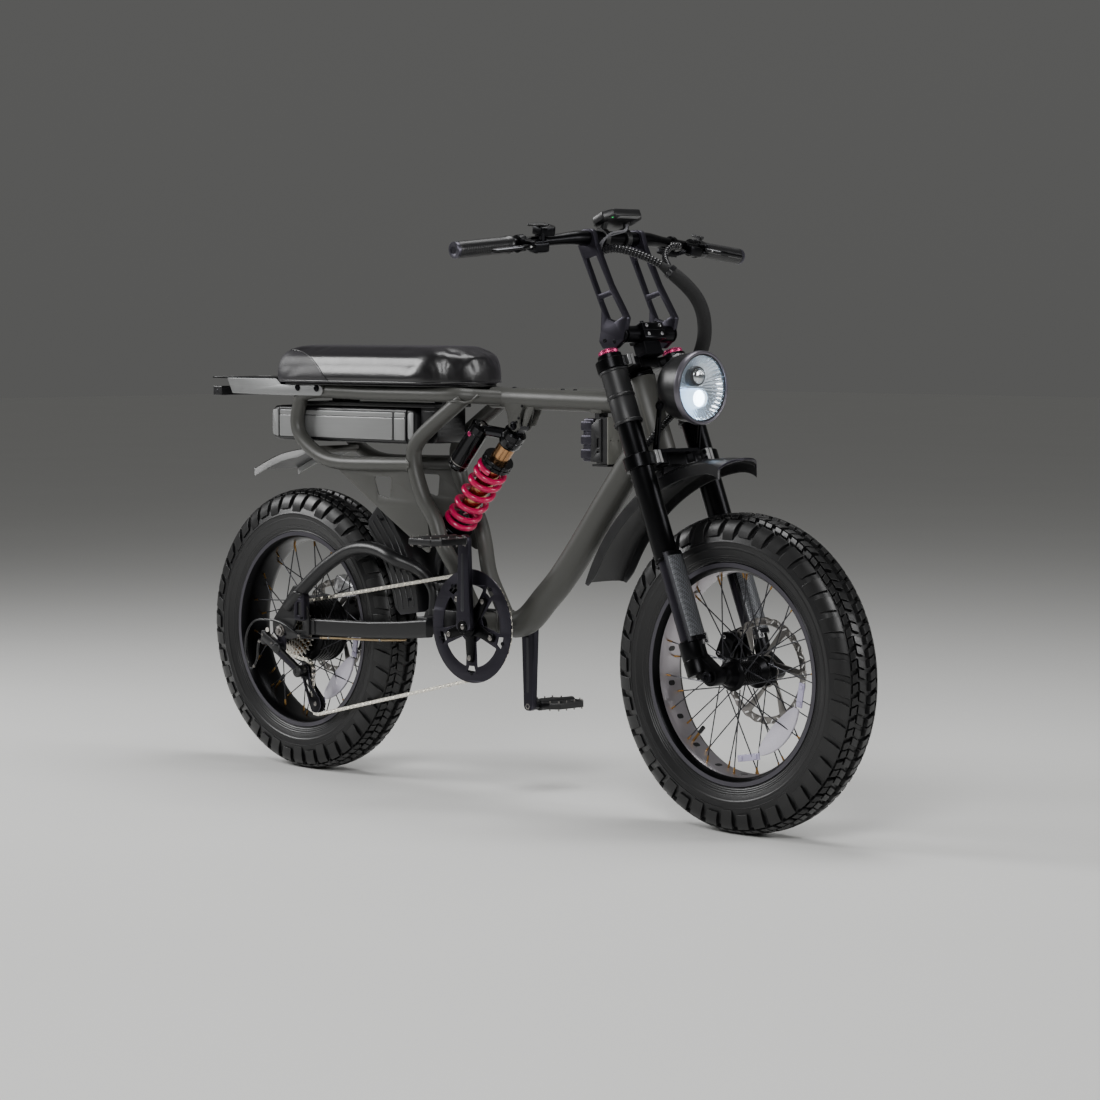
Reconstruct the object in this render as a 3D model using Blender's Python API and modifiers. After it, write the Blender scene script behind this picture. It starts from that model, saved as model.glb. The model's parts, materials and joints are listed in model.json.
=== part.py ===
"""Full suspension electric bicycle with fat tyres, a bench seat and a slide out battery.

Metres, +Z up, +X forward, +Y to the rider's left. The origin is on the ground, midway between the axles.
"""
import math

import bmesh
import bpy
from mathutils import Matrix, Vector

# General
GAP = 0.0003  # running gap between pieces that touch
WHEELBASE = 1.241
SIDES = (-1, 1)  # right side first
LABELS = ("right", "left")

# Wheels and tyres
WHEEL_RADIUS = 0.300
TYRE_WIDTH = 0.100
BEAD_RADIUS = 0.204
RIM_WIDTH = 0.080
RIM_DEPTH = 0.014
RIM_FLANGE = 0.006
SPOKE_COUNT = 36
SPOKE_RADIUS = 0.0012
FRONT_FLANGE_RADIUS = 0.031
FRONT_FLANGE_SPAN = 0.068
FRONT_HUB_RADIUS = 0.021
MOTOR_RADIUS = 0.072
MOTOR_WIDTH = 0.076
REAR_FLANGE_SPAN = 0.066
ROTOR_RADIUS = 0.1015
ROTOR_THICKNESS = 0.002
ROTOR_Y = 0.0585
ROTOR_ARMS = 6

# Front end, measured along and ahead of the fork legs
HEAD_TILT = math.radians(22.0)
AXLE_LEAD = 0.0284
FENDER_RADIUS = 0.400
CROWN_OFFSET = 0.020
LEG_SPACING = 0.176
LEG_RADIUS = 0.0232
LEG_BOTTOM = 0.235
SLEEVE_RADIUS = 0.026
BAND_HEIGHT = 0.006
BAND_PROUD = 0.0022
STANCHION_RADIUS = 0.0190
STANCHION_TOP = 0.390
DROPOUT_TOP = 0.080
LOWER_CROWN_HEIGHT = 0.4315
LOWER_CROWN_THICKNESS = 0.026
UPPER_CROWN_HEIGHT = LOWER_CROWN_HEIGHT + 0.1960
UPPER_CROWN_THICKNESS = 0.021
LEG_TOP = UPPER_CROWN_HEIGHT + 0.0205
SLEEVE_BOTTOM = LOWER_CROWN_HEIGHT + 0.0765
CROWN_WALL = 0.007
CROWN_BRIDGE = 0.9  # the bridge's share of the clamps' thickness
KNOB_HEIGHT = 0.010
KNOB_RADIUS = 0.0195
STEERER_RADIUS = 0.0143
HEAD_TUBE_RADIUS = 0.029
HEAD_TUBE_BOTTOM = LOWER_CROWN_HEIGHT + 0.0240
HEAD_TUBE_TOP = HEAD_TUBE_BOTTOM + 0.1505
HEADSET_HEIGHT = 0.010
FRONT_AXLE_RADIUS = 0.0075
FRONT_HUB_WIDTH = 0.110
FORK_TRAVEL = 0.080
CALIPER_WIDTH = 0.034
FRONT_CALIPER_ANGLE = math.radians(156)
REAR_CALIPER_ANGLE = math.radians(65)
FENDER_SPAN = (math.radians(90), math.radians(158))
FRONT_FENDER_WIDTH = 0.108
FENDER_SKIRT = 0.024

# Handlebar and riser
STEM_REACH = 0.0464
STEM_HEIGHT = UPPER_CROWN_HEIGHT + 0.0528
STEM_BAR_RADIUS = 0.0165
RISER_SPACING = 0.132
RISER_THICKNESS = 0.012
BAR_BACK = 0.0900
BAR_RISE = 0.1830
BAR_RADIUS = 0.0145
BAR_END_RADIUS = 0.0111
BAR_WIDTH = 0.786
BAR_SWEEP = 0.027
BAR_DROP = 0.028
BAR_STRAIGHT = 0.200
GRIP_LENGTH = 0.135
GRIP_RADIUS = 0.0158
PERCH_Y = BAR_WIDTH / 2 - GRIP_LENGTH - 0.022
PERCH_WIDTH = 0.026
LEVER_LENGTH = 0.105
LEVER_THICKNESS = 0.0084
LEVER_DROOP = 0.22
LEVER_PIVOT_AHEAD = 0.035
LEVER_PIVOT_DROP = 0.004
SHIFTER_Y = BAR_WIDTH / 2 - GRIP_LENGTH - 0.072
KEYPAD_Y = BAR_WIDTH / 2 - GRIP_LENGTH - 0.088
DISPLAY_SIZE = (0.060, 0.104, 0.015)
LOOM_RADIUS = 0.0140
LOOM_END = (0.4330, -0.0770, -0.004)

# Headlight
LAMP_RADIUS = 0.070
LAMP_DEPTH = 0.088
LAMP_AHEAD = 0.1277
LAMP_HEIGHT = LOWER_CROWN_HEIGHT + 0.1000
LAMP_PIVOT_BACK = 0.060
LAMP_PIVOT_DROP = 0.034
LAMP_EAR_SPAN = 0.1125

# Frame, placed from the crank axle
CHAINSTAY = 0.572
CRANK_AXLE_HEIGHT = 0.3475
SHELL_RADIUS = 0.023
SHELL_WIDTH = 0.100
PIVOT_BACK = 0.0565
PIVOT_UP = 0.0045
PIVOT_TUBE_RADIUS = 0.014
PIVOT_TUBE_WIDTH = 0.068
PIVOT_BOLT_RADIUS = 0.006
DOWN_TUBE_RADIUS = 0.0284
DOWN_TUBE_JOIN = HEAD_TUBE_BOTTOM + 0.0525
TOP_TUBE_RADIUS = 0.021
TOP_TUBE_JOIN = HEAD_TUBE_BOTTOM + 0.1001
TOP_TUBE_END = -0.0115
TOP_TUBE_HEIGHT = 0.4555
RAIL_RADIUS = 0.015
RAIL_SPACING = 0.134
RAIL_HEIGHT = 0.4605
LOOP_BOTTOM = 0.3155
LOOP_BACK = 0.540
SEAT_TUBE_RADIUS = 0.016
SEAT_TUBE_SPACING = 0.120
GUSSET_THICKNESS = 0.003
SHOCK_PLATE = 0.004
SHOCK_PLATE_Y = 0.0165
HORN_PLACE = (0.2925, 0.3775)

# Swingarm
ARM_HEIGHT = 0.034
ARM_WIDTH = 0.020
ARM_Y = 0.076
DROPOUT_SPACING = 0.1752
DROPOUT_THICKNESS = 0.006
ARCH_RADIUS = 0.014
ARCH_APEX = 0.489
ARCH_Y = 0.0775
EAR_Y = 0.0413
EAR_WIDTH = 0.0125
TOWER_Y = 0.0185
REAR_AXLE_RADIUS = 0.007
FENDER_INNER = 0.325
FENDER_OUTER = 0.398
FENDER_WIDTH = 0.104
FENDER_WALL = 0.003
FENDER_SPAN_REAR = (math.radians(9), math.radians(46))

# Shock
SHOCK_TOP = (0.065, 0.4005)
SHOCK_BOTTOM = (-0.142, 0.1685)
SPRING_RADIUS = 0.0285
SPRING_WIRE = 0.0055
SPRING_TURNS = 6.0
SPRING_START = 0.034
SPRING_LENGTH = 0.168
DAMPER_RADIUS = 0.0185
SHAFT_RADIUS = 0.0065
EYE_RADIUS = 0.0125
EYE_WIDTH = 0.026
EYE_BORE = 0.0075
SHOCK_BOLT_RADIUS = 0.0050
RESERVOIR_RADIUS = 0.0205
RESERVOIR_LENGTH = 0.118
RESERVOIR_START = 0.142
RESERVOIR_AWAY = 0.060
RESERVOIR_Y = -0.028
SHAFT_TOP = 0.130

# Seat, tail and battery
SEAT_LENGTH = 0.532
SEAT_WIDTH = 0.220
SEAT_HEIGHT = 0.077
SEAT_FRONT = -0.043
SEAT_NOSE = 0.110
SEAT_PAN_THICKNESS = 0.004
SEAM_DEPTH = 0.003
TAIL_PLATE_THICKNESS = 0.003
TAIL_BACK = -0.814
FLAP_WIDTH = 0.124
FLAP_THICKNESS = 0.003
BATTERY_LENGTH = 0.466
BATTERY_WIDTH = 0.104
BATTERY_HEIGHT = 0.075
BATTERY_TOP = 0.4310
BATTERY_FRONT = -0.189

# Drive
CHAINRING_TEETH = 52
SPROCKET_TEETH = (28, 25, 22, 20, 18, 16, 14)
PULLEY_TEETH = 11
CHAIN_PITCH = 0.0127
CHAIN_LINE = 0.066
CHAIN_PLATE = 0.0012
CHAIN_HEIGHT = 0.0080
TOOTH_THICKNESS = 0.0020
SPROCKET_INNER_Y = 0.0520
SPROCKET_STEP = 0.0048
GUARD_RADIUS = 0.114
GUARD_THICKNESS = 0.003
CRANK_LENGTH = 0.175
CRANK_WIDTH = 0.024
CRANK_THICKNESS = 0.014
CRANK_Y = 0.0905
SPINDLE_RADIUS = 0.0085
HANGER = (0.002, -0.036)
GUIDE_PULLEY = (0.035, -0.085)
TENSION_PULLEY = (0.072, -0.153)
BOLT_CIRCLE = 0.064
CAGE_HALF = 0.0062
CAGE_PLATE = 0.0020
CHAIN_SLOT = 0.0028
CABLE_RADIUS = 0.0025
PEDAL_LENGTH = 0.096
PEDAL_INNER = 0.114
PEDAL_WIDTH = 0.098
PEDAL_THICKNESS = 0.016
PEDAL_SPINDLE_RADIUS = 0.0060

REAR_AXLE = Vector((-WHEELBASE / 2, 0, WHEEL_RADIUS))
FRONT_AXLE = Vector((WHEELBASE / 2, 0, WHEEL_RADIUS))
CRANK_AXLE = Vector((REAR_AXLE.x + CHAINSTAY, 0, CRANK_AXLE_HEIGHT))
SWING_PIVOT = CRANK_AXLE + Vector((-PIVOT_BACK, 0, PIVOT_UP))
UP = Vector((-math.sin(HEAD_TILT), 0, math.cos(HEAD_TILT)))
AHEAD = Vector((math.cos(HEAD_TILT), 0, math.sin(HEAD_TILT)))
ACROSS = Vector((0, 1, 0))
LEG_Y = LEG_SPACING / 2
RAIL_Y = RAIL_SPACING / 2
SEAT_TUBE_Y = SEAT_TUBE_SPACING / 2


def make_collection(name):
    """Adds a collection to the scene."""
    collection = bpy.data.collections.new(name)
    bpy.context.scene.collection.children.link(collection)
    return collection


def clear_scene():
    """Removes the objects that a new file starts with."""
    for obj in list(bpy.data.objects):
        bpy.data.objects.remove(obj)


clear_scene()
PARTS = make_collection("electric_bicycle")
CUTTERS = make_collection("cutters")


def finish(name, colour, roughness, metallic):
    """Makes a plain material from an sRGB hex colour."""
    material = bpy.data.materials.new(name)
    material.use_nodes = True
    shader = material.node_tree.nodes["Principled BSDF"]
    values = [int(colour[i : i + 2], 16) / 255 for i in (0, 2, 4)]
    linear = [v / 12.92 if v <= 0.04045 else ((v + 0.055) / 1.055) ** 2.4 for v in values]
    shader.inputs["Base Color"].default_value = (*linear, 1)
    shader.inputs["Roughness"].default_value = roughness
    shader.inputs["Metallic"].default_value = metallic
    return material


OLIVE_PAINT = finish("olive_grey_paint", "4d4d48", 0.55, 0.1)
BLACK_PAINT = finish("black_paint", "18181a", 0.45, 0.1)
BLACK_METAL = finish("black_anodised_metal", "141416", 0.35, 0.8)
GREY_METAL = finish("grey_anodised_metal", "4a464c", 0.40, 0.7)
PALE_METAL = finish("pale_brushed_metal", "a8a8a8", 0.35, 0.8)
STEEL = finish("bright_steel", "c4c2be", 0.25, 1.0)
BRONZE = finish("bronze_coating", "8a6a3c", 0.30, 0.9)
PINK_METAL = finish("pink_anodised_metal", "c0407a", 0.30, 0.7)
MAGENTA_PAINT = finish("magenta_paint", "d01060", 0.25, 0.0)
BLACK_PLASTIC = finish("black_plastic", "161618", 0.50, 0.0)
RUBBER = finish("black_rubber", "1c1c1e", 0.80, 0.0)
VINYL = finish("black_vinyl", "1e1e22", 0.35, 0.0)
CLEAR = finish("clear_plastic", "e8eef0", 0.05, 0.0)
RED_LENS = finish("red_lens", "7a1214", 0.15, 0.0)


def to_mesh(obj):
    """Replaces a curve, or an object with modifiers, by a plain mesh in world coordinates."""
    graph = bpy.context.evaluated_depsgraph_get()
    mesh = bpy.data.meshes.new_from_object(obj.evaluated_get(graph))
    mesh.transform(obj.matrix_world)
    data = obj.data
    bpy.data.objects.remove(obj)
    if data.users == 0 and isinstance(data, bpy.types.Curve):
        bpy.data.curves.remove(data)
    shape = bmesh.new()
    shape.from_mesh(mesh)
    bmesh.ops.remove_doubles(shape, verts=shape.verts, dist=0.000005)
    bmesh.ops.recalc_face_normals(shape, faces=shape.faces)
    shape.to_mesh(mesh)
    shape.free()
    mesh.materials.clear()
    return mesh


def keep(shape):
    """Turns a bmesh into a mesh with its faces pointing out."""
    bmesh.ops.recalc_face_normals(shape, faces=shape.faces)
    mesh = bpy.data.meshes.new("shape")
    shape.to_mesh(mesh)
    shape.free()
    return mesh


def axes_from(direction, across=ACROSS):
    """A rotation whose Z axis is the direction and whose Y axis is as near across as it can be."""
    z = Vector(direction).normalized()
    x = Vector(across).cross(z)
    if x.length < 1e-6:
        x = Vector((1, 0, 0))
    x.normalize()
    y = z.cross(x)
    return Matrix((x, y, z)).transposed().to_4x4()


def block(size, centre, turn=None, bevel=0.0):
    """A box with its size along its own axes."""
    shape = bmesh.new()
    bmesh.ops.create_cube(shape, size=1)
    bmesh.ops.scale(shape, vec=size, verts=shape.verts)
    if bevel:
        bmesh.ops.bevel(shape, geom=shape.edges[:], offset=bevel, segments=1, affect="EDGES")
    place = Matrix.Translation(centre) @ (turn or Matrix.Identity(4))
    bmesh.ops.transform(shape, matrix=place, verts=shape.verts)
    return keep(shape)


def rod(start, end, radius, sides=16, end_radius=None):
    """A cylinder or a cone between two points."""
    start, end = Vector(start), Vector(end)
    shape = bmesh.new()
    far = radius if end_radius is None else end_radius
    length = (end - start).length
    bmesh.ops.create_cone(
        shape, cap_ends=True, segments=sides, radius1=radius, radius2=far, depth=length
    )
    place = Matrix.Translation((start + end) / 2) @ axes_from(end - start)
    bmesh.ops.transform(shape, matrix=place, verts=shape.verts)
    return keep(shape)


def turned(profile, point, direction, steps=24, closed=False):
    """A turned shape from (radius, height) points along a direction, by a Screw modifier."""
    mesh = bpy.data.meshes.new("profile")
    count = len(profile)
    edges = [(i, i + 1) for i in range(count - 1)]
    if closed:
        edges.append((count - 1, 0))
    mesh.from_pydata([(r, 0, h) for r, h in profile], edges, [])
    obj = bpy.data.objects.new("turned", mesh)
    CUTTERS.objects.link(obj)
    screw = obj.modifiers.new("Screw", "SCREW")
    screw.steps = steps
    screw.render_steps = steps
    screw.use_merge_vertices = True
    screw.merge_threshold = 0.00001
    obj.matrix_world = Matrix.Translation(point) @ axes_from(direction)
    return to_mesh(obj)


def ring(inner, outer, start, end, steps=24):
    """A plain ring between two points on its axis."""
    start, end = Vector(start), Vector(end)
    length = (end - start).length
    profile = [(outer, length), (outer, 0), (inner, 0), (inner, length)]
    return turned(profile, start, end - start, steps, closed=True)


def smooth(points, steps=4, least_turn=6.0):
    """Points of a smooth curve through the route's own points, fewer where it runs straight."""
    route = [Vector(p) for p in points]
    route = [2 * route[0] - route[1]] + route + [2 * route[-1] - route[-2]]
    found = []
    for a, b, c, d in zip(route, route[1:], route[2:], route[3:]):
        for k in range(steps):
            t = k / steps
            found.append(
                0.5
                * (
                    2 * b
                    + (c - a) * t
                    + (2 * a - 5 * b + 4 * c - d) * t * t
                    + (3 * b - a - 3 * c + d) * t**3
                )
            )
    found.append(route[-2])
    kept = [found[0]]
    for here, after in zip(found[1:], found[2:]):
        if math.degrees((here - kept[-1]).angle(after - here)) > least_turn:
            kept.append(here)
    return kept + [found[-1]]


def pipe(points, radius, resolution=3, cyclic=False, radii=None):
    """A round tube along points, as a curve with filled caps turned to a mesh."""
    curve = bpy.data.curves.new("route", "CURVE")
    curve.dimensions = "3D"
    curve.bevel_depth = radius
    curve.bevel_resolution = resolution
    curve.use_fill_caps = True
    spline = curve.splines.new("POLY")
    spline.points.add(len(points) - 1)
    for i, (target, point) in enumerate(zip(spline.points, points)):
        target.co = (*point, 1)
        target.radius = radii[i] if radii else 1.0
    spline.use_cyclic_u = cyclic
    obj = bpy.data.objects.new("pipe", curve)
    CUTTERS.objects.link(obj)
    return to_mesh(obj)


def plate(outlines, thickness, place):
    """A flat plate, with holes where an outline lies inside another, in the place's XY plane."""
    curve = bpy.data.curves.new("outline", "CURVE")
    curve.dimensions = "2D"
    curve.fill_mode = "BOTH"
    curve.extrude = thickness / 2
    for outline in outlines:
        spline = curve.splines.new("POLY")
        spline.points.add(len(outline) - 1)
        for target, point in zip(spline.points, outline):
            target.co = (point[0], point[1], 0, 1)
        spline.use_cyclic_u = True
    obj = bpy.data.objects.new("plate", curve)
    CUTTERS.objects.link(obj)
    obj.matrix_world = place
    return to_mesh(obj)


def upright(origin, y=0.0):
    """The place of a plate that stands along X and Z, with its outline counted from the origin."""
    return Matrix.Translation((origin[0], y, origin[2])) @ Matrix.Rotation(math.pi / 2, 4, "X")


def circle(radius, centre=(0, 0), count=16, start=0.0, end=2 * math.pi):
    """Points along a circle or, with an end angle, along an arc with both ends."""
    full = end - start >= 2 * math.pi - 1e-9
    last = count if full else count - 1
    angles = [start + (end - start) * i / last for i in range(count)]
    return [(centre[0] + radius * math.cos(a), centre[1] + radius * math.sin(a)) for a in angles]


def link_round(start, end, start_radius, end_radius, count=6):
    """The outline of a link with two round ends."""
    start, end = Vector(start), Vector(end)
    heading = math.atan2(end[1] - start[1], end[0] - start[0])
    lean = math.asin((start_radius - end_radius) / (end - start).length)
    first = circle(end_radius, end, count, heading - math.pi / 2 + lean, heading + math.pi / 2 - lean)
    turn = heading + math.pi / 2 - lean
    second = circle(start_radius, start, count, turn, turn + math.pi + 2 * lean)
    return first + second


def together(meshes):
    """Joins meshes that stand apart into one, for a single cut or union."""
    shape = bmesh.new()
    for mesh in meshes:
        shape.from_mesh(mesh)
        bpy.data.meshes.remove(mesh)
    joined = bpy.data.meshes.new("together")
    shape.to_mesh(joined)
    shape.free()
    return joined


def part(name, material, mesh, origin=(0, 0, 0), fuse=(), cut=(), smooth_angle=35):
    """Makes one named node from a solid, with more solids fused on or cut away."""
    mesh.name = name
    mesh.transform(Matrix.Translation(-Vector(origin)))
    mesh.materials.append(material)
    mesh.shade_smooth()
    mesh.set_sharp_from_angle(angle=math.radians(smooth_angle))
    obj = bpy.data.objects.new(name, mesh)
    obj.location = origin
    PARTS.objects.link(obj)
    for operation, tools in (("UNION", fuse), ("DIFFERENCE", cut)):
        for i, tool in enumerate(tools):
            helper = bpy.data.objects.new(f"{name}_{operation.lower()}_{i}", tool)
            helper.hide_render = True
            helper.display_type = "WIRE"
            CUTTERS.objects.link(helper)
            boolean = obj.modifiers.new(helper.name, "BOOLEAN")
            boolean.operation = operation
            boolean.solver = "EXACT"
            boolean.object = helper
    return obj


def on_fork(height, ahead=0.0, y=0.0):
    """A point by its height along the fork legs, its distance ahead of them and its side."""
    return FRONT_AXLE + UP * height + AHEAD * (ahead - AXLE_LEAD) + ACROSS * y


def on_steerer(height, ahead=0.0, y=0.0):
    """A point by its height and its distance ahead of the steering axis."""
    return on_fork(height, ahead - CROWN_OFFSET, y)


def from_crank(x, z, y=0.0):
    """A point counted from the crank axle."""
    return CRANK_AXLE + Vector((x, y, z))


def from_hub(x, z, y=0.0):
    """A point counted from the rear axle."""
    return REAR_AXLE + Vector((x, y, z))


FORK_TURN = axes_from(UP)
STEM_BAR = on_steerer(STEM_HEIGHT, STEM_REACH)
BAR_CENTRE = STEM_BAR + Vector((-BAR_BACK, 0, BAR_RISE))
LAMP_FACE = on_fork(LAMP_HEIGHT, LAMP_AHEAD)
LAMP_PIVOT = LAMP_FACE + Vector((-LAMP_PIVOT_BACK, 0, -LAMP_PIVOT_DROP))


# Wheels
def wheel(prefix, axle, flange_radius, flange_span):
    """The tyre and the rim with its spokes, which every wheel has."""
    half = TYRE_WIDTH / 2
    section = WHEEL_RADIUS - BEAD_RADIUS - RIM_FLANGE - 2 * GAP
    foot = RIM_WIDTH / 2 - RIM_FLANGE
    base = BEAD_RADIUS + RIM_FLANGE + 2 * GAP
    count = 7
    shoulder = []
    for i in range(count):
        angle = math.pi * i / (count - 1)
        width = half * abs(math.cos(angle)) ** 0.7 * math.copysign(1, math.cos(angle))
        height = base + section * (0.42 + 0.58 * math.sin(angle) ** 0.8)
        shoulder.append((height, width))
    seat = BEAD_RADIUS + 2 * GAP
    lip = RIM_WIDTH / 2 - GAP
    profile = shoulder + [(base, -lip), (seat, -foot), (seat, foot), (base, lip)]
    tyre = turned(profile, axle, ACROSS, 28, closed=True)
    part(f"{prefix}_tyre", RUBBER, tyre, axle)

    edge = RIM_WIDTH / 2
    bed = BEAD_RADIUS - RIM_DEPTH
    rim_profile = [
        (BEAD_RADIUS, foot),
        (BEAD_RADIUS + RIM_FLANGE, edge),
        (BEAD_RADIUS - RIM_FLANGE, edge),
        (bed, edge / 2),
        (bed, -edge / 2),
        (BEAD_RADIUS - RIM_FLANGE, -edge),
        (BEAD_RADIUS + RIM_FLANGE, -edge),
        (BEAD_RADIUS, -foot),
    ]
    rim = turned(rim_profile, axle, ACROSS, 28, closed=True)
    spokes = []
    for i in range(SPOKE_COUNT):
        side = SIDES[i % 2]
        rim_angle = 2 * math.pi * (i + 0.5) / SPOKE_COUNT
        lean = math.radians(38) * SIDES[(i // 2) % 2]
        hub_angle = rim_angle + lean
        outer = Vector((math.cos(rim_angle), 0, math.sin(rim_angle))) * (bed + RIM_DEPTH * 0.3)
        inner = Vector((math.cos(hub_angle), 0, math.sin(hub_angle))) * (flange_radius + SPOKE_RADIUS)
        shift = SPOKE_RADIUS * 1.6 * SIDES[(i // 2) % 2]
        inner += ACROSS * (side * flange_span / 2 + shift)
        outer += ACROSS * (side * edge * 0.3 + shift)
        spokes.append(rod(axle + inner, axle + outer, SPOKE_RADIUS, 3))
    part(f"{prefix}_rim", BLACK_METAL, rim, axle, fuse=[together(spokes)])


def rotor(name, axle, bore, sides):
    """A vented brake disc with curved arms, on the left of the hub."""
    band = 0.015
    holes = []
    core = bore + 0.010
    for i in range(ROTOR_ARMS):
        first = 2 * math.pi * i / ROTOR_ARMS
        width = 2 * math.pi / ROTOR_ARMS
        outer = circle(ROTOR_RADIUS - band, (0, 0), 3, first + 0.12, first + width - 0.12)
        inner = circle(core, (0, 0), 3, first + 0.62, first + width + 0.20)
        holes.append(outer + inner[::-1])
    outlines = [circle(ROTOR_RADIUS, count=24), circle(bore, count=sides)] + holes
    place = upright(axle, ROTOR_Y)
    part(name, STEEL, plate(outlines, ROTOR_THICKNESS, place), axle)


def front_wheel():
    """Front tyre, rim, hub and disc."""
    wheel("front", FRONT_AXLE, FRONT_FLANGE_RADIUS, FRONT_FLANGE_SPAN)
    half = FRONT_HUB_WIDTH / 2
    flange = FRONT_FLANGE_SPAN / 2
    bore = FRONT_AXLE_RADIUS + GAP
    rotor_seat = ROTOR_Y - ROTOR_THICKNESS / 2 - GAP
    profile = [
        (bore, half + 0.014),
        (0.012, half + 0.014),
        (0.0215, ROTOR_Y + 0.002),
        (0.0215, rotor_seat),
        (FRONT_HUB_RADIUS + 0.008, rotor_seat),
        (FRONT_FLANGE_RADIUS, flange + 0.003),
        (FRONT_FLANGE_RADIUS, flange - 0.003),
        (FRONT_HUB_RADIUS, flange - 0.010),
        (FRONT_HUB_RADIUS, -flange + 0.010),
        (FRONT_FLANGE_RADIUS, -flange + 0.003),
        (FRONT_FLANGE_RADIUS, -flange - 0.003),
        (0.017, -half),
        (0.012, -half - 0.014),
        (bore, -half - 0.014),
    ]
    hub = turned(profile, FRONT_AXLE, ACROSS, 12, closed=True)
    part("front_hub", BLACK_METAL, hub, FRONT_AXLE)
    rotor("front_rotor", FRONT_AXLE, 0.0215 + GAP, 12)


def rear_wheel():
    """Rear tyre, rim, hub motor and disc."""
    wheel("rear", REAR_AXLE, MOTOR_RADIUS, REAR_FLANGE_SPAN)
    half = MOTOR_WIDTH / 2
    bore = REAR_AXLE_RADIUS + GAP
    rotor_seat = ROTOR_Y - ROTOR_THICKNESS / 2 - GAP
    cassette_seat = SPROCKET_INNER_Y - 0.003
    profile = [
        (bore, DROPOUT_SPACING / 2 - 0.008),
        (0.014, DROPOUT_SPACING / 2 - 0.008),
        (0.0215, ROTOR_Y + 0.002),
        (0.0215, rotor_seat),
        (0.034, rotor_seat),
        (0.036, half + 0.006),
        (MOTOR_RADIUS - 0.008, half),
        (MOTOR_RADIUS, half - 0.006),
        (MOTOR_RADIUS, -half + 0.006),
        (MOTOR_RADIUS - 0.008, -half),
        (0.030, -half - 0.004),
        (0.024, -cassette_seat),
        (bore, -cassette_seat),
    ]
    shell = turned(profile, REAR_AXLE, ACROSS, 16, closed=True)
    part("hub_motor", BLACK_METAL, shell, REAR_AXLE)
    rotor("rear_rotor", REAR_AXLE, 0.0215 + GAP, 16)


# Fork
def clamp_pair(height, thickness):
    """One crown: two leg clamps with bolt noses, a bridge and the steerer clamp."""
    low, high = height - thickness / 2, height + thickness / 2
    bridge = (0.060, LEG_SPACING, thickness * CROWN_BRIDGE)
    pieces = [block(bridge, on_steerer(height, 0.016), FORK_TURN)]
    pieces.append(rod(on_steerer(low), on_steerer(high), STEERER_RADIUS + CROWN_WALL, 12))
    holes = []
    for side in SIDES:
        y = side * LEG_Y
        pieces.append(rod(on_fork(low, 0, y), on_fork(high, 0, y), LEG_RADIUS + CROWN_WALL, 12))
        ahead = LEG_RADIUS + CROWN_WALL - 0.004
        nose_place = on_fork(height, ahead, y - side * 0.018)
        pieces.append(block((0.020, 0.016, thickness * 0.98), nose_place, FORK_TURN))
        holes.append(rod(on_fork(low - 0.01, 0, y), on_fork(high + 0.01, 0, y), LEG_RADIUS + GAP, 12))
    return pieces, holes


def light_bracket():
    """A foot on the lower crown with two struts that end in the headlight's pivot discs."""
    crown_top = LOWER_CROWN_HEIGHT + LOWER_CROWN_THICKNESS / 2
    foot = on_steerer(crown_top + 0.001, 0.038)
    pieces = [block((0.014, LAMP_EAR_SPAN + 0.006, 0.008), foot, FORK_TURN)]
    for side in SIDES:
        y = side * (LAMP_EAR_SPAN / 2 + GAP)
        middle = Vector(((foot.x + LAMP_PIVOT.x) / 2, y, (foot.z + LAMP_PIVOT.z) / 2))
        reach = Vector((LAMP_PIVOT.x - foot.x, 0, LAMP_PIVOT.z - foot.z))
        pieces.append(block((0.012, 0.004, reach.length + 0.006), middle, axes_from(reach)))
        disc = LAMP_PIVOT + ACROSS * y
        pieces.append(rod(disc - ACROSS * 0.002, disc + ACROSS * 0.002, 0.009, 8))
    return pieces


def crowns():
    """Both crowns with the steerer tube that joins them and the headlight's bracket."""
    lower, lower_holes = clamp_pair(LOWER_CROWN_HEIGHT, LOWER_CROWN_THICKNESS)
    upper, upper_holes = clamp_pair(UPPER_CROWN_HEIGHT, UPPER_CROWN_THICKNESS)
    start = on_steerer(LOWER_CROWN_HEIGHT - LOWER_CROWN_THICKNESS / 2)
    end = on_steerer(UPPER_CROWN_HEIGHT + UPPER_CROWN_THICKNESS / 2 + 0.004)
    steerer = rod(start, end, STEERER_RADIUS, 12)
    holes = lower_holes + upper_holes
    joined = lower + upper + light_bracket()
    part("fork_crowns", BLACK_METAL, steerer, on_steerer(0), fuse=joined, cut=holes)


def leg_profile():
    """The outer tube of one leg with its sleeve, bands, wiper ring and blind bore."""
    sleeve_top = UPPER_CROWN_HEIGHT - UPPER_CROWN_THICKNESS / 2 - GAP
    band = SLEEVE_RADIUS + BAND_PROUD
    bore = STANCHION_RADIUS + GAP
    bore_top = STANCHION_TOP + FORK_TRAVEL + 0.004
    return [
        (0.0, LEG_TOP),
        (LEG_RADIUS, LEG_TOP),
        (LEG_RADIUS, sleeve_top),
        (band, sleeve_top),
        (band, sleeve_top - BAND_HEIGHT),
        (SLEEVE_RADIUS, sleeve_top - BAND_HEIGHT),
        (SLEEVE_RADIUS, SLEEVE_BOTTOM + BAND_HEIGHT),
        (band, SLEEVE_BOTTOM),
        (LEG_RADIUS, SLEEVE_BOTTOM),
        (LEG_RADIUS, LEG_BOTTOM),
        (bore, LEG_BOTTOM),
        (bore, bore_top),
        (0.0, bore_top),
    ]


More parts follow.
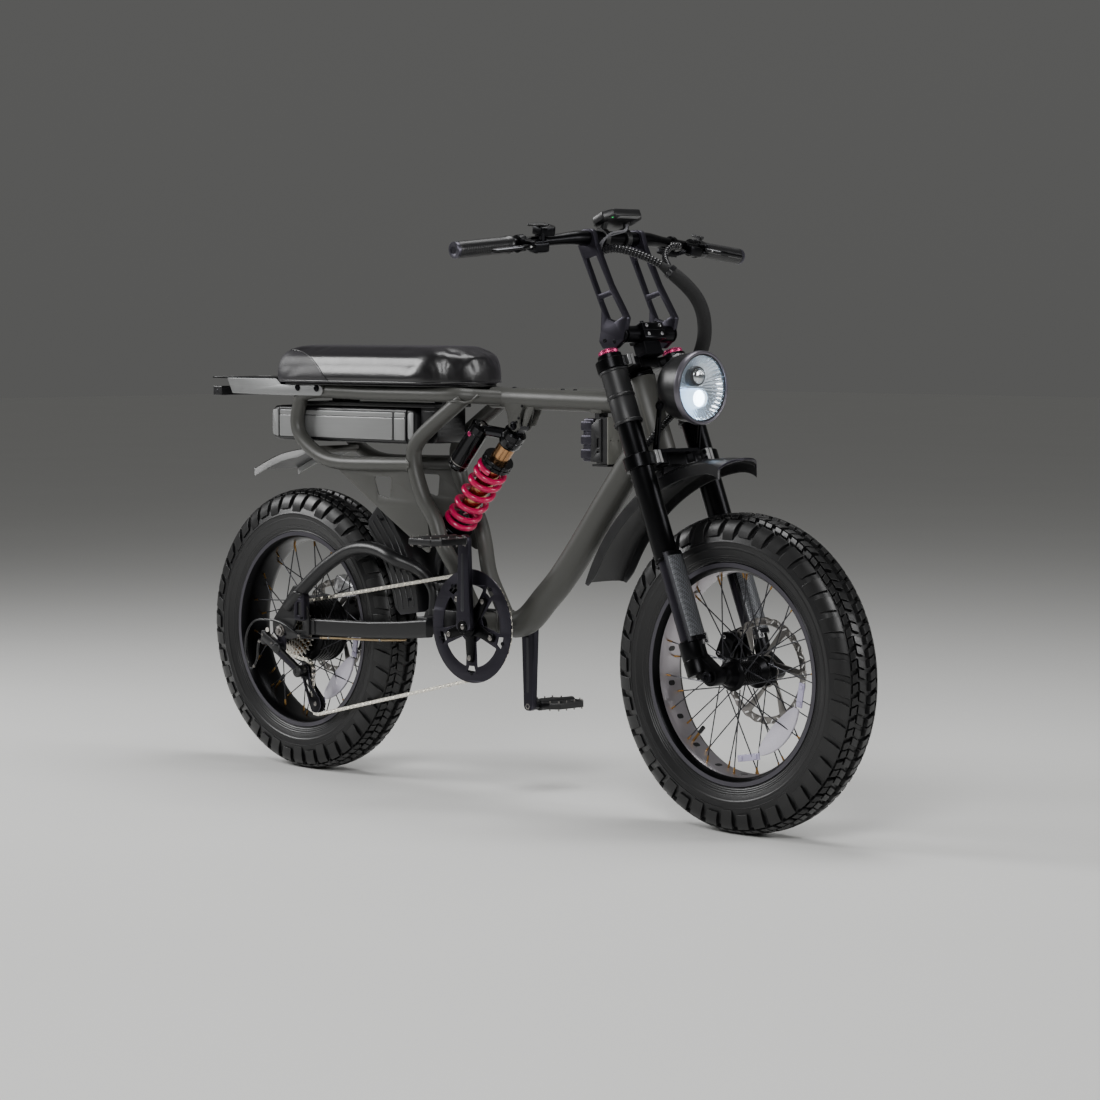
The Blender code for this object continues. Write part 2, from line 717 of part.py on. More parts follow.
def fork_legs():
    """Outer legs with their top knobs."""
    knob_profile = [
        (0.0, KNOB_HEIGHT),
        (KNOB_RADIUS - 0.003, KNOB_HEIGHT),
        (KNOB_RADIUS, KNOB_HEIGHT - 0.002),
        (KNOB_RADIUS, 0),
        (0, 0),
    ]
    for side, label, knob in zip(SIDES, LABELS, ("preload_knob", "lockout_knob")):
        foot = on_fork(0, 0, side * LEG_Y)
        part(f"fork_upper_{label}", BLACK_METAL, turned(leg_profile(), foot, UP, 12), foot)
        seat = on_fork(LEG_TOP + GAP, 0, side * LEG_Y)
        part(knob, PINK_METAL, turned(knob_profile, seat, UP, 12), seat)


def guard(y):
    """A curved stone guard in front of one stanchion, with its foot in the casting."""
    span = math.radians(72)
    inner = LEG_RADIUS + 0.0035
    outer = inner + 0.0025
    low = DROPOUT_TOP - 0.006
    high = LEG_BOTTOM + 0.014
    outline = circle(outer, (0, 0), 7, -span, span) + circle(inner, (0, 0), 7, -span, span)[::-1]
    place = Matrix.Translation(on_fork((low + high) / 2, 0, y)) @ FORK_TURN
    foot = on_fork(low + 0.004, LEG_RADIUS, y)
    return [plate([outline], high - low, place), block((0.012, 0.022, 0.008), foot, FORK_TURN)]


def lowers():
    """Each stanchion in its axle casting with its guard, and the caliper mount on the left."""
    hub_half = FRONT_HUB_WIDTH / 2 + 0.014 + GAP
    arm_width = LEG_Y + 0.010 - hub_half
    casting_radius = LEG_RADIUS + 0.001
    reach = ACROSS * 0.2
    for side, label in zip(SIDES, LABELS):
        y = side * LEG_Y
        stanchion = rod(on_fork(0.020, 0, y), on_fork(STANCHION_TOP, 0, y), STANCHION_RADIUS, 12)
        joined = [rod(on_fork(0.012, 0, y), on_fork(DROPOUT_TOP, 0, y), casting_radius, 12)]
        place = Matrix.Translation(FRONT_AXLE + ACROSS * side * (hub_half + arm_width / 2))
        place = place @ FORK_TURN @ Matrix.Rotation(math.pi / 2, 4, "X")
        outline = link_round((0, 0), (-AXLE_LEAD, 0.042), 0.0175, 0.017)
        joined.append(plate([outline], arm_width, place))
        joined += guard(y)
        if side > 0:
            mount = on_fork(0.070, -0.034, ROTOR_Y + CALIPER_WIDTH / 2 + 0.0065)
            joined.append(block((0.036, 0.012, 0.070), mount, FORK_TURN))
        cut = [rod(FRONT_AXLE - reach, FRONT_AXLE + reach, FRONT_AXLE_RADIUS + GAP, 12)]
        if side > 0:
            cut.append(caliper_block(FRONT_AXLE, FRONT_CALIPER_ANGLE, 0.002)[3])
        part(f"fork_lower_{label}", BLACK_METAL, stanchion, on_fork(0, 0, y), fuse=joined, cut=cut)


def caliper_block(axle, angle, margin=0.0, bevel=0.0):
    """The outer form of a caliper, straddling the disc at an angle round the axle."""
    out = Vector((math.cos(angle), 0, math.sin(angle)))
    centre = axle + out * (ROTOR_RADIUS - 0.004) + ACROSS * ROTOR_Y
    turn = axes_from(ACROSS.cross(out))
    size = (0.036 + margin, CALIPER_WIDTH + margin, 0.058 + margin)
    return centre, out, turn, block(size, centre, turn, bevel)


def caliper(name, axle, angle, material):
    """A brake caliper with the slot for its disc."""
    centre, out, turn, body = caliper_block(axle, angle, bevel=0.003)
    slot = block((0.060, ROTOR_THICKNESS + 0.0024, 0.080), centre - out * 0.018, turn)
    part(name, material, body, axle, cut=[slot])


def front_end_hardware():
    """The front through axle with its end nuts, and the front caliper."""
    end = LEG_Y + 0.010 + GAP
    axle = rod(FRONT_AXLE - ACROSS * end, FRONT_AXLE + ACROSS * end, FRONT_AXLE_RADIUS, 12)
    nuts = []
    for side in SIDES:
        start = FRONT_AXLE + ACROSS * side * end
        nuts.append(rod(start - ACROSS * side * 0.0001, start + ACROSS * side * 0.008, 0.011, 6))
    part("front_axle", BLACK_METAL, axle, FRONT_AXLE, fuse=nuts)
    caliper("front_caliper", FRONT_AXLE, FRONT_CALIPER_ANGLE, BLACK_METAL)


# Riser, bar and controls
def bar_point(y):
    """A point on the handlebar's axis at a distance across the bike."""
    share = max(0.0, abs(y) - BAR_STRAIGHT / 2) / (BAR_WIDTH / 2 - BAR_STRAIGHT / 2)
    return BAR_CENTRE + Vector((-BAR_SWEEP * share, y, -BAR_DROP * share))


def bar_direction(side):
    """The handlebar's direction outwards along one grip."""
    return (bar_point(side * BAR_WIDTH / 2) - bar_point(side * BAR_WIDTH / 3)).normalized()


def riser():
    """Two skeleton plates and the lower cross bar with its direct mount."""
    low = (STEM_BAR.x, STEM_BAR.z)
    top = (BAR_CENTRE.x - low[0], BAR_CENTRE.z - low[1])
    outline = [
        (-0.052, 0.006),
        (-0.056, -0.014),
        (-0.046, -0.0275),
        (-0.012, -0.0275),
        (0.008, -0.012),
        (0.019, 0.031),
        (0.008, 0.048),
        (-0.025, 0.096),
        (top[0] + 0.026, top[1] - 0.012),
        (top[0] + 0.016, top[1] + 0.018),
        (top[0] - 0.016, top[1] + 0.018),
        (top[0] - 0.025, top[1] - 0.012),
        (-0.083, 0.110),
        (-0.050, 0.045),
    ]
    windows = [
        [(-0.022, 0.022), (0.007, 0.032), (-0.006, 0.050), (-0.014, 0.046)],
        [(-0.071, 0.112), (-0.032, 0.056), (-0.028, 0.062), (-0.035, 0.094), (-0.074, 0.140)],
        [(-0.056, 0.080), (-0.040, 0.050), (-0.038, 0.048), (-0.045, 0.066)],
    ]
    end = RISER_SPACING / 2
    pieces = []
    for side in SIDES:
        place = upright(STEM_BAR, side * RISER_SPACING / 2)
        pieces.append(plate([outline] + windows, RISER_THICKNESS, place))
    bar_holes = [rod(BAR_CENTRE - ACROSS * 0.1, BAR_CENTRE + ACROSS * 0.1, BAR_RADIUS + GAP, 16)]
    bar = rod(STEM_BAR - ACROSS * end, STEM_BAR + ACROSS * end, STEM_BAR_RADIUS, 16)
    bridge_top = UPPER_CROWN_HEIGHT + UPPER_CROWN_THICKNESS * CROWN_BRIDGE / 2 + GAP
    neck_height = STEM_HEIGHT - bridge_top
    neck = block(
        (0.030, 0.044, neck_height),
        on_steerer(bridge_top + neck_height / 2, STEM_REACH - 0.006),
        FORK_TURN,
    )
    pieces.append(neck)
    pieces.append(block((0.046, 0.058, 0.034), STEM_BAR, FORK_TURN))
    for side in SIDES:
        for ahead in (-0.012, 0.012):
            bolt = on_steerer(STEM_HEIGHT, STEM_REACH + ahead, side * 0.018)
            pieces.append(rod(bolt, bolt + UP * 0.0225, 0.0035, 6))
    part("handlebar_riser", GREY_METAL, bar, STEM_BAR, fuse=pieces, cut=bar_holes)


def handlebar():
    """The swept bar, thicker between the risers, and its two grips."""
    half = BAR_WIDTH / 2
    grip_start = half - GRIP_LENGTH
    places = [0.0, BAR_STRAIGHT / 2 - 0.020, BAR_STRAIGHT / 2, BAR_STRAIGHT / 2 + 0.030, half - 0.006]
    radii = [BAR_RADIUS, BAR_RADIUS, BAR_RADIUS * 0.95, BAR_END_RADIUS, BAR_END_RADIUS]
    ys = [-y for y in places[:0:-1]] + places
    sizes = radii[:0:-1] + radii
    points = [bar_point(y) for y in ys]
    tube = pipe(points, BAR_RADIUS, 4, radii=[r / BAR_RADIUS for r in sizes])
    part("handlebar", BLACK_METAL, tube, BAR_CENTRE)

    bore = BAR_END_RADIUS + 3 * GAP
    for side, label in zip(SIDES, LABELS):
        profile = [
            (0.0, GRIP_LENGTH),
            (GRIP_RADIUS, GRIP_LENGTH),
            (GRIP_RADIUS, 0.012),
            (GRIP_RADIUS + 0.0015, 0.010),
            (GRIP_RADIUS + 0.0015, 0),
            (bore, 0),
            (bore, GRIP_LENGTH - 0.0015),
            (0.0, GRIP_LENGTH - 0.0015),
        ]
        start = bar_point(side * grip_start)
        part(f"grip_{label}", RUBBER, turned(profile, start, bar_direction(side), 12), start)


def clamp_ring(side, y, width, radius):
    """A clamp band round the bar's slimmer end, before its bore is cut."""
    start = bar_point(side * (y - width / 2))
    return rod(start, start + bar_direction(side) * width, radius, 12)


def bar_frame(side, y):
    """A place on the bar with its directions: outwards, ahead and down."""
    out = bar_direction(side)
    ahead = Vector((math.cos(LEVER_DROOP), 0, -math.sin(LEVER_DROOP)))
    ahead = (ahead - out * ahead.dot(out)).normalized()
    down = ahead.cross(out) * side
    return bar_point(side * y), out, ahead, down


def basis(x, y, z):
    """A turn from three directions."""
    return Matrix((x, y, z)).transposed().to_4x4()


def brake_perch(side, label):
    """The perch of one brake lever, as clamp, joined pieces and cuts, and the lever itself."""
    point, out, ahead, down = bar_frame(side, PERCH_Y)
    turn = basis(ahead, out, -down * side)
    pivot = point + ahead * LEVER_PIVOT_AHEAD + down * LEVER_PIVOT_DROP
    clamp = clamp_ring(side, PERCH_Y, PERCH_WIDTH * 0.6, BAR_END_RADIUS + 0.006)
    reservoir_place = point + ahead * 0.0265 - out * 0.0255 - down * 0.003
    joined = [block((0.022, 0.037, 0.018), reservoir_place, turn)]
    joined.append(block((0.012, 0.014, 0.0176), point + ahead * 0.019 + down * LEVER_PIVOT_DROP, turn))
    for level in SIDES:
        ear = pivot + down * level * 0.0068
        joined.append(rod(ear - down * 0.002, ear + down * 0.002, 0.008, 8))
        joined.append(block((0.018, 0.013, 0.004), ear - ahead * 0.009, turn))
    blade = [
        (-0.0045, -0.004),
        (0.004, -0.007),
        (0.030, 0.006),
        (LEVER_LENGTH - 0.008, 0.006),
        (LEVER_LENGTH, 0.013),
        (LEVER_LENGTH - 0.006, 0.018),
        (0.030, 0.016),
        (0.004, 0.007),
        (-0.0045, 0.005),
    ]
    place = Matrix.Translation(pivot) @ basis(out, ahead, out.cross(ahead))
    part(f"brake_lever_{label}", GREY_METAL, plate([blade], LEVER_THICKNESS, place), pivot)
    return [clamp] + joined


def right_controls():
    """Right brake perch and the shifter under the bar, with its lever."""
    joined = brake_perch(-1, "right")
    point, out, ahead, down = bar_frame(-1, SHIFTER_Y)
    turn = basis(ahead, -out, down)
    band = clamp_ring(-1, SHIFTER_Y, 0.010, BAR_END_RADIUS + 0.005)
    joined.append(block((0.034, 0.036, 0.018), point + ahead * 0.010 + down * 0.0235, turn))
    web = point + ahead * 0.020 + down * 0.010 + out * 0.0145
    joined.append(block((0.010, 0.006, 0.024), web, turn))
    cut = [rod(point - out * 0.09, point + out * 0.09, BAR_END_RADIUS + GAP, 16)]
    part("right_controls", BLACK_METAL, band, BAR_CENTRE, fuse=joined, cut=cut)
    pin = point + ahead * 0.010 + down * (0.0325 + GAP)
    place = Matrix.Translation(pin + down * 0.002) @ basis(out, ahead, out.cross(ahead))
    paddle = [
        (-0.007, -0.006),
        (0.010, -0.010),
        (0.034, -0.014),
        (0.036, -0.006),
        (0.008, 0.006),
        (-0.006, 0.006),
    ]
    part("shift_lever", BLACK_PLASTIC, plate([paddle], 0.004, place), pin)


def left_controls():
    """Left brake perch and the keypad with its button, and the thumb throttle."""
    joined = brake_perch(1, "left")
    point, out, ahead, down = bar_frame(1, KEYPAD_Y)
    turn = basis(ahead, out, -down)
    band = clamp_ring(1, KEYPAD_Y, 0.010, BAR_END_RADIUS + 0.004)
    shell = point - down * 0.0185 - ahead * 0.004
    joined.append(block((0.030, 0.034, 0.012), shell, turn))
    web_start = shell + ahead * 0.010 + out * 0.012
    web_end = point + ahead * 0.0265 - down * 0.003 + out * (PERCH_Y - KEYPAD_Y - 0.034)
    joined.append(rod(web_start, web_end, 0.0045, 6))
    cut = [rod(point - out * 0.09, point + out * 0.09, BAR_END_RADIUS + GAP, 16)]
    cut.append(block((0.0166, 0.0226, 0.006), shell - down * 0.006, turn))
    part("left_controls", BLACK_METAL, band, BAR_CENTRE, fuse=joined, cut=cut)
    button = block((0.016, 0.022, 0.0028), shell - down * 0.0061, turn, 0.0006)
    part("keypad_button", RUBBER, button, shell - down * 0.0061)

    throttle_y = BAR_WIDTH / 2 - GRIP_LENGTH - 0.0065
    point, out, ahead, down = bar_frame(1, throttle_y)
    band = clamp_ring(1, throttle_y, 0.010, BAR_END_RADIUS + 0.008)
    turn = basis(ahead, out, -down)
    thumb = block((0.026, 0.009, 0.006), point - ahead * 0.004 + down * 0.0235, turn, 0.001)
    foot = block((0.010, 0.009, 0.012), point + down * 0.018, turn)
    cut = [rod(point - out * 0.05, point + out * 0.05, BAR_END_RADIUS + GAP, 16)]
    part("thumb_throttle", BLACK_PLASTIC, band, point, fuse=[foot, thumb], cut=cut)


def display():
    """The tilted display on its bracket over the middle of the bar."""
    length, width, depth = DISPLAY_SIZE
    tilt = Matrix.Rotation(math.radians(-24), 4, "Y")
    centre = BAR_CENTRE + Vector((0.012, 0, BAR_RADIUS + 0.024))
    corner = 0.016
    outline = []
    for sx, sy in ((1, 1), (-1, 1), (-1, -1), (1, -1)):
        pair = [
            (sx * length / 2, sy * (width / 2 - corner)),
            (sx * (length / 2 - corner), sy * width / 2),
        ]
        outline += pair if sx * sy > 0 else pair[::-1]
    panel = plate([outline], depth, Matrix.Translation(centre) @ tilt)
    joined = []
    for side in SIDES:
        y = side * 0.030
        start = BAR_CENTRE + ACROSS * (y - 0.006)
        joined.append(rod(start, start + ACROSS * 0.012, BAR_RADIUS + 0.006, 12))
        low = BAR_CENTRE + Vector((0.004, y, BAR_RADIUS + 0.003))
        joined.append(rod(low, centre + ACROSS * y, 0.006, 8))
    bore = [rod(BAR_CENTRE - ACROSS * 0.09, BAR_CENTRE + ACROSS * 0.09, BAR_RADIUS + GAP, 16)]
    part("display", BLACK_PLASTIC, panel, BAR_CENTRE, fuse=joined, cut=bore)


# Headlight and front fender
def headlight():
    """The bowl with its bezel, reflector, two projectors and pivot ears, and the lens."""
    forward = Vector((1, 0, 0))
    back = LAMP_FACE - forward * LAMP_DEPTH
    mouth = LAMP_RADIUS - 0.007
    profile = [
        (0.0, LAMP_DEPTH - 0.034),
        (0.034, LAMP_DEPTH - 0.030),
        (mouth, LAMP_DEPTH - 0.012),
        (mouth, LAMP_DEPTH),
        (LAMP_RADIUS, LAMP_DEPTH),
        (LAMP_RADIUS, LAMP_DEPTH - 0.008),
        (LAMP_RADIUS - 0.003, LAMP_DEPTH - 0.012),
        (0.063, 0.040),
        (0.052, 0.016),
        (0.030, 0.002),
        (0.0, 0.0),
    ]
    shell = turned(profile, back, forward, 16)
    ears = []
    ear_y = LAMP_EAR_SPAN / 2 - 0.004
    for side in SIDES:
        place = LAMP_PIVOT + ACROSS * side * ear_y
        ears.append(block((0.020, 0.004, 0.030), place + Vector((0.004, 0, 0.009))))
        ears.append(rod(place - ACROSS * 0.002, place + ACROSS * 0.002, 0.010, 8))
    projectors = []
    for height in (-0.020, 0.022):
        start = LAMP_FACE + Vector((-0.036, 0, height))
        projectors.append(rod(start, start + forward * 0.022, 0.0175, 12, 0.0165))
    part("headlight_shell", BLACK_METAL, shell, LAMP_PIVOT, fuse=ears + projectors)

    lens = [
        (0.0, LAMP_DEPTH + 0.003),
        (0.040, LAMP_DEPTH + 0.0015),
        (mouth - GAP, LAMP_DEPTH - 0.001),
        (mouth - GAP, LAMP_DEPTH - 0.004),
        (0.0, LAMP_DEPTH - 0.001),
    ]
    part("headlight_lens", CLEAR, turned(lens, back, forward, 16), LAMP_PIVOT)


def arc_shell(centre, inner, outer, wall, width, start, end, steps=9):
    """A channel section swept round an arc: a roof with two side skirts that point inwards."""
    half = width / 2
    section = [
        (outer, -half),
        (outer + 0.004, -half * 0.4),
        (outer + 0.004, half * 0.4),
        (outer, half),
        (inner, half),
        (inner, half - wall),
        (outer - wall, half - wall),
        (outer - wall + 0.004, half * 0.4),
        (outer - wall + 0.004, -half * 0.4),
        (outer - wall, -half + wall),
        (inner, -half + wall),
        (inner, -half),
    ]
    shape = bmesh.new()
    rings = []
    for i in range(steps + 1):
        angle = start + (end - start) * i / steps
        out = Vector((math.cos(angle), 0, math.sin(angle)))
        rings.append([shape.verts.new(centre + out * r + ACROSS * y) for r, y in section])
    for first, second in zip(rings, rings[1:]):
        for i in range(len(section)):
            j = (i + 1) % len(section)
            shape.faces.new((first[i], first[j], second[j], second[i]))
    shape.faces.new(rings[0][::-1])
    shape.faces.new(rings[-1])
    return keep(shape)


def front_fender():
    """A beaked guard bolted under the lower crown, above the full travel of the tyre."""
    crown_low = LOWER_CROWN_HEIGHT - LOWER_CROWN_THICKNESS / 2 - GAP
    wall = 0.003
    shell = arc_shell(
        FRONT_AXLE, FENDER_RADIUS - FENDER_SKIRT, FENDER_RADIUS, wall, FRONT_FENDER_WIDTH, *FENDER_SPAN
    )
    mount_foot = on_steerer(crown_low, 0.0)
    out = (mount_foot - FRONT_AXLE).normalized()
    reach = (mount_foot - FRONT_AXLE).length
    inner = FENDER_RADIUS - wall
    saddle = block((0.040, 0.060, reach - inner), FRONT_AXLE + out * (inner + reach) / 2, axes_from(out))
    level = block((0.2, 0.2, 0.05), on_steerer(crown_low + 0.025), FORK_TURN)
    part("front_fender", BLACK_PLASTIC, shell, mount_foot, fuse=[saddle], cut=[level])


def down_tube(radius):
    """The curved down tube from the head tube to the crank shell."""
    bends = [(0.335, 0.2855), (0.246, 0.1735), (0.185, 0.1025), (0.136, 0.0565), (0.093, 0.0175)]
    route = [on_steerer(DOWN_TUBE_JOIN)] + [from_crank(x, z) for x, z in bends]
    points = smooth(route + [from_crank(0.053, 0.0015), from_crank(0.006, 0.0)], 2)
    return pipe(points, radius, 3, radii=[1.0] * (len(points) - 2) + [0.92, 0.76])


def loom():
    """The sleeved loom from the display round the head tube to the down tube's gland."""
    start = BAR_CENTRE + Vector((0.006, -0.047, -BAR_RADIUS - 0.011))
    route = [
        start,
        start + Vector((0.050, 0.012, 0.004)),
        start + Vector((0.108, 0.062, -0.026)),
        on_steerer(0.7170, 0.1430, 0.058),
        on_steerer(0.6500, 0.1260, 0.072),
        on_steerer(0.5950, 0.0850, 0.066),
        on_steerer(0.5500, 0.0560, 0.042),
        on_steerer(0.5200, 0.0450, 0.016),
        on_steerer(0.4950, 0.0380, -0.022),
        on_steerer(0.4700, 0.0080, -0.044),
        on_steerer(0.4520, -0.0330, -0.043),
        on_steerer(0.4420, -0.0600, -0.024),
        on_steerer(*LOOM_END),
    ]
    points = smooth(route, 2, 0)
    last = len(points) - 1
    radii = []
    for i in range(len(points)):
        share = i / last
        width = 1.0 if 0.12 < share < 0.40 else 0.62
        radii.append(0.38 if share > 0.48 else width)
    sleeve = pipe(points, LOOM_RADIUS, 1, radii=radii)
    part("loom_sleeve", BLACK_PLASTIC, sleeve, start, cut=[down_tube(DOWN_TUBE_RADIUS + 2 * GAP)])


# Frame
def rail(side, radius):
    """One seat rail with its loop round the tail and back to the seat tube."""
    route = [
        from_crank(TOP_TUBE_END + 0.040, TOP_TUBE_HEIGHT - 0.001, side * 0.006),
        from_crank(TOP_TUBE_END - 0.012, TOP_TUBE_HEIGHT + 0.002, side * 0.040),
        from_crank(TOP_TUBE_END - 0.070, RAIL_HEIGHT, side * RAIL_Y),
        from_crank(-0.300, RAIL_HEIGHT, side * RAIL_Y),
        from_crank(-LOOP_BACK + 0.0385, RAIL_HEIGHT, side * RAIL_Y),
        from_crank(-LOOP_BACK + 0.001, RAIL_HEIGHT - 0.033, side * RAIL_Y),
        from_crank(-LOOP_BACK, (RAIL_HEIGHT + LOOP_BOTTOM) / 2 - 0.010, side * RAIL_Y),
        from_crank(-LOOP_BACK + 0.046, LOOP_BOTTOM + 0.023, side * RAIL_Y),
        from_crank(-LOOP_BACK + 0.120, LOOP_BOTTOM, side * RAIL_Y),
        from_crank(-0.278, LOOP_BOTTOM, side * RAIL_Y),
        from_crank(-0.1865, LOOP_BOTTOM + 0.002, side * (RAIL_Y - 0.005)),
    ]
    return pipe(smooth(route, 2), radius, 2)


def main_frame():
    """Head tube, down tube, top tube, seat rails with their loop, seat tubes and crank shell."""
    head = rod(on_steerer(HEAD_TUBE_BOTTOM), on_steerer(HEAD_TUBE_TOP), HEAD_TUBE_RADIUS, 16)
    pieces = [head, down_tube(DOWN_TUBE_RADIUS)]

    top_start = on_steerer(TOP_TUBE_JOIN)
    top_end = from_crank(TOP_TUBE_END, TOP_TUBE_HEIGHT)
    pieces.append(pipe([top_start, top_end], TOP_TUBE_RADIUS, 3))
    shell_half = ACROSS * SHELL_WIDTH / 2
    pieces.append(rod(CRANK_AXLE - shell_half, CRANK_AXLE + shell_half, SHELL_RADIUS, 16))
    pivot_half = ACROSS * PIVOT_TUBE_WIDTH / 2
    pieces.append(rod(SWING_PIVOT - pivot_half, SWING_PIVOT + pivot_half, PIVOT_TUBE_RADIUS, 12))
    lug_size = (0.024, PIVOT_TUBE_WIDTH - 0.008, PIVOT_BACK)
    lug = block(lug_size, (CRANK_AXLE + SWING_PIVOT) / 2, axes_from(SWING_PIVOT - CRANK_AXLE))
    pieces.append(lug)

    for side in SIDES:
        cup_start = CRANK_AXLE + ACROSS * side * (SHELL_WIDTH / 2 - 0.002)
        pieces.append(rod(cup_start, cup_start + ACROSS * side * 0.008, SHELL_RADIUS - 0.001, 12))
        pieces.append(rail(side, RAIL_RADIUS))
        seat_tube = [
            from_crank(-0.040, RAIL_HEIGHT - 0.006, side * (SEAT_TUBE_Y - 0.004)),
            from_crank(-0.061, RAIL_HEIGHT - 0.022, side * SEAT_TUBE_Y),
            from_crank(-0.169, 0.3675, side * SEAT_TUBE_Y),
            from_crank(-0.183, 0.3195, side * SEAT_TUBE_Y),
            from_crank(-0.156, 0.2505, side * SEAT_TUBE_Y),
            from_crank(-0.121, 0.2055, side * SEAT_TUBE_Y),
            from_crank(-0.101, 0.1585, side * (SEAT_TUBE_Y - 0.002)),
            from_crank(-0.0695, 0.0975, side * (SEAT_TUBE_Y - 0.018)),
            from_crank(-0.0365, 0.0445, side * (SEAT_TUBE_Y - 0.020)),
            from_crank(-0.004, 0.004, side * (SEAT_TUBE_Y - 0.026)),
        ]
        pieces.append(pipe(smooth(seat_tube, 2), SEAT_TUBE_RADIUS, 2))
        gusset = [
            (-0.430, LOOP_BOTTOM - 0.004),
            (-0.170, LOOP_BOTTOM + 0.002),
            (-0.140, 0.236),
            (-0.124, 0.132),
            (-0.292, 0.228),
        ]
        window = [(-0.300, 0.290), (-0.245, 0.290), (-0.250, 0.245), (-0.285, 0.252)]
        pieces.append(plate([gusset, window], GUSSET_THICKNESS, upright(CRANK_AXLE, side * RAIL_Y)))
        lug_place = from_crank(-LOOP_BACK + 0.045, RAIL_HEIGHT + 0.006, side * (RAIL_Y + RAIL_RADIUS / 2))
        pieces.append(block((0.100, RAIL_RADIUS, 0.018), lug_place))
        bracket = link_round(SHOCK_TOP, (SHOCK_TOP[0], TOP_TUBE_HEIGHT - 0.004), 0.014, 0.020)
        pieces.append(plate([bracket], SHOCK_PLATE, upright(CRANK_AXLE, side * SHOCK_PLATE_Y)))
    for x in (-0.150, -0.470):
        start = from_crank(x, RAIL_HEIGHT - 0.002, -RAIL_Y)
        pieces.append(rod(start, start + ACROSS * RAIL_SPACING, 0.009, 8))
    start = from_crank(-LOOP_BACK + 0.046, LOOP_BOTTOM + 0.023, -RAIL_Y)
    pieces.append(rod(start, start + ACROSS * RAIL_SPACING, 0.008, 8))
    ear = from_crank(HORN_PLACE[0], TOP_TUBE_HEIGHT - TOP_TUBE_RADIUS + 0.004)
    pieces.append(block((0.030, 0.030, 0.018), ear))

    reach = 0.2
    bolt = from_crank(*SHOCK_TOP)
    cup_low = HEAD_TUBE_BOTTOM - HEADSET_HEIGHT + GAP
    cup_high = HEAD_TUBE_TOP + HEADSET_HEIGHT - GAP
    pieces.append(rod(on_steerer(cup_low), on_steerer(cup_high), HEAD_TUBE_RADIUS - 0.0015, 16))
    pin = SHOCK_PLATE_Y + SHOCK_PLATE / 2 + 0.004
    pieces.append(rod(bolt - ACROSS * pin, bolt + ACROSS * pin, SHOCK_BOLT_RADIUS, 8))
    cuts = [
        rod(on_steerer(cup_low - 0.02), on_steerer(cup_high + 0.02), STEERER_RADIUS + 2 * GAP, 12),
        rod(CRANK_AXLE - ACROSS * reach, CRANK_AXLE + ACROSS * reach, SPINDLE_RADIUS + GAP, 12),
        rod(SWING_PIVOT - ACROSS * reach, SWING_PIVOT + ACROSS * reach, PIVOT_BOLT_RADIUS + GAP, 12),
    ]
    first = pieces.pop(0)
    part("main_frame", OLIVE_PAINT, first, (0, 0, 0), fuse=pieces, cut=cuts)


def seat():
    """Bench cushion with crown, drawn in sides and a rear panel seam, on its pan."""
    base = RAIL_HEIGHT + RAIL_RADIUS + GAP
    back = SEAT_FRONT - SEAT_LENGTH
    length, half = SEAT_LENGTH, SEAT_WIDTH / 2
    pan = [
        (back + 0.012, -half + 0.020),
        (SEAT_FRONT - SEAT_NOSE + 0.010, -half + 0.020),
        (SEAT_FRONT - 0.030, -half * 0.62),
        (SEAT_FRONT - 0.014, -half * 0.25),
        (SEAT_FRONT - 0.014, half * 0.25),
        (SEAT_FRONT - 0.030, half * 0.62),
        (SEAT_FRONT - SEAT_NOSE + 0.010, half - 0.020),
        (back + 0.012, half - 0.020),
    ]
    place = Matrix.Translation(from_crank(0, base + SEAT_PAN_THICKNESS / 2))
    sheet = plate([pan], SEAT_PAN_THICKNESS, place)
    part("seat_pan", BLACK_PLASTIC, sheet, from_crank(SEAT_FRONT - length / 2, base))

    low = base + SEAT_PAN_THICKNESS + GAP
    shape = bmesh.new()
    stations = [0.0, 0.03, 0.10, 0.26, 0.265, 0.27, 0.45, 0.66, 0.80, 0.88, 0.94, 0.98, 1.0]
    rings = []
    for share in stations:
        x = back + length * share
        nose = max(0.0, (share - (1 - SEAT_NOSE / length)) / (SEAT_NOSE / length))
        tail = max(0.0, 1 - share / 0.03)
        width = half * (1 - nose**2.6) ** 0.5 * (1 - 0.05 * tail)
        width = max(width, half * 0.22)
        crown = SEAT_HEIGHT * (1 - 0.30 * nose**3) * (1 - 0.14 * tail)
        if abs(share - 0.265) < 0.001:
            width -= SEAM_DEPTH
            crown -= SEAM_DEPTH
        section = [
            (-0.93, 0.0),
            (-0.985, 0.18),
            (-1.0, 0.36),
            (-0.985, 0.56),
            (-0.93, 0.72),
            (-0.905, 0.735),
            (-0.86, 0.82),
            (-0.70, 0.915),
            (-0.45, 0.965),
            (-0.20, 0.99),
        ]
        section += [(-y, z) for y, z in section[::-1]]
        rings.append([shape.verts.new(from_crank(x, low + crown * z, width * y)) for y, z in section])
    for first, second in zip(rings, rings[1:]):
        for i in range(len(first)):
            j = (i + 1) % len(first)
            shape.faces.new((first[i], first[j], second[j], second[i]))
    shape.faces.new(rings[0][::-1])
    shape.faces.new(rings[-1])
    part("seat", VINYL, keep(shape), from_crank(SEAT_FRONT - length / 2, low), smooth_angle=60)


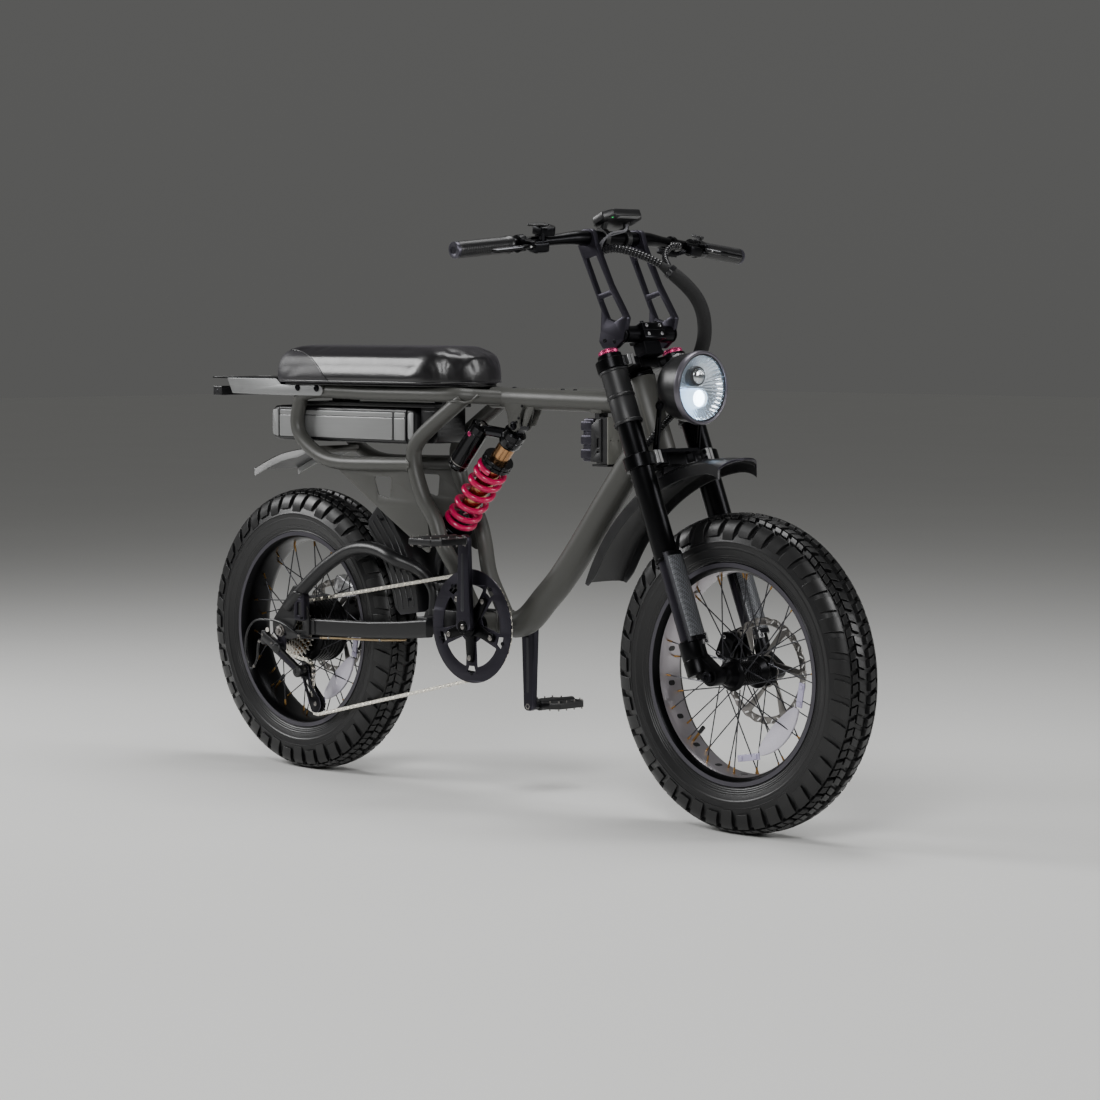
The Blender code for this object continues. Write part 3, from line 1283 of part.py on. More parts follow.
def tail():
    """Rear side plates with the top plate, the lamp, and the flap behind the battery."""
    outer = RAIL_Y + RAIL_RADIUS + GAP + TAIL_PLATE_THICKNESS / 2
    top = RAIL_HEIGHT + 0.027
    outline = [
        (-0.758, top - 0.0004),
        (-0.5925, top - 0.0004),
        (-0.577, RAIL_HEIGHT + 0.0145),
        (-0.448, RAIL_HEIGHT + 0.0145),
        (-0.440, RAIL_HEIGHT + 0.004),
        (-0.448, RAIL_HEIGHT - 0.007),
        (-0.560, RAIL_HEIGHT - 0.008),
        (-0.740, RAIL_HEIGHT - 0.006),
    ]
    pieces = []
    for side in SIDES:
        pieces.append(plate([outline], TAIL_PLATE_THICKNESS, upright(CRANK_AXLE, side * outer)))
        for x, z in ((-0.521, RAIL_HEIGHT + 0.009), (-0.460, RAIL_HEIGHT + 0.008)):
            head = from_crank(x, z, side * outer)
            pieces.append(rod(head, head + ACROSS * side * 0.0055, 0.006, 8))
    roof_length = -TAIL_BACK - 0.5915
    roof = block((roof_length, 2 * outer, 0.003), from_crank(TAIL_BACK + roof_length / 2, top))
    stay = block((0.012, 0.060, 0.020), from_crank(TAIL_BACK + 0.018, top - 0.008))
    tie = block((0.004, 2 * outer, 0.012), from_crank(-0.740, RAIL_HEIGHT + 0.012))
    part("rear_plates", PALE_METAL, roof, from_crank(TAIL_BACK, top), fuse=pieces + [stay, tie])

    lamp_place = from_crank(TAIL_BACK + 0.016, top - 0.0185 - GAP - 0.010)
    lamp = block((0.030, 0.160, 0.020), lamp_place, bevel=0.003)
    part("tail_light", RED_LENS, lamp, from_crank(TAIL_BACK + 0.016, top - 0.0285))

    route = [(-0.5055, 0.3385), (-0.535, 0.3365), (-0.595, 0.3265), (-0.645, 0.3105), (-0.696, 0.2895)]
    upper = [(x, z + FLAP_THICKNESS) for x, z in route]
    sheet = plate([route + upper[::-1]], FLAP_WIDTH, upright(CRANK_AXLE))
    flanges = []
    for side in SIDES:
        low = [(x, z - 0.014 * min(1.0, i / 1.5)) for i, (x, z) in enumerate(route)]
        y = side * (FLAP_WIDTH / 2 - FLAP_THICKNESS / 2)
        flanges.append(plate([low + upper[::-1]], FLAP_THICKNESS, upright(CRANK_AXLE, y)))
    tube = from_crank(-LOOP_BACK + 0.046, LOOP_BOTTOM + 0.023, -0.1)
    clearance = [rod(tube, tube + ACROSS * 0.2, 0.008 + GAP, 8)]
    clearance += [rail(side, RAIL_RADIUS + 2 * GAP) for side in SIDES]
    part("rear_flap", PALE_METAL, sheet, from_crank(-0.5055, 0.3385), fuse=flanges, cut=clearance)


def battery():
    """The battery pack, its dock tray with the front housing and the horn unit."""
    back = BATTERY_FRONT - BATTERY_LENGTH
    middle = BATTERY_FRONT - BATTERY_LENGTH / 2
    half = BATTERY_WIDTH / 2
    low = BATTERY_TOP - BATTERY_HEIGHT
    cap = 0.030
    chamfer = 0.014
    section = [
        (-half, low + 0.008),
        (-half + 0.008, low),
        (half - 0.008, low),
        (half, low + 0.008),
        (half, BATTERY_TOP - 0.008),
        (half - 0.008, BATTERY_TOP),
        (-half + 0.008, BATTERY_TOP),
        (-half, BATTERY_TOP - 0.008),
    ]
    turn = Matrix.Rotation(math.pi / 2, 4, "Z") @ Matrix.Rotation(math.pi / 2, 4, "X")
    place = Matrix.Translation(from_crank(middle, 0)) @ turn
    case = plate([section], BATTERY_LENGTH - 2 * cap, place)
    ends = []
    for direction, x in ((-1, back), (1, BATTERY_FRONT)):
        profile = [
            (x - direction * (cap + 0.004), low + 0.002),
            (x - direction * chamfer, low + 0.002),
            (x, low + chamfer),
            (x, BATTERY_TOP - chamfer),
            (x - direction * chamfer, BATTERY_TOP - 0.002),
            (x - direction * (cap + 0.004), BATTERY_TOP - 0.002),
        ]
        ends.append(plate([profile], BATTERY_WIDTH - 0.006, upright(CRANK_AXLE)))
    grip = block((0.008, 0.050, 0.018), from_crank(back + 0.001, (low + BATTERY_TOP) / 2))
    part("battery_pack", PALE_METAL, case, from_crank(middle, (low + BATTERY_TOP) / 2), fuse=ends + [grip])

    floor = BATTERY_TOP + 0.0015
    tray = block((0.420, 0.100, 0.0075), from_crank(-0.3415, floor + 0.00375), bevel=0.001)
    pads = []
    for x in (-0.150, -0.470):
        pads.append(block((0.024, 0.050, 0.016), from_crank(x, floor + 0.012)))
    housing_place = from_crank(BATTERY_FRONT + 0.0275, floor - BATTERY_HEIGHT / 2 + 0.002)
    housing = block((0.052, 0.078, BATTERY_HEIGHT), housing_place, bevel=0.004)
    tubes = []
    for x in (-0.150, -0.470):
        start = from_crank(x, RAIL_HEIGHT - 0.002, -0.2)
        tubes.append(rod(start, start + ACROSS * 0.4, 0.009 + GAP, 8))
    part("battery_dock", BLACK_PLASTIC, tray, from_crank(-0.3415, floor), fuse=pads + [housing], cut=tubes)

    x, z = HORN_PLACE
    horn = block((0.034, 0.042, 0.090), from_crank(x - 0.020, z), bevel=0.003)
    face = block((0.034, 0.040, 0.094), from_crank(x + 0.0205, z), bevel=0.002)
    middle_block = block((0.014, 0.034, 0.080), from_crank(x + 0.0005, z))
    top = z + 0.030
    join = TOP_TUBE_HEIGHT - TOP_TUBE_RADIUS - 0.005 - GAP
    foot = block((0.012, 0.024, join - top), from_crank(x, (join + top) / 2))
    part("horn_unit", GREY_METAL, face, from_crank(x, z), fuse=[horn, middle_block, foot])


# Swingarm
def arch(side, radius):
    """One tube of the arch, from the dropout over the arm and down inboard of the chain."""
    places = [
        (-CHAINSTAY + 0.022, 0.006, ARCH_Y + 0.013),
        (-CHAINSTAY + 0.060, 0.036, ARCH_Y + 0.0145),
        (-CHAINSTAY + 0.121, 0.0875, ARCH_Y + 0.006),
        (-CHAINSTAY + 0.179, 0.1225, ARCH_Y),
        (-CHAINSTAY + 0.222, ARCH_APEX - 0.3515, ARCH_Y),
        (-CHAINSTAY + 0.264, ARCH_APEX - 0.3475, ARCH_Y),
        (-CHAINSTAY + 0.306, ARCH_APEX - 0.3525, ARCH_Y),
        (-CHAINSTAY + 0.347, ARCH_APEX - 0.3665, ARCH_Y - 0.001),
        (-CHAINSTAY + 0.388, ARCH_APEX - 0.3905, ARCH_Y - 0.033),
        (-0.1515, ARCH_APEX - 0.4265, ARCH_Y - 0.040),
        (-0.150, 0.010, ARCH_Y - 0.040),
    ]
    route = smooth([from_crank(x, z, side * y) for x, z, y in places], 2)
    radii = [1.0 if point.x < REAR_AXLE.x + 0.382 else 0.86 for point in route]
    return pipe(route, radius, 2, radii=radii)


def swingarm():
    """Box arms, arch, dropouts, yoke, pivot ears and the shock tower."""
    pieces = []
    rear_x, front_x = -CHAINSTAY + 0.077, -0.130
    for side in SIDES:
        arm = bmesh.new()
        rings = []
        for x, z, y, tall in (
            (rear_x, -0.034, ARM_Y + 0.001, ARM_HEIGHT),
            (rear_x + 0.195, -0.028, ARM_Y - 0.003, ARM_HEIGHT),
            (front_x, -0.014, ARM_Y - 0.008, ARM_HEIGHT * 1.1),
        ):
            half = ARM_WIDTH / 2
            edge = 0.005
            section = [
                (-half + edge, -tall / 2),
                (half - edge, -tall / 2),
                (half, -tall / 2 + edge),
                (half, tall / 2 - edge),
                (half - edge, tall / 2),
                (-half + edge, tall / 2),
                (-half, tall / 2 - edge),
                (-half, -tall / 2 + edge),
            ]
            rings.append([arm.verts.new(from_crank(x, z + h, side * (y + w))) for w, h in section])
        for first, second in zip(rings, rings[1:]):
            for i in range(8):
                j = (i + 1) % 8
                arm.faces.new((first[i], first[j], second[j], second[i]))
        arm.faces.new(rings[0][::-1])
        arm.faces.new(rings[-1])
        pieces.append(keep(arm))

        inner = DROPOUT_SPACING / 2
        drop = [
            (-0.028, -0.030),
            (-0.026, -0.052),
            (-0.012, -0.0640),
            (0.027, -0.0640),
            (0.092, -0.052),
            (0.092, -0.016),
            (0.072, 0.046),
            (0.042, 0.052),
            (0.024, 0.030),
            (-0.020, -0.018),
        ]
        y = side * (inner + DROPOUT_THICKNESS / 2)
        drop_place = upright(from_crank(-CHAINSTAY, 0), y)
        pieces.append(plate([drop], DROPOUT_THICKNESS, drop_place))
        arm_end = from_crank(-CHAINSTAY + 0.085, -0.034, side * (ARM_Y + 0.006))
        pieces.append(block((0.040, 0.014, 0.030), arm_end))
        arch_end = from_crank(-CHAINSTAY + 0.067, 0.012, side * (inner + 0.004))
        pieces.append(block((0.034, 0.016, 0.066), arch_end))
        pieces.append(arch(side, ARCH_RADIUS))
        ear_y = side * EAR_Y
        ear = link_round((-PIVOT_BACK, PIVOT_UP), (-0.150, 0.004), 0.019, 0.020)
        pieces.append(plate([ear], EAR_WIDTH, upright(CRANK_AXLE, ear_y)))
        tower = [
            (-0.168, -0.006),
            (-0.132, -0.006),
            (-0.124, 0.120),
            (SHOCK_BOTTOM[0] + 0.013, SHOCK_BOTTOM[1] - 0.002),
            (SHOCK_BOTTOM[0] + 0.009, SHOCK_BOTTOM[1] + 0.010),
            (SHOCK_BOTTOM[0], SHOCK_BOTTOM[1] + 0.014),
            (SHOCK_BOTTOM[0] - 0.009, SHOCK_BOTTOM[1] + 0.010),
            (SHOCK_BOTTOM[0] - 0.013, SHOCK_BOTTOM[1]),
            (-0.166, 0.120),
        ]
        pieces.append(plate([tower], SHOCK_PLATE, upright(CRANK_AXLE, side * TOWER_Y)))
    yoke_half = ARM_Y - 0.006
    pieces.append(block((0.036, 2 * yoke_half, 0.036), from_crank(-0.150, -0.010)))
    bridge_half = ARCH_Y - 0.036
    pieces.append(block((0.024, 2 * bridge_half, 0.016), from_crank(-0.146, 0.070)))
    caliper_foot = from_crank(-CHAINSTAY + 0.042, 0.030, ROTOR_Y + 0.0233)
    pieces.append(block((0.064, 0.012, 0.018), caliper_foot))
    hanger_y = -DROPOUT_SPACING / 2 - DROPOUT_THICKNESS / 2
    hanger = link_round((-CHAINSTAY, 0), (-CHAINSTAY + HANGER[0], HANGER[1]), 0.015, 0.010)
    hanger_place = upright(CRANK_AXLE + Vector((0, 0, WHEEL_RADIUS - CRANK_AXLE_HEIGHT)), hanger_y)
    pieces.append(plate([hanger], DROPOUT_THICKNESS, hanger_place))

    lower_bolt = from_crank(*SHOCK_BOTTOM)
    for point, radius, end in (
        (SWING_PIVOT, PIVOT_BOLT_RADIUS, EAR_Y + EAR_WIDTH / 2 + 0.004),
        (lower_bolt, SHOCK_BOLT_RADIUS, TOWER_Y + SHOCK_PLATE / 2 + 0.004),
    ):
        pieces.append(rod(point - ACROSS * end, point + ACROSS * end, radius, 12))
    bore = rod(REAR_AXLE - ACROSS * 0.2, REAR_AXLE + ACROSS * 0.2, REAR_AXLE_RADIUS + GAP, 12)
    first = pieces.pop(0)
    part("swingarm", BLACK_PAINT, first, SWING_PIVOT, fuse=pieces, cut=[bore])


def rear_axle():
    """The rear axle with its nuts."""
    end = DROPOUT_SPACING / 2 + DROPOUT_THICKNESS + GAP
    axle = rod(REAR_AXLE - ACROSS * end, REAR_AXLE + ACROSS * end, REAR_AXLE_RADIUS, 12)
    nuts = []
    for side in SIDES:
        start = REAR_AXLE + ACROSS * side * end
        nuts.append(rod(start - ACROSS * side * 0.0001, start + ACROSS * side * 0.007, 0.011, 6))
    part("rear_axle", STEEL, axle, REAR_AXLE, fuse=nuts)


def inner_fender():
    """The guard between the rear wheel and the seat tubes, with ribbed sides."""
    start, end = FENDER_SPAN_REAR
    shell = arc_shell(REAR_AXLE, FENDER_INNER, FENDER_OUTER, FENDER_WALL, FENDER_WIDTH, start, end, 7)
    ribs = []
    for i in range(5):
        angle = start + (end - start) * (i + 0.5) / 5
        out = Vector((math.cos(angle), 0, math.sin(angle)))
        for side in SIDES:
            y = side * (FENDER_WIDTH / 2 + 0.0008)
            centre = REAR_AXLE + out * (FENDER_INNER * 0.5 + FENDER_OUTER * 0.5 - 0.002) + ACROSS * y
            ribs.append(block((0.010, 0.004, FENDER_OUTER - FENDER_INNER - 0.016), centre, axes_from(out)))
    stay_back = REAR_AXLE.x + FENDER_OUTER * 0.965
    stay_front = CRANK_AXLE.x - 0.168
    stay_place = Vector(((stay_back + stay_front) / 2, 0, CRANK_AXLE.z + 0.062))
    stay = block((stay_front - stay_back, 0.044, 0.018), stay_place)
    ribs.append(stay)
    notches = [arch(side, ARCH_RADIUS + 0.0015) for side in SIDES]
    part("inner_fender", BLACK_PLASTIC, shell, SWING_PIVOT, fuse=ribs, cut=notches)


# Drive
def pitch_radius(teeth):
    """The radius of the chain's pins on a sprocket."""
    return CHAIN_PITCH / (2 * math.sin(math.pi / teeth))


def toothed(teeth, tip=0.0038, root=0.0036):
    """The outline of a sprocket with one pointed tooth for each pitch."""
    radius = pitch_radius(teeth)
    outline = []
    for i in range(teeth):
        for share, rise in ((0.0, -root), (0.5, tip)):
            angle = 2 * math.pi * (i + share) / teeth
            outline.append(((radius + rise) * math.cos(angle), (radius + rise) * math.sin(angle)))
    return outline


def cassette():
    """Seven sprockets on one body, with teeth on the one that the chain is on."""
    outer = SPROCKET_INNER_Y + SPROCKET_STEP * (len(SPROCKET_TEETH) - 1) + 0.002
    inner = SPROCKET_INNER_Y - 0.0026
    core_radius = 0.0235
    half = TOOTH_THICKNESS / 2
    profile = [(0.0120, outer), (core_radius, outer)]
    for i in range(len(SPROCKET_TEETH) - 1, 0, -1):
        y = SPROCKET_INNER_Y + SPROCKET_STEP * i
        edge = pitch_radius(SPROCKET_TEETH[i])
        profile += [(core_radius, y + half), (edge, y + half), (edge, y - half), (core_radius, y - half)]
    profile += [(core_radius, inner), (0.0120, inner)]
    core = turned(profile, REAR_AXLE, -ACROSS, 14, closed=True)
    outlines = [toothed(SPROCKET_TEETH[0]), circle(core_radius - 0.002, count=16)]
    first = plate(outlines, TOOTH_THICKNESS, upright(REAR_AXLE, -SPROCKET_INNER_Y))
    part("cassette", BRONZE, core, REAR_AXLE, fuse=[first])


GUIDE = REAR_AXLE + Vector((GUIDE_PULLEY[0], -SPROCKET_INNER_Y, GUIDE_PULLEY[1]))
TENSION = REAR_AXLE + Vector((TENSION_PULLEY[0], -SPROCKET_INNER_Y, TENSION_PULLEY[1]))
PIN_RADIUS = 0.003


def derailleur():
    """Knuckles and link of the rear derailleur, its cage and the two pulleys."""
    hang = REAR_AXLE + Vector((HANGER[0], 0, HANGER[1]))
    outer = DROPOUT_SPACING / 2 + DROPOUT_THICKNESS + GAP
    knuckle = rod(hang - ACROSS * outer, hang - ACROSS * (outer + 0.016), 0.012, 12)
    cage_y = SPROCKET_INNER_Y + CAGE_HALF + CAGE_PLATE / 2 + GAP
    pivot = Vector((GUIDE.x, 0, GUIDE.z))
    lower = rod(pivot - ACROSS * cage_y, pivot - ACROSS * (cage_y + 0.022), 0.013, 12)
    start = hang - ACROSS * (outer + 0.0135)
    end = pivot - ACROSS * (cage_y + 0.012)
    link = block((0.020, 0.009, (end - start).length), (start + end) / 2, axes_from(end - start))
    tail = hang + Vector((-0.034, -(outer + 0.009), 0.022))
    body = block((0.058, 0.014, 0.022), (hang - ACROSS * (outer + 0.008) + tail) / 2, None)
    horn = block((0.018, 0.012, 0.030), hang + Vector((-0.043, -(outer + 0.008), 0.020)), bevel=0.003)
    part("derailleur_body", BLACK_METAL, knuckle, hang, fuse=[link, lower, body, horn])

    plates = []
    outline = [
        (-0.014, 0.008),
        (0.0, 0.015),
        (0.013, 0.009),
        (0.022, -0.030),
        (0.050, -0.056),
        (0.055, -0.072),
        (0.044, -0.086),
        (0.026, -0.086),
        (0.018, -0.070),
        (0.000, -0.030),
    ]
    window = [(0.001, -0.016), (0.012, -0.018), (0.014, -0.034)]
    window += [(0.030, -0.052), (0.022, -0.058), (0.010, -0.036)]
    for side in SIDES:
        y = -SPROCKET_INNER_Y + side * CAGE_HALF
        plates.append(plate([outline, window], CAGE_PLATE, upright(GUIDE, y)))
    pins = []
    reach = ACROSS * (CAGE_HALF + CAGE_PLATE * 0.3)
    for point in (GUIDE, TENSION):
        pins.append(rod(point - reach, point + reach, PIN_RADIUS, 8))
    part("derailleur_cage", GREY_METAL, plates.pop(), GUIDE, fuse=plates + pins)
    for name, point in (("guide_pulley", GUIDE), ("tension_pulley", TENSION)):
        outlines = [toothed(PULLEY_TEETH), circle(PIN_RADIUS + 2 * GAP, count=8)]
        half = CAGE_HALF - CAGE_PLATE / 2 - GAP
        hub = ring(PIN_RADIUS + GAP, 0.0080, point - ACROSS * half, point + ACROSS * half, 8)
        wheel_plate = plate(outlines, TOOTH_THICKNESS, upright(point, point.y))
        part(name, BLACK_PLASTIC, hub, point, fuse=[wheel_plate])


def chain_route():
    """Points of the chain's path round ring, cassette, guide pulley and tension pulley."""
    circles = [
        (Vector((CRANK_AXLE.x, CRANK_AXLE.z)), pitch_radius(CHAINRING_TEETH)),
        (Vector((REAR_AXLE.x, REAR_AXLE.z)), pitch_radius(SPROCKET_TEETH[0])),
        (Vector((GUIDE.x, GUIDE.z)), -pitch_radius(PULLEY_TEETH)),
        (Vector((TENSION.x, TENSION.z)), pitch_radius(PULLEY_TEETH)),
    ]
    touches = []
    for (first, r1), (second, r2) in zip(circles, circles[1:] + circles[:1]):
        across = second - first
        length = math.sqrt(across.length_squared - (r2 - r1) ** 2)
        angle = math.atan2(across[1], across[0]) - math.atan2(r2 - r1, length)
        heading = Vector((math.cos(angle), math.sin(angle)))
        left = Vector((-heading[1], heading[0]))
        touches.append((first - left * r1, second - left * r2))
    route = []
    for i, (centre, radius) in enumerate(circles):
        arrive = touches[i - 1][1] - centre
        leave = touches[i][0] - centre
        start = math.atan2(arrive[1], arrive[0])
        sweep = (math.atan2(leave[1], leave[0]) - start) % (2 * math.pi)
        if radius < 0:
            sweep -= 2 * math.pi
        count = max(3, round(abs(sweep) / min(0.46, 0.025 / abs(radius))))
        for k in range(count + 1):
            angle = start + sweep * k / count
            route.append(centre + abs(radius) * Vector((math.cos(angle), math.sin(angle))))
        begin, finish_point = touches[i]
        steps = max(1, round((finish_point - begin).length / 0.09))
        for k in range(1, steps):
            route.append(begin.lerp(finish_point, k / steps))
    return route


def chain():
    """Two side bands along the chain's path, joined by rollers on the free runs."""
    route = chain_route()
    count = len(route)
    front = CRANK_AXLE.x - pitch_radius(CHAINRING_TEETH) * 0.9
    rear = TENSION.x + pitch_radius(PULLEY_TEETH) * 1.2
    belts = []
    rollers = []
    for side in SIDES:
        shape = bmesh.new()
        rings = []
        for i, point in enumerate(route):
            ahead = (route[(i + 1) % count] - route[i - 1]).normalized()
            normal = Vector((-ahead[1], ahead[0]))
            share = min(1.0, max(0.0, (point[0] - rear) / (front - rear)))
            middle = -SPROCKET_INNER_Y + (SPROCKET_INNER_Y - CHAIN_LINE) * share
            if side > 0 and rear < point[0] < front:
                spot = Vector((point[0], middle, point[1]))
                reach = ACROSS * CHAIN_SLOT
                rollers.append(rod(spot - reach, spot + reach, CHAIN_HEIGHT * 0.3, 4))
            ring_points = []
            for rise, y in ((-1, -1), (1, -1), (1, 1), (-1, 1)):
                spot = point + normal * rise * CHAIN_HEIGHT / 2
                across = middle + side * CHAIN_SLOT + y * CHAIN_PLATE / 2
                ring_points.append(shape.verts.new((spot[0], across, spot[1])))
            rings.append(ring_points)
        for i in range(count):
            first, second = rings[i], rings[(i + 1) % count]
            for j in range(4):
                k = (j + 1) % 4
                shape.faces.new((first[j], first[k], second[k], second[j]))
        belts.append(keep(shape))
    part("chain", STEEL, belts.pop(), CRANK_AXLE, fuse=belts + rollers)


def crankset():
    """Spindle, arms and spider, the chainring with its guard, and the two pedals."""
    spindle = rod(CRANK_AXLE - ACROSS * CRANK_Y, CRANK_AXLE + ACROSS * CRANK_Y, SPINDLE_RADIUS, 16)
    joined = []
    for side in SIDES:
        end = (0.0, -side * CRANK_LENGTH)
        outline = link_round((0, 0), end, CRANK_WIDTH * 0.85, CRANK_WIDTH * 0.56, 5)
        joined.append(plate([outline], CRANK_THICKNESS, upright(CRANK_AXLE, side * CRANK_Y)))
        axle = CRANK_AXLE + Vector((0, side * CRANK_Y, end[1]))
        spindle_end = PEDAL_INNER + PEDAL_WIDTH - 0.004 - CRANK_Y
        joined.append(rod(axle, axle + ACROSS * side * spindle_end, PEDAL_SPINDLE_RADIUS, 12))
        collar_start = CRANK_AXLE + ACROSS * side * (SHELL_WIDTH / 2 + 0.007)
        collar_end = CRANK_AXLE + ACROSS * side * (CRANK_Y - CRANK_THICKNESS / 2 + 0.001)
        if side > 0:
            joined.append(rod(collar_start, collar_end, 0.014, 16, 0.018))
    guard_y = CHAIN_LINE + 0.006
    spider_y = guard_y + GUARD_THICKNESS / 2 + GAP + 0.0025
    collar = CRANK_AXLE - ACROSS * (spider_y - 0.0025)
    joined.append(rod(collar, CRANK_AXLE - ACROSS * CRANK_Y, 0.021, 16))
    for i in range(5):
        angle = math.radians(54 + 72 * i)
        far = (BOLT_CIRCLE * math.cos(angle), BOLT_CIRCLE * math.sin(angle))
        arm = link_round((0, 0), far, 0.013, 0.0085, 4)
        joined.append(plate([arm], 0.005, upright(CRANK_AXLE, -spider_y)))
        bolt = from_crank(far[0], far[1], -spider_y - 0.0024)
        joined.append(rod(bolt, bolt - ACROSS * 0.002, 0.0055, 6))
    part("crank_arms", BLACK_METAL, spindle, CRANK_AXLE, fuse=joined)

    holes = []
    for i in range(5):
        middle = math.radians(18 + 72 * i)
        spread = math.radians(25)
        outer = circle(0.083, (0, 0), 5, middle - spread, middle + spread)
        inner = circle(0.034, (0, 0), 3, middle - spread * 0.55, middle + spread * 0.55)
        holes.append(outer + inner[::-1])
        bolt = middle + math.radians(36)
        far = circle(0.094, (0, 0), 3, bolt - 0.14, bolt + 0.14)
        near = circle(0.080, (0, 0), 3, bolt - 0.10, bolt + 0.10)
        holes.append(far + near[::-1])
    bore = SPINDLE_RADIUS + 0.010
    guard_plate = plate(
        [circle(GUARD_RADIUS, count=36), circle(bore, count=12)] + holes,
        GUARD_THICKNESS,
        upright(CRANK_AXLE, -guard_y),
    )
    ring_inner = pitch_radius(CHAINRING_TEETH) - 0.014
    teeth = plate(
        [toothed(CHAINRING_TEETH), circle(ring_inner, count=24)],
        TOOTH_THICKNESS,
        upright(CRANK_AXLE, -CHAIN_LINE),
    )
    posts = []
    for i in range(5):
        angle = math.radians(54 + 72 * i)
        radius = ring_inner + 0.004
        post = from_crank(radius * math.cos(angle), radius * math.sin(angle), -guard_y)
        posts.append(rod(post, post + ACROSS * 0.0065, 0.0040, 6))
    part("chainring", GREY_METAL, guard_plate, CRANK_AXLE, fuse=[teeth] + posts)

    half_long = PEDAL_LENGTH / 2
    for side, label in zip(SIDES, LABELS):
        axle = CRANK_AXLE + Vector((0, 0, -side * CRANK_LENGTH))
        inner, outer = PEDAL_INNER, PEDAL_INNER + PEDAL_WIDTH
        corner = 0.016
        outline = [
            (-half_long + corner, inner),
            (half_long - corner, inner),
            (half_long, inner + corner),
            (half_long, outer - corner),
            (half_long - corner, outer),
            (-half_long + corner, outer),
            (-half_long, outer - corner),
            (-half_long, inner + corner),
        ]
        middle = (inner + outer) / 2
        shape = [(x, side * y) for x, y in outline]
        body = plate([shape], PEDAL_THICKNESS * 0.8, Matrix.Translation(axle))
        cut = []
        near, far = 0.013, half_long - 0.009
        for front in SIDES:
            for low, high in ((inner + 0.012, middle - 0.004), (middle + 0.004, outer - 0.012)):
                centre = axle + Vector((front * (near + far) / 2, side * (low + high) / 2, 0))
                cut.append(block((far - near, high - low, PEDAL_THICKNESS), centre))
        tube_start = axle + ACROSS * side * (inner + 0.0015)
        tube_end = axle + ACROSS * side * (outer - 0.0015)
        tube = rod(tube_start, tube_end, PEDAL_THICKNESS * 0.72, 8)
        joined = [tube]
        for front in SIDES:
            for y in (inner + corner, outer - corner):
                foot = axle + Vector((front * (half_long - 0.006), side * y, 0))
                pin = PEDAL_THICKNESS * 0.4 + 0.004
                joined.append(rod(foot - Vector((0, 0, pin)), foot + Vector((0, 0, pin)), 0.0016, 4))
        bore_start = axle + ACROSS * side * (inner - 0.01)
        bore_end = axle + ACROSS * side * (outer - 0.003)
        cut.append(rod(bore_start, bore_end, PEDAL_SPINDLE_RADIUS + GAP, 12))
        part(f"pedal_{label}", BLACK_METAL, body, axle, fuse=joined, cut=cut)


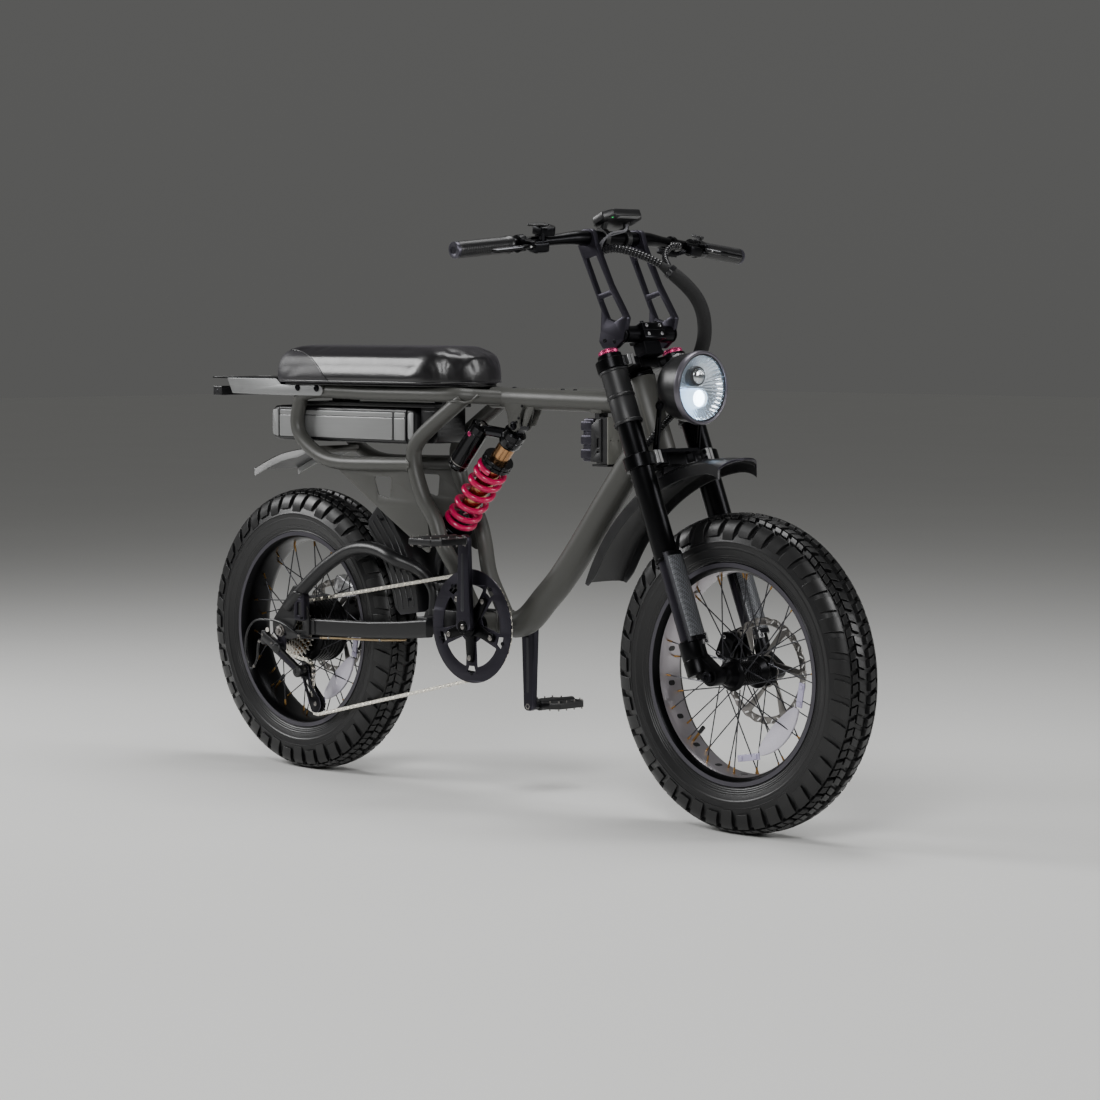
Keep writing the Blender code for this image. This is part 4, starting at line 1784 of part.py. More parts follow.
# Shock
def shock():
    """Damper with its cap and reservoir, the wound spring, and the shaft with the lower seat."""
    top = from_crank(*SHOCK_TOP)
    bottom = from_crank(*SHOCK_BOTTOM)
    axis = (top - bottom).normalized()
    length = (top - bottom).length
    spring_top = SPRING_START + SPRING_LENGTH
    profile = [
        (0.0, length - 0.008),
        (0.0125, length - 0.008),
        (0.0125, length - 0.0155),
        (0.0215, length - 0.0155),
        (0.0235, length - 0.018),
        (0.0235, length - 0.046),
        (0.020, length - 0.054),
        (DAMPER_RADIUS, length - 0.054),
        (DAMPER_RADIUS, spring_top + 0.020),
        (0.030, spring_top + 0.020),
        (0.032, spring_top + 0.017),
        (0.032, spring_top + GAP),
        (DAMPER_RADIUS, spring_top + GAP),
        (DAMPER_RADIUS, SHAFT_TOP - 0.040),
        (SHAFT_RADIUS + GAP, SHAFT_TOP - 0.040),
        (SHAFT_RADIUS + GAP, SHAFT_TOP + 0.026),
        (0.0, SHAFT_TOP + 0.026),
    ]
    body = turned(profile, bottom, axis, 12)
    eye = EYE_WIDTH / 2
    joined = [rod(top - ACROSS * eye, top + ACROSS * eye, EYE_RADIUS, 16)]
    joined.append(block((0.018, EYE_WIDTH * 0.9, 0.020), top - axis * 0.010, axes_from(axis)))
    side_way = axis.cross(ACROSS).normalized()
    if side_way.x > 0:
        side_way = -side_way
    low = bottom + axis * RESERVOIR_START + side_way * RESERVOIR_AWAY + ACROSS * RESERVOIR_Y
    high = low + axis * RESERVOIR_LENGTH
    tank = turned(
        [
            (0.0, RESERVOIR_LENGTH),
            (RESERVOIR_RADIUS - 0.005, RESERVOIR_LENGTH),
            (RESERVOIR_RADIUS, RESERVOIR_LENGTH - 0.005),
            (RESERVOIR_RADIUS, 0.006),
            (RESERVOIR_RADIUS - 0.004, 0.0),
            (0.0, 0.0),
        ],
        low,
        axis,
        12,
    )
    cap_middle = bottom + axis * (length - 0.026)
    arm_end = high - axis * 0.014
    joined.append(tank)
    joined.append(rod(cap_middle, arm_end, 0.011, 10))
    bore = [rod(top - ACROSS * 0.1, top + ACROSS * 0.1, SHOCK_BOLT_RADIUS + GAP, 12)]
    part("shock_body", BLACK_METAL, body, top, fuse=joined, cut=bore)

    wire = SPRING_WIRE
    points_per_turn = 8
    count = round(SPRING_TURNS * points_per_turn)
    first = bottom + axis * (SPRING_START + wire + GAP)
    rise = SPRING_LENGTH - 2 * wire - 2 * GAP
    turn = axes_from(axis)
    points = []
    for i in range(count + 1):
        angle = 2 * math.pi * i / points_per_turn
        flat = turn @ Vector((SPRING_RADIUS * math.cos(angle), SPRING_RADIUS * math.sin(angle), 0))
        share = i / count
        eased = share - math.sin(2 * math.pi * share) / (2 * math.pi) * 0.35
        points.append(first + flat + axis * rise * eased)
    start_way = (points[0] - points[1]).normalized()
    start_way = (start_way - axis * start_way.dot(axis)).normalized()
    end_way = (points[-1] - points[-2]).normalized()
    end_way = (end_way - axis * end_way.dot(axis)).normalized()
    points = [points[0] + start_way * 2 * wire] + points + [points[-1] + end_way * 2 * wire]
    part("shock_spring", MAGENTA_PAINT, pipe(points, wire, 1), bottom)
    least = 1.0
    for i, here in enumerate(points):
        for there in points[i + points_per_turn // 2 :]:
            least = min(least, (here - there).length - 2 * wire)
    print(f"spring: least gap to itself {least * 1000:.2f} mm")

    seat_profile = [
        (0.0, SHAFT_TOP),
        (SHAFT_RADIUS, SHAFT_TOP),
        (SHAFT_RADIUS, SPRING_START + 0.004),
        (SPRING_RADIUS - wire - 0.002, SPRING_START + 0.004),
        (SPRING_RADIUS - wire - 0.002, SPRING_START),
        (SPRING_RADIUS + wire, SPRING_START),
        (SPRING_RADIUS + wire, SPRING_START - 0.004),
        (0.018, SPRING_START - 0.009),
        (0.010, SPRING_START - 0.012),
        (0.010, 0.006),
        (0.0, 0.006),
    ]
    shaft = turned(seat_profile, bottom, axis, 12)
    foot = rod(bottom - ACROSS * eye, bottom + ACROSS * eye, EYE_RADIUS, 16)
    bore = [rod(bottom - ACROSS * 0.1, bottom + ACROSS * 0.1, EYE_BORE, 16)]
    part("shock_shaft", STEEL, shaft, bottom, fuse=[foot], cut=bore)


def rear_cable():
    """The shift housing that loops behind the derailleur and runs forward under the right arm."""
    hang = REAR_AXLE + Vector((HANGER[0], -(DROPOUT_SPACING / 2 + DROPOUT_THICKNESS + 0.008), HANGER[1]))
    under = -ARM_HEIGHT / 2 - CABLE_RADIUS - GAP * 5
    route = [
        hang + Vector((-0.0535, 0.000, 0.018)),
        hang + Vector((-0.066, -0.001, 0.006)),
        hang + Vector((-0.072, -0.001, -0.030)),
        hang + Vector((-0.090, -0.002, -0.050)),
        hang + Vector((-0.106, -0.002, -0.020)),
        hang + Vector((-0.104, -0.002, 0.024)),
        hang + Vector((-0.080, -0.001, 0.052)),
        hang + Vector((-0.040, 0.000, 0.058)),
        hang + Vector((0.000, 0.001, 0.056)),
        hang + Vector((0.040, 0.001, 0.043)),
        hang + Vector((0.075, 0.004, 0.028)),
        from_crank(-0.458, -0.034 + under - 0.0006, -ARM_Y - 0.004),
        from_crank(-0.400, -0.0315 + under, -ARM_Y),
        from_crank(-0.300, -0.028 + under, -ARM_Y + 0.002),
        from_crank(-0.200, -0.0205 + under - 0.0008, -ARM_Y + 0.006),
    ]
    part("rear_cable", BLACK_PLASTIC, pipe(smooth(route, 2, 1.0), CABLE_RADIUS, 1), REAR_AXLE)


front_wheel()
rear_wheel()
crowns()
fork_legs()
lowers()
front_end_hardware()
riser()
handlebar()
right_controls()
left_controls()
display()
headlight()
front_fender()
loom()
main_frame()
seat()
tail()
battery()
swingarm()
rear_axle()
caliper("rear_caliper", REAR_AXLE, REAR_CALIPER_ANGLE, PALE_METAL)
inner_fender()
rear_cable()
cassette()
derailleur()
chain()
crankset()
shock()
print(f"nodes: {len(PARTS.objects)}")
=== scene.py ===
"""The looks of a long-seat electric bicycle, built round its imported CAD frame.

Every piece is made in metres in the CAD model's own frame: +X forward, +Y to the
rider's left, +Z up, with the origin on the ground between the wheels.
"""

import json
import logging
import math
from dataclasses import dataclass
from enum import Enum
from typing import Iterable, NamedTuple, Optional, Sequence, Union

import bmesh
import bpy
from mathutils import Matrix, Vector
from mathutils.bvhtree import BVHTree


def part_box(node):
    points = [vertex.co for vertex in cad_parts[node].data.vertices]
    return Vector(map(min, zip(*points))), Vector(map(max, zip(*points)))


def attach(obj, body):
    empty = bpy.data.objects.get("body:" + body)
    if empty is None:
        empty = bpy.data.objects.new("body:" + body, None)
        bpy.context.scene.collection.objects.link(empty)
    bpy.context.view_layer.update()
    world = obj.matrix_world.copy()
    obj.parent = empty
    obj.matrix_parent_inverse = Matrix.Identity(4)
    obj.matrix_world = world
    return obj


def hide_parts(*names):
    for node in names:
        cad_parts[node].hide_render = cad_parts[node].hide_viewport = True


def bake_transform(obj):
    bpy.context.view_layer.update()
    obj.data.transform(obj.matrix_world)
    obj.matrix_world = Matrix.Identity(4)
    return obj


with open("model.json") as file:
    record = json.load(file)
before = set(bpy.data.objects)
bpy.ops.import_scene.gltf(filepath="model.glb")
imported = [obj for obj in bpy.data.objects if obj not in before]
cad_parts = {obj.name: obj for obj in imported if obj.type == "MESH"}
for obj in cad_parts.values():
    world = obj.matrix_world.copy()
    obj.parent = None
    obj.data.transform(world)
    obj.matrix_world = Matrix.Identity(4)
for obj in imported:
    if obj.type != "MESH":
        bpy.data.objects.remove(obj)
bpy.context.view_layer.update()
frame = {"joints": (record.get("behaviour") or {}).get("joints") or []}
LOG = logging.getLogger("bicycle")

MM = 0.001
TURN = 2 * math.pi
GAP = 0.3 * MM

Point = Union[Vector, Sequence[float]]
Outline = Sequence[Sequence[float]]


def joint_named(name: str) -> dict:
    """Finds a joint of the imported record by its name."""
    return next(joint for joint in frame["joints"] if joint["name"] == name)


def pivot(name: str) -> Vector:
    """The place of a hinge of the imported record."""
    return Vector(joint_named(name)["pos_m"])


def middle(node_name: str) -> Vector:
    """The centre of a CAD node's box."""
    low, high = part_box(node_name)
    return (low + high) / 2


ACROSS = Vector((0, 1, 0))
SKY = Vector((0, 0, 1))
FORWARD = Vector((1, 0, 0))
FRONT_AXLE = pivot("front_wheel_spin")
REAR_AXLE = pivot("rear_wheel_spin")
CRANK_AXLE = pivot("crank_spin")
SWING_PIVOT = pivot("swing")
LAMP_PIVOT = pivot("headlight_tilt")
GUIDE = pivot("guide_pulley_spin")
TENSION = pivot("tension_pulley_spin")
UP = Vector(joint_named("steer")["axis"]).normalized()
AHEAD = ACROSS.cross(UP)
SIDES = (-1, 1)
LABELS = {-1: "right", 1: "left"}

# How the fork stands on the front axle
AXLE_LEAD = 28.4 * MM
CROWN_OFFSET = 20 * MM
LEG_Y = 88 * MM
RAIL_Y = 67 * MM


def on_fork(height: float, ahead: float = 0.0, y: float = 0.0) -> Vector:
    """A point by its height along the fork legs, its distance ahead of them and its side."""
    return FRONT_AXLE + UP * height + AHEAD * (ahead - AXLE_LEAD) + ACROSS * y


def on_steerer(height: float, ahead: float = 0.0, y: float = 0.0) -> Vector:
    """A point by its height and its distance ahead of the steering axis."""
    return on_fork(height, ahead - CROWN_OFFSET, y)


def from_crank(x: float, z: float, y: float = 0.0) -> Vector:
    """A point counted from the crank axle."""
    return CRANK_AXLE + Vector((x, y, z))


def facing(origin: Point, axis: Point) -> Matrix:
    """A frame whose +Z runs along an axis.

    Args:
        origin: Where the frame stands.
        axis: Its +Z.

    Returns:
        The frame as a 4 by 4 matrix.
    """
    return Matrix.Translation(origin) @ Vector(axis).to_track_quat("Z", "Y").to_matrix().to_4x4()


def side_on(origin: Point, y: float = 0.0) -> Matrix:
    """A frame for outlines drawn in side view: u runs forward and v up, at a given y."""
    start = Vector(origin) + ACROSS * y
    return Matrix.Translation(start) @ Matrix.Rotation(math.pi / 2, 4, "X")


def front_on(origin: Point) -> Matrix:
    """A frame for outlines drawn in front view: u runs to the bicycle's left and v up."""
    return Matrix.Translation(origin) @ Matrix((ACROSS, SKY, FORWARD)).transposed().to_4x4()


def tilted(origin: Point, angle: float = 0.0) -> Matrix:
    """A frame turned about the bicycle's Y axis by an angle in radians."""
    return Matrix.Translation(origin) @ Matrix.Rotation(angle, 4, "Y")


FORK_LEAN = math.atan2(-UP.x, UP.z)


def fork_frame(height: float, ahead: float = 0.0, y: float = 0.0) -> Matrix:
    """A frame on the fork: x runs ahead, y to the left and z up along the legs."""
    return tilted(on_fork(height, ahead, y), -FORK_LEAN)


def arc(radius: float, start: float, end: float, steps: int, u: float = 0.0, v: float = 0.0) -> list:
    """Points of a circular arc in a plane.

    Args:
        radius: The arc's radius.
        start: The first angle, in radians.
        end: The last angle, in radians.
        steps: How many stretches it has.
        u: The centre's first coordinate.
        v: The centre's second coordinate.

    Returns:
        A list of (u, v) pairs.
    """
    turns = [start + (end - start) * i / steps for i in range(steps + 1)]
    return [(u + radius * math.cos(a), v + radius * math.sin(a)) for a in turns]


def circle(radius: float, u: float = 0.0, v: float = 0.0, steps: int = 24) -> list:
    """The outline of a round hole or disc."""
    return arc(radius, 0, TURN, steps, u, v)[:-1]


def fillet(points: Outline, radius: float, steps: int = 4) -> list:
    """Rounds the corners of a closed outline.

    Args:
        points: The corners in order, as (u, v) pairs or (u, v, own radius).
        radius: The corner radius, limited by the sides beside each corner.
        steps: Stretches in each round corner.

    Returns:
        The rounded outline as (u, v) pairs.
    """
    made = []
    count = len(points)
    for i, corner in enumerate(points):
        here = Vector(corner[:2])
        before = Vector(points[i - 1][:2]) - here
        after = Vector(points[(i + 1) % count][:2]) - here
        own = corner[2] if len(corner) > 2 else radius
        half = before.angle(after) / 2
        reach = min(own / max(math.tan(half), 1e-6), before.length * 0.48, after.length * 0.48)
        start = here + before.normalized() * reach
        end = here + after.normalized() * reach
        for k in range(steps + 1):
            t = k / steps
            made.append(tuple(start * (1 - t) ** 2 + here * 2 * t * (1 - t) + end * t * t))
    return made


def rounded(half_wide: float, half_tall: float, radius: float, steps: int = 4) -> list:
    """A rectangle with round corners, by half its width and half its height."""
    u, v = half_wide, half_tall
    return fillet([(-u, -v), (u, -v), (u, v), (-u, v)], radius, steps)


def in_mm(outline: Outline) -> list:
    """Turns an outline drawn in millimetres into metres."""
    return [tuple(value * MM for value in corner) for corner in outline]


def mm(x: float, y: float, z: float) -> Vector:
    """A step or a size in millimetres, as a vector in metres."""
    return Vector((x * MM, y * MM, z * MM))


def capsule(start: Outline, end: Outline, first: float, second: float, steps: int = 8) -> list:
    """The outline of a link: two round ends of unlike radius with straight sides."""
    a, b = Vector(start), Vector(end)
    way = b - a
    heading = math.atan2(way.y, way.x)
    lean = math.acos(max(-1.0, min(1.0, (first - second) / way.length)))
    far = arc(second, heading - lean, heading + lean, steps, b.x, b.y)
    near = arc(first, heading + lean, heading + TURN - lean, steps, a.x, a.y)
    return far + near


def smooth_line(points: Sequence[Point], steps: int = 6) -> list[Vector]:
    """Reads a smooth curve through given points.

    Args:
        points: The points that the curve passes through.
        steps: How many stretches lie between two of them.

    Returns:
        The curve's points, the first and last ones included.
    """
    given = [Vector(p) for p in points]
    full = [given[0] * 2 - given[1]] + given + [given[-1] * 2 - given[-2]]
    made = []
    for i in range(len(given) - 1):
        p0, p1, p2, p3 = full[i : i + 4]
        for k in range(steps):
            t = k / steps
            bend = (p0 * 2 - p1 * 5 + p2 * 4 - p3) * t * t + (p1 * 3 - p0 - p2 * 3 + p3) * t**3
            made.append((p1 * 2 + (p2 - p0) * t + bend) / 2)
    return made + [given[-1]]


def apply_modifiers(made: bpy.types.Object) -> None:
    """Turns an object's modifiers into its mesh."""
    solved = made.evaluated_get(bpy.context.evaluated_depsgraph_get())
    mesh = bpy.data.meshes.new_from_object(solved)
    made.modifiers.clear()
    made.data = mesh


def linear(colour: str) -> tuple[float, float, float, float]:
    """Turns an sRGB colour such as 4d4d48 into the linear values that shaders read."""
    parts = [int(colour[i : i + 2], 16) / 255 for i in (0, 2, 4)]
    curve = [c / 12.92 if c <= 0.04045 else ((c + 0.055) / 1.055) ** 2.4 for c in parts]
    return (*curve, 1.0)


def node(
    tree: bpy.types.NodeTree,
    kind: str,
    settings: Optional[dict] = None,
    links: Optional[dict] = None,
) -> bpy.types.Node:
    """Adds a shader node with its settings and links.

    Args:
        tree: The material's node tree.
        kind: The node's type without its ShaderNode prefix.
        settings: Values by socket name, socket number or property name.
        links: Output sockets by the name or number of the input that they feed.

    Returns:
        The new node.
    """
    made = tree.nodes.new("ShaderNode" + kind)
    for key, value in (settings or {}).items():
        if isinstance(key, int) or key in made.inputs:
            made.inputs[key].default_value = value
        else:
            setattr(made, key, value)
    for key, source in (links or {}).items():
        tree.links.new(source, made.inputs[key])
    return made


Socket = bpy.types.NodeSocket
Tree = bpy.types.NodeTree


@dataclass(frozen=True)
class Finish:
    """A surface: what it is made of and how it was made.

    The base class is a plain fine-grained surface whose tone wanders a little.
    """

    name: str
    tint: str
    roughness: float = 0.5
    metallic: float = 0.0
    wander: float = 0.12
    patch_mm: float = 60.0
    grain_mm: float = 0.8
    relief_mm: float = 0.02
    rough_spread: float = 0.06
    edge_wear_and_highlight: str = ""
    coat: float = 0.0
    coat_roughness: float = 0.1
    sheen: float = 0.0
    sheen_tint: str = "ffffff"
    clear: float = 0.0
    cover: float = 1.0
    ior: float = 1.5
    glow: str = ""
    glow_strength: float = 0.0

    def tone(self, tree: Tree, place: Socket) -> Socket:
        """How the colour wanders: a slow cloudy change over tens of millimetres."""
        cloud = {"Scale": 1 / (self.patch_mm * MM), "Detail": 3.0}
        return node(tree, "TexNoise", cloud, {"Vector": place}).outputs["Fac"]

    def height(self, tree: Tree, place: Socket) -> Socket:
        """The fine relief: an even grain."""
        grain = {"Scale": 1 / (self.grain_mm * MM), "Detail": 2.0}
        return node(tree, "TexNoise", grain, {"Vector": place}).outputs["Fac"]

    def shades(self) -> tuple[tuple, tuple]:
        """The darkest and the lightest colour that the tone moves between."""
        base = linear(self.tint)
        dark = tuple(c * (1 - self.wander) for c in base[:3]) + (1.0,)
        light = tuple(min(1.0, c * (1 + self.wander)) for c in base[:3]) + (1.0,)
        return dark, light

    def material(self) -> bpy.types.Material:
        """Makes the material once and returns it.

        Returns:
            The Blender material with its node tree.
        """
        found = bpy.data.materials.get(self.name)
        if found:
            return found
        made = bpy.data.materials.new(self.name)
        made.use_nodes = True
        made.diffuse_color = linear(self.tint)
        tree = made.node_tree
        shader = tree.nodes["Principled BSDF"]
        place = node(tree, "TexCoord").outputs["Object"]
        dark, light = self.shades()
        tone = self.tone(tree, place)
        blend = {"data_type": "RGBA", 6: dark, 7: light}
        colour = node(tree, "Mix", blend, {0: tone}).outputs[2]
        # Convex edges take the edge colour: real edge wear on most finishes, a painted highlight on the
        # gloss anodising and the chain pins.
        if self.edge_wear_and_highlight:
            edges = node(tree, "NewGeometry").outputs["Pointiness"]
            span = {"From Min": 0.53, "From Max": 0.60}
            edge = node(tree, "MapRange", span, {"Value": edges}).outputs["Result"]
            rim = {"data_type": "RGBA", 7: linear(self.edge_wear_and_highlight)}
            colour = node(tree, "Mix", rim, {0: edge, 6: colour}).outputs[2]
        tree.links.new(colour, shader.inputs["Base Color"])
        low, high = self.roughness - self.rough_spread, self.roughness + self.rough_spread
        smudge = {"Scale": 3 / (self.patch_mm * MM), "Detail": 4.0}
        spots = node(tree, "TexNoise", smudge, {"Vector": place}).outputs["Fac"]
        limits = {"To Min": max(0.0, low), "To Max": min(1.0, high)}
        rough = node(tree, "MapRange", limits, {"Value": spots}).outputs["Result"]
        tree.links.new(rough, shader.inputs["Roughness"])
        if self.relief_mm:
            step = {"Strength": 1.0, "Distance": self.relief_mm * MM}
            bump = node(tree, "Bump", step, {"Height": self.height(tree, place)})
            tree.links.new(bump.outputs["Normal"], shader.inputs["Normal"])
        fixed = {
            "Metallic": self.metallic,
            "Coat Weight": self.coat,
            "Coat Roughness": self.coat_roughness,
            "Sheen Weight": self.sheen,
            "Sheen Tint": linear(self.sheen_tint),
            "Transmission Weight": self.clear,
            "Alpha": self.cover,
            "Emission Strength": self.glow_strength,
        }
        if self.metallic < 0.5:
            fixed["IOR"] = self.ior
        if self.glow:
            fixed["Emission Color"] = linear(self.glow)
        for socket, value in fixed.items():
            shader.inputs[socket].default_value = value
        return made


@dataclass(frozen=True)
class PowderCoat(Finish):
    """Polyester powder baked on metal: matte, with the soft waves of orange peel."""

    grain_mm: float = 2.2
    relief_mm: float = 0.05
    wander: float = 0.07
    ior: float = 1.5


@dataclass(frozen=True)
class Anodised(Finish):
    """Blasted and anodised aluminium: a fine even sparkle under a satin skin."""

    metallic: float = 0.85
    grain_mm: float = 0.35
    relief_mm: float = 0.008
    wander: float = 0.10


class Lay(Enum):
    """The way that brush or lathe marks run."""

    ALONG_X = (4.0, 300.0, 300.0)
    ALONG_Y = (300.0, 4.0, 300.0)
    ALONG_Z = (300.0, 300.0, 4.0)
    ROUND_Y = (0.0, 0.0, 0.0)


@dataclass(frozen=True)
class Brushed(Finish):
    """Brushed or turned metal: hairlines that run one way, or round the axle."""

    metallic: float = 1.0
    lay: Lay = Lay.ALONG_X
    relief_mm: float = 0.01
    wander: float = 0.15

    def lines(self, tree: Tree, place: Socket) -> Socket:
        """Hairlines about a quarter of a millimetre apart, drawn coarse enough to show."""
        if self.lay is Lay.ROUND_Y:
            apart = node(tree, "SeparateXYZ", {}, {"Vector": place}).outputs
            flat = node(tree, "CombineXYZ", {}, {"X": apart["X"], "Z": apart["Z"]})
            reach = {"operation": "LENGTH"}
            radius = node(tree, "VectorMath", reach, {0: flat.outputs[0]}).outputs["Value"]
            rings = {"noise_dimensions": "1D", "Scale": 900.0, "Detail": 3.0}
            return node(tree, "TexNoise", rings, {"W": radius}).outputs["Fac"]
        stretch = {"Scale": self.lay.value}
        drawn = node(tree, "Mapping", stretch, {"Vector": place}).outputs["Vector"]
        streaks = {"Scale": 6.0, "Detail": 3.0}
        return node(tree, "TexNoise", streaks, {"Vector": drawn}).outputs["Fac"]

    def tone(self, tree: Tree, place: Socket) -> Socket:
        """The colour follows the hairlines."""
        return self.lines(tree, place)

    def height(self, tree: Tree, place: Socket) -> Socket:
        """The relief is the same hairlines."""
        return self.lines(tree, place)


@dataclass(frozen=True)
class Moulded(Finish):
    """Injection-moulded plastic with a spark-eroded texture of shallow cells."""

    grain_mm: float = 1.1
    relief_mm: float = 0.03
    ior: float = 1.52

    def height(self, tree: Tree, place: Socket) -> Socket:
        """Small rounded cells, as the mould's eroded wall leaves them."""
        cells = {"Scale": 1 / (self.grain_mm * MM), "Randomness": 1.0}
        return node(tree, "TexVoronoi", cells, {"Vector": place}).outputs["Distance"]


@dataclass(frozen=True)
class Rubber(Finish):
    """Vulcanised rubber: matte, faintly dusty, with fine rings where it was moulded."""

    rings: bool = False
    ior: float = 1.52
    patch_mm: float = 25.0
    wander: float = 0.22
    grain_mm: float = 0.9
    relief_mm: float = 0.05

    def height(self, tree: Tree, place: Socket) -> Socket:
        """The grain, with rings of 1.6 mm round the axle on a tyre's side."""
        grain = super().height(tree, place)
        if not self.rings:
            return grain
        apart = node(tree, "SeparateXYZ", {}, {"Vector": place}).outputs
        flat = node(tree, "CombineXYZ", {}, {"X": apart["X"], "Z": apart["Z"]})
        radius = node(tree, "VectorMath", {"operation": "LENGTH"}, {0: flat.outputs[0]})
        waves = {"operation": "MULTIPLY", 1: TURN / (1.6 * MM)}
        phase = node(tree, "Math", waves, {0: radius.outputs["Value"]}).outputs[0]
        ridge = node(tree, "Math", {"operation": "SINE"}, {0: phase}).outputs[0]
        mixed = {"operation": "MULTIPLY_ADD", 1: 0.5}
        return node(tree, "Math", mixed, {0: ridge, 2: grain}).outputs[0]


@dataclass(frozen=True)
class Vinyl(Finish):
    """Coated upholstery vinyl: pressed leather grain under a satin top coat."""

    grain_mm: float = 1.5
    relief_mm: float = 0.10
    ior: float = 1.5

    def height(self, tree: Tree, place: Socket) -> Socket:
        """Pebbled leather cells of about 1.5 mm, softened by broad creases."""
        cells = {"Scale": 1 / (self.grain_mm * MM), "feature": "SMOOTH_F1", "Smoothness": 0.6}
        pebbles = node(tree, "TexVoronoi", cells, {"Vector": place}).outputs["Distance"]
        crease = {"Scale": 1 / (22 * MM), "Detail": 3.0}
        folds = node(tree, "TexNoise", crease, {"Vector": place}).outputs["Fac"]
        joined = {"operation": "MULTIPLY_ADD", 1: 3.0}
        return node(tree, "Math", joined, {0: folds, 2: pebbles}).outputs[0]


@dataclass(frozen=True)
class Woven(Finish):
    """A woven surface: two sets of threads that cross, as in carbon cloth or a sleeve."""

    thread_mm: float = 3.0
    slant: float = math.pi / 4

    def weave(self, tree: Tree, place: Socket) -> Socket:
        """Threads that run both ways and pass over and under each other."""
        turn = {"Rotation": (0.0, self.slant, 0.0), "Scale": (1 / (self.thread_mm * MM),) * 3}
        drawn = node(tree, "Mapping", turn, {"Vector": place}).outputs["Vector"]
        squares = {"Scale": 1.0, "Color1": (0, 0, 0, 1), "Color2": (1, 1, 1, 1)}
        return node(tree, "TexChecker", squares, {"Vector": drawn}).outputs["Fac"]

    def tone(self, tree: Tree, place: Socket) -> Socket:
        """Each crossing is lighter or darker by the thread that is on top."""
        return self.weave(tree, place)

    def height(self, tree: Tree, place: Socket) -> Socket:
        """The thread on top stands proud."""
        return self.weave(tree, place)


@dataclass(frozen=True)
class Prismatic(Finish):
    """A moulded reflector: rows of small corner prisms behind a clear face."""

    cell_mm: float = 3.2

    def height(self, tree: Tree, place: Socket) -> Socket:
        """Cells with sharp borders, each a little higher in its middle."""
        cells = {"Scale": 1 / (self.cell_mm * MM), "Randomness": 0.25}
        return node(tree, "TexVoronoi", cells, {"Vector": place}).outputs["Distance"]

    def tone(self, tree: Tree, place: Socket) -> Socket:
        """Painted glints: each prism's cell is a little lighter or darker in colour, as if the prisms
        caught the light one by one.
        """
        cells = {"Scale": 1 / (self.cell_mm * MM), "Randomness": 0.25}
        return node(tree, "TexVoronoi", cells, {"Vector": place}).outputs["Distance"]


# Frame and swing arm: baked powder, matte, so that light falls off softly round a tube
OLIVE_COAT = PowderCoat("powder_coat_olive_grey", "42423f", 0.44, edge_wear_and_highlight="5a5954")
BLACK_COAT = PowderCoat("powder_coat_satin_black", "111113", 0.38, edge_wear_and_highlight="242427")
# Fork, bars and clamps: black anodising keeps a metal's sharp highlight
BLACK_ANODISED = Anodised("anodised_aluminium_black", "0e0e10", 0.30, edge_wear_and_highlight="26262a")
SLEEVE_BLACK = Moulded("nylon_sleeve_black", "121214", 0.46, edge_wear_and_highlight="26262a")
GREY_ANODISED = Anodised("anodised_aluminium_dark_grey", "2e2c34", 0.38, edge_wear_and_highlight="66646e")
RIM_EDGE = Anodised("anodised_aluminium_satin_grey", "504e55", 0.36, metallic=0.6, edge_wear_and_highlight="8a8890")
# Levers and damper: polished before anodising, with a painted highlight, a lighter edge colour that draws
# one bright line along each edge
GLOSS_ANODISED = Anodised("anodised_aluminium_gloss_black", "121215", 0.2, edge_wear_and_highlight="3a3a40", coat=0.4)
# Wraps, housings and clips: moulded plastics, smooth with a soft broad highlight
GLOSS_NYLON = Moulded("nylon_spiral_wrap_black", "161619", 0.24, grain_mm=2.0)
TAN_HOUSING = Moulded("cable_housing_tan", "a08a66", 0.4)
PALE_PLASTIC = Moulded("moulded_abs_off_white", "c9c4bc", 0.4)
# Chain pins and rollers: painted glints, a colour brighter than the plates with near-white edges, as a row
# of small sparks
PIN_STEEL_PAINTED_GLINT = Anodised("polished_chain_pins_painted_glint", "e2dccf", 0.2, metallic=1.0, edge_wear_and_highlight="fffaf0")
# The bump stop is cast urethane, duller than the shaft beside it
BUMP_STOP = Rubber("urethane_bumper_dark", "26262a", 0.5)
# Tail plates, clamps and knobs: machined aluminium, with fine lines that stretch the light
PALE_ANODISED = Brushed("anodised_aluminium_pale", "8f9090", 0.40, metallic=0.55, edge_wear_and_highlight="b4b4b4")
SILVER_MACHINED = Brushed("machined_aluminium", "b9b9bb", 0.30, lay=Lay.ALONG_Z, edge_wear_and_highlight="e2e2e2")
PINK_ANODISED = Anodised("anodised_aluminium_pink", "c23a72", 0.26, edge_wear_and_highlight="ee8fb4")
GOLD_ANODISED = Anodised("anodised_aluminium_gold", "b58a62", 0.22, metallic=1.0)
# The spring: thick gloss enamel over round wire, its colour deepest between the highlights
SPRING_ENAMEL = Finish("spring_enamel_magenta", "c0004e", 0.26, coat=0.3, relief_mm=0.02, wander=0.04)
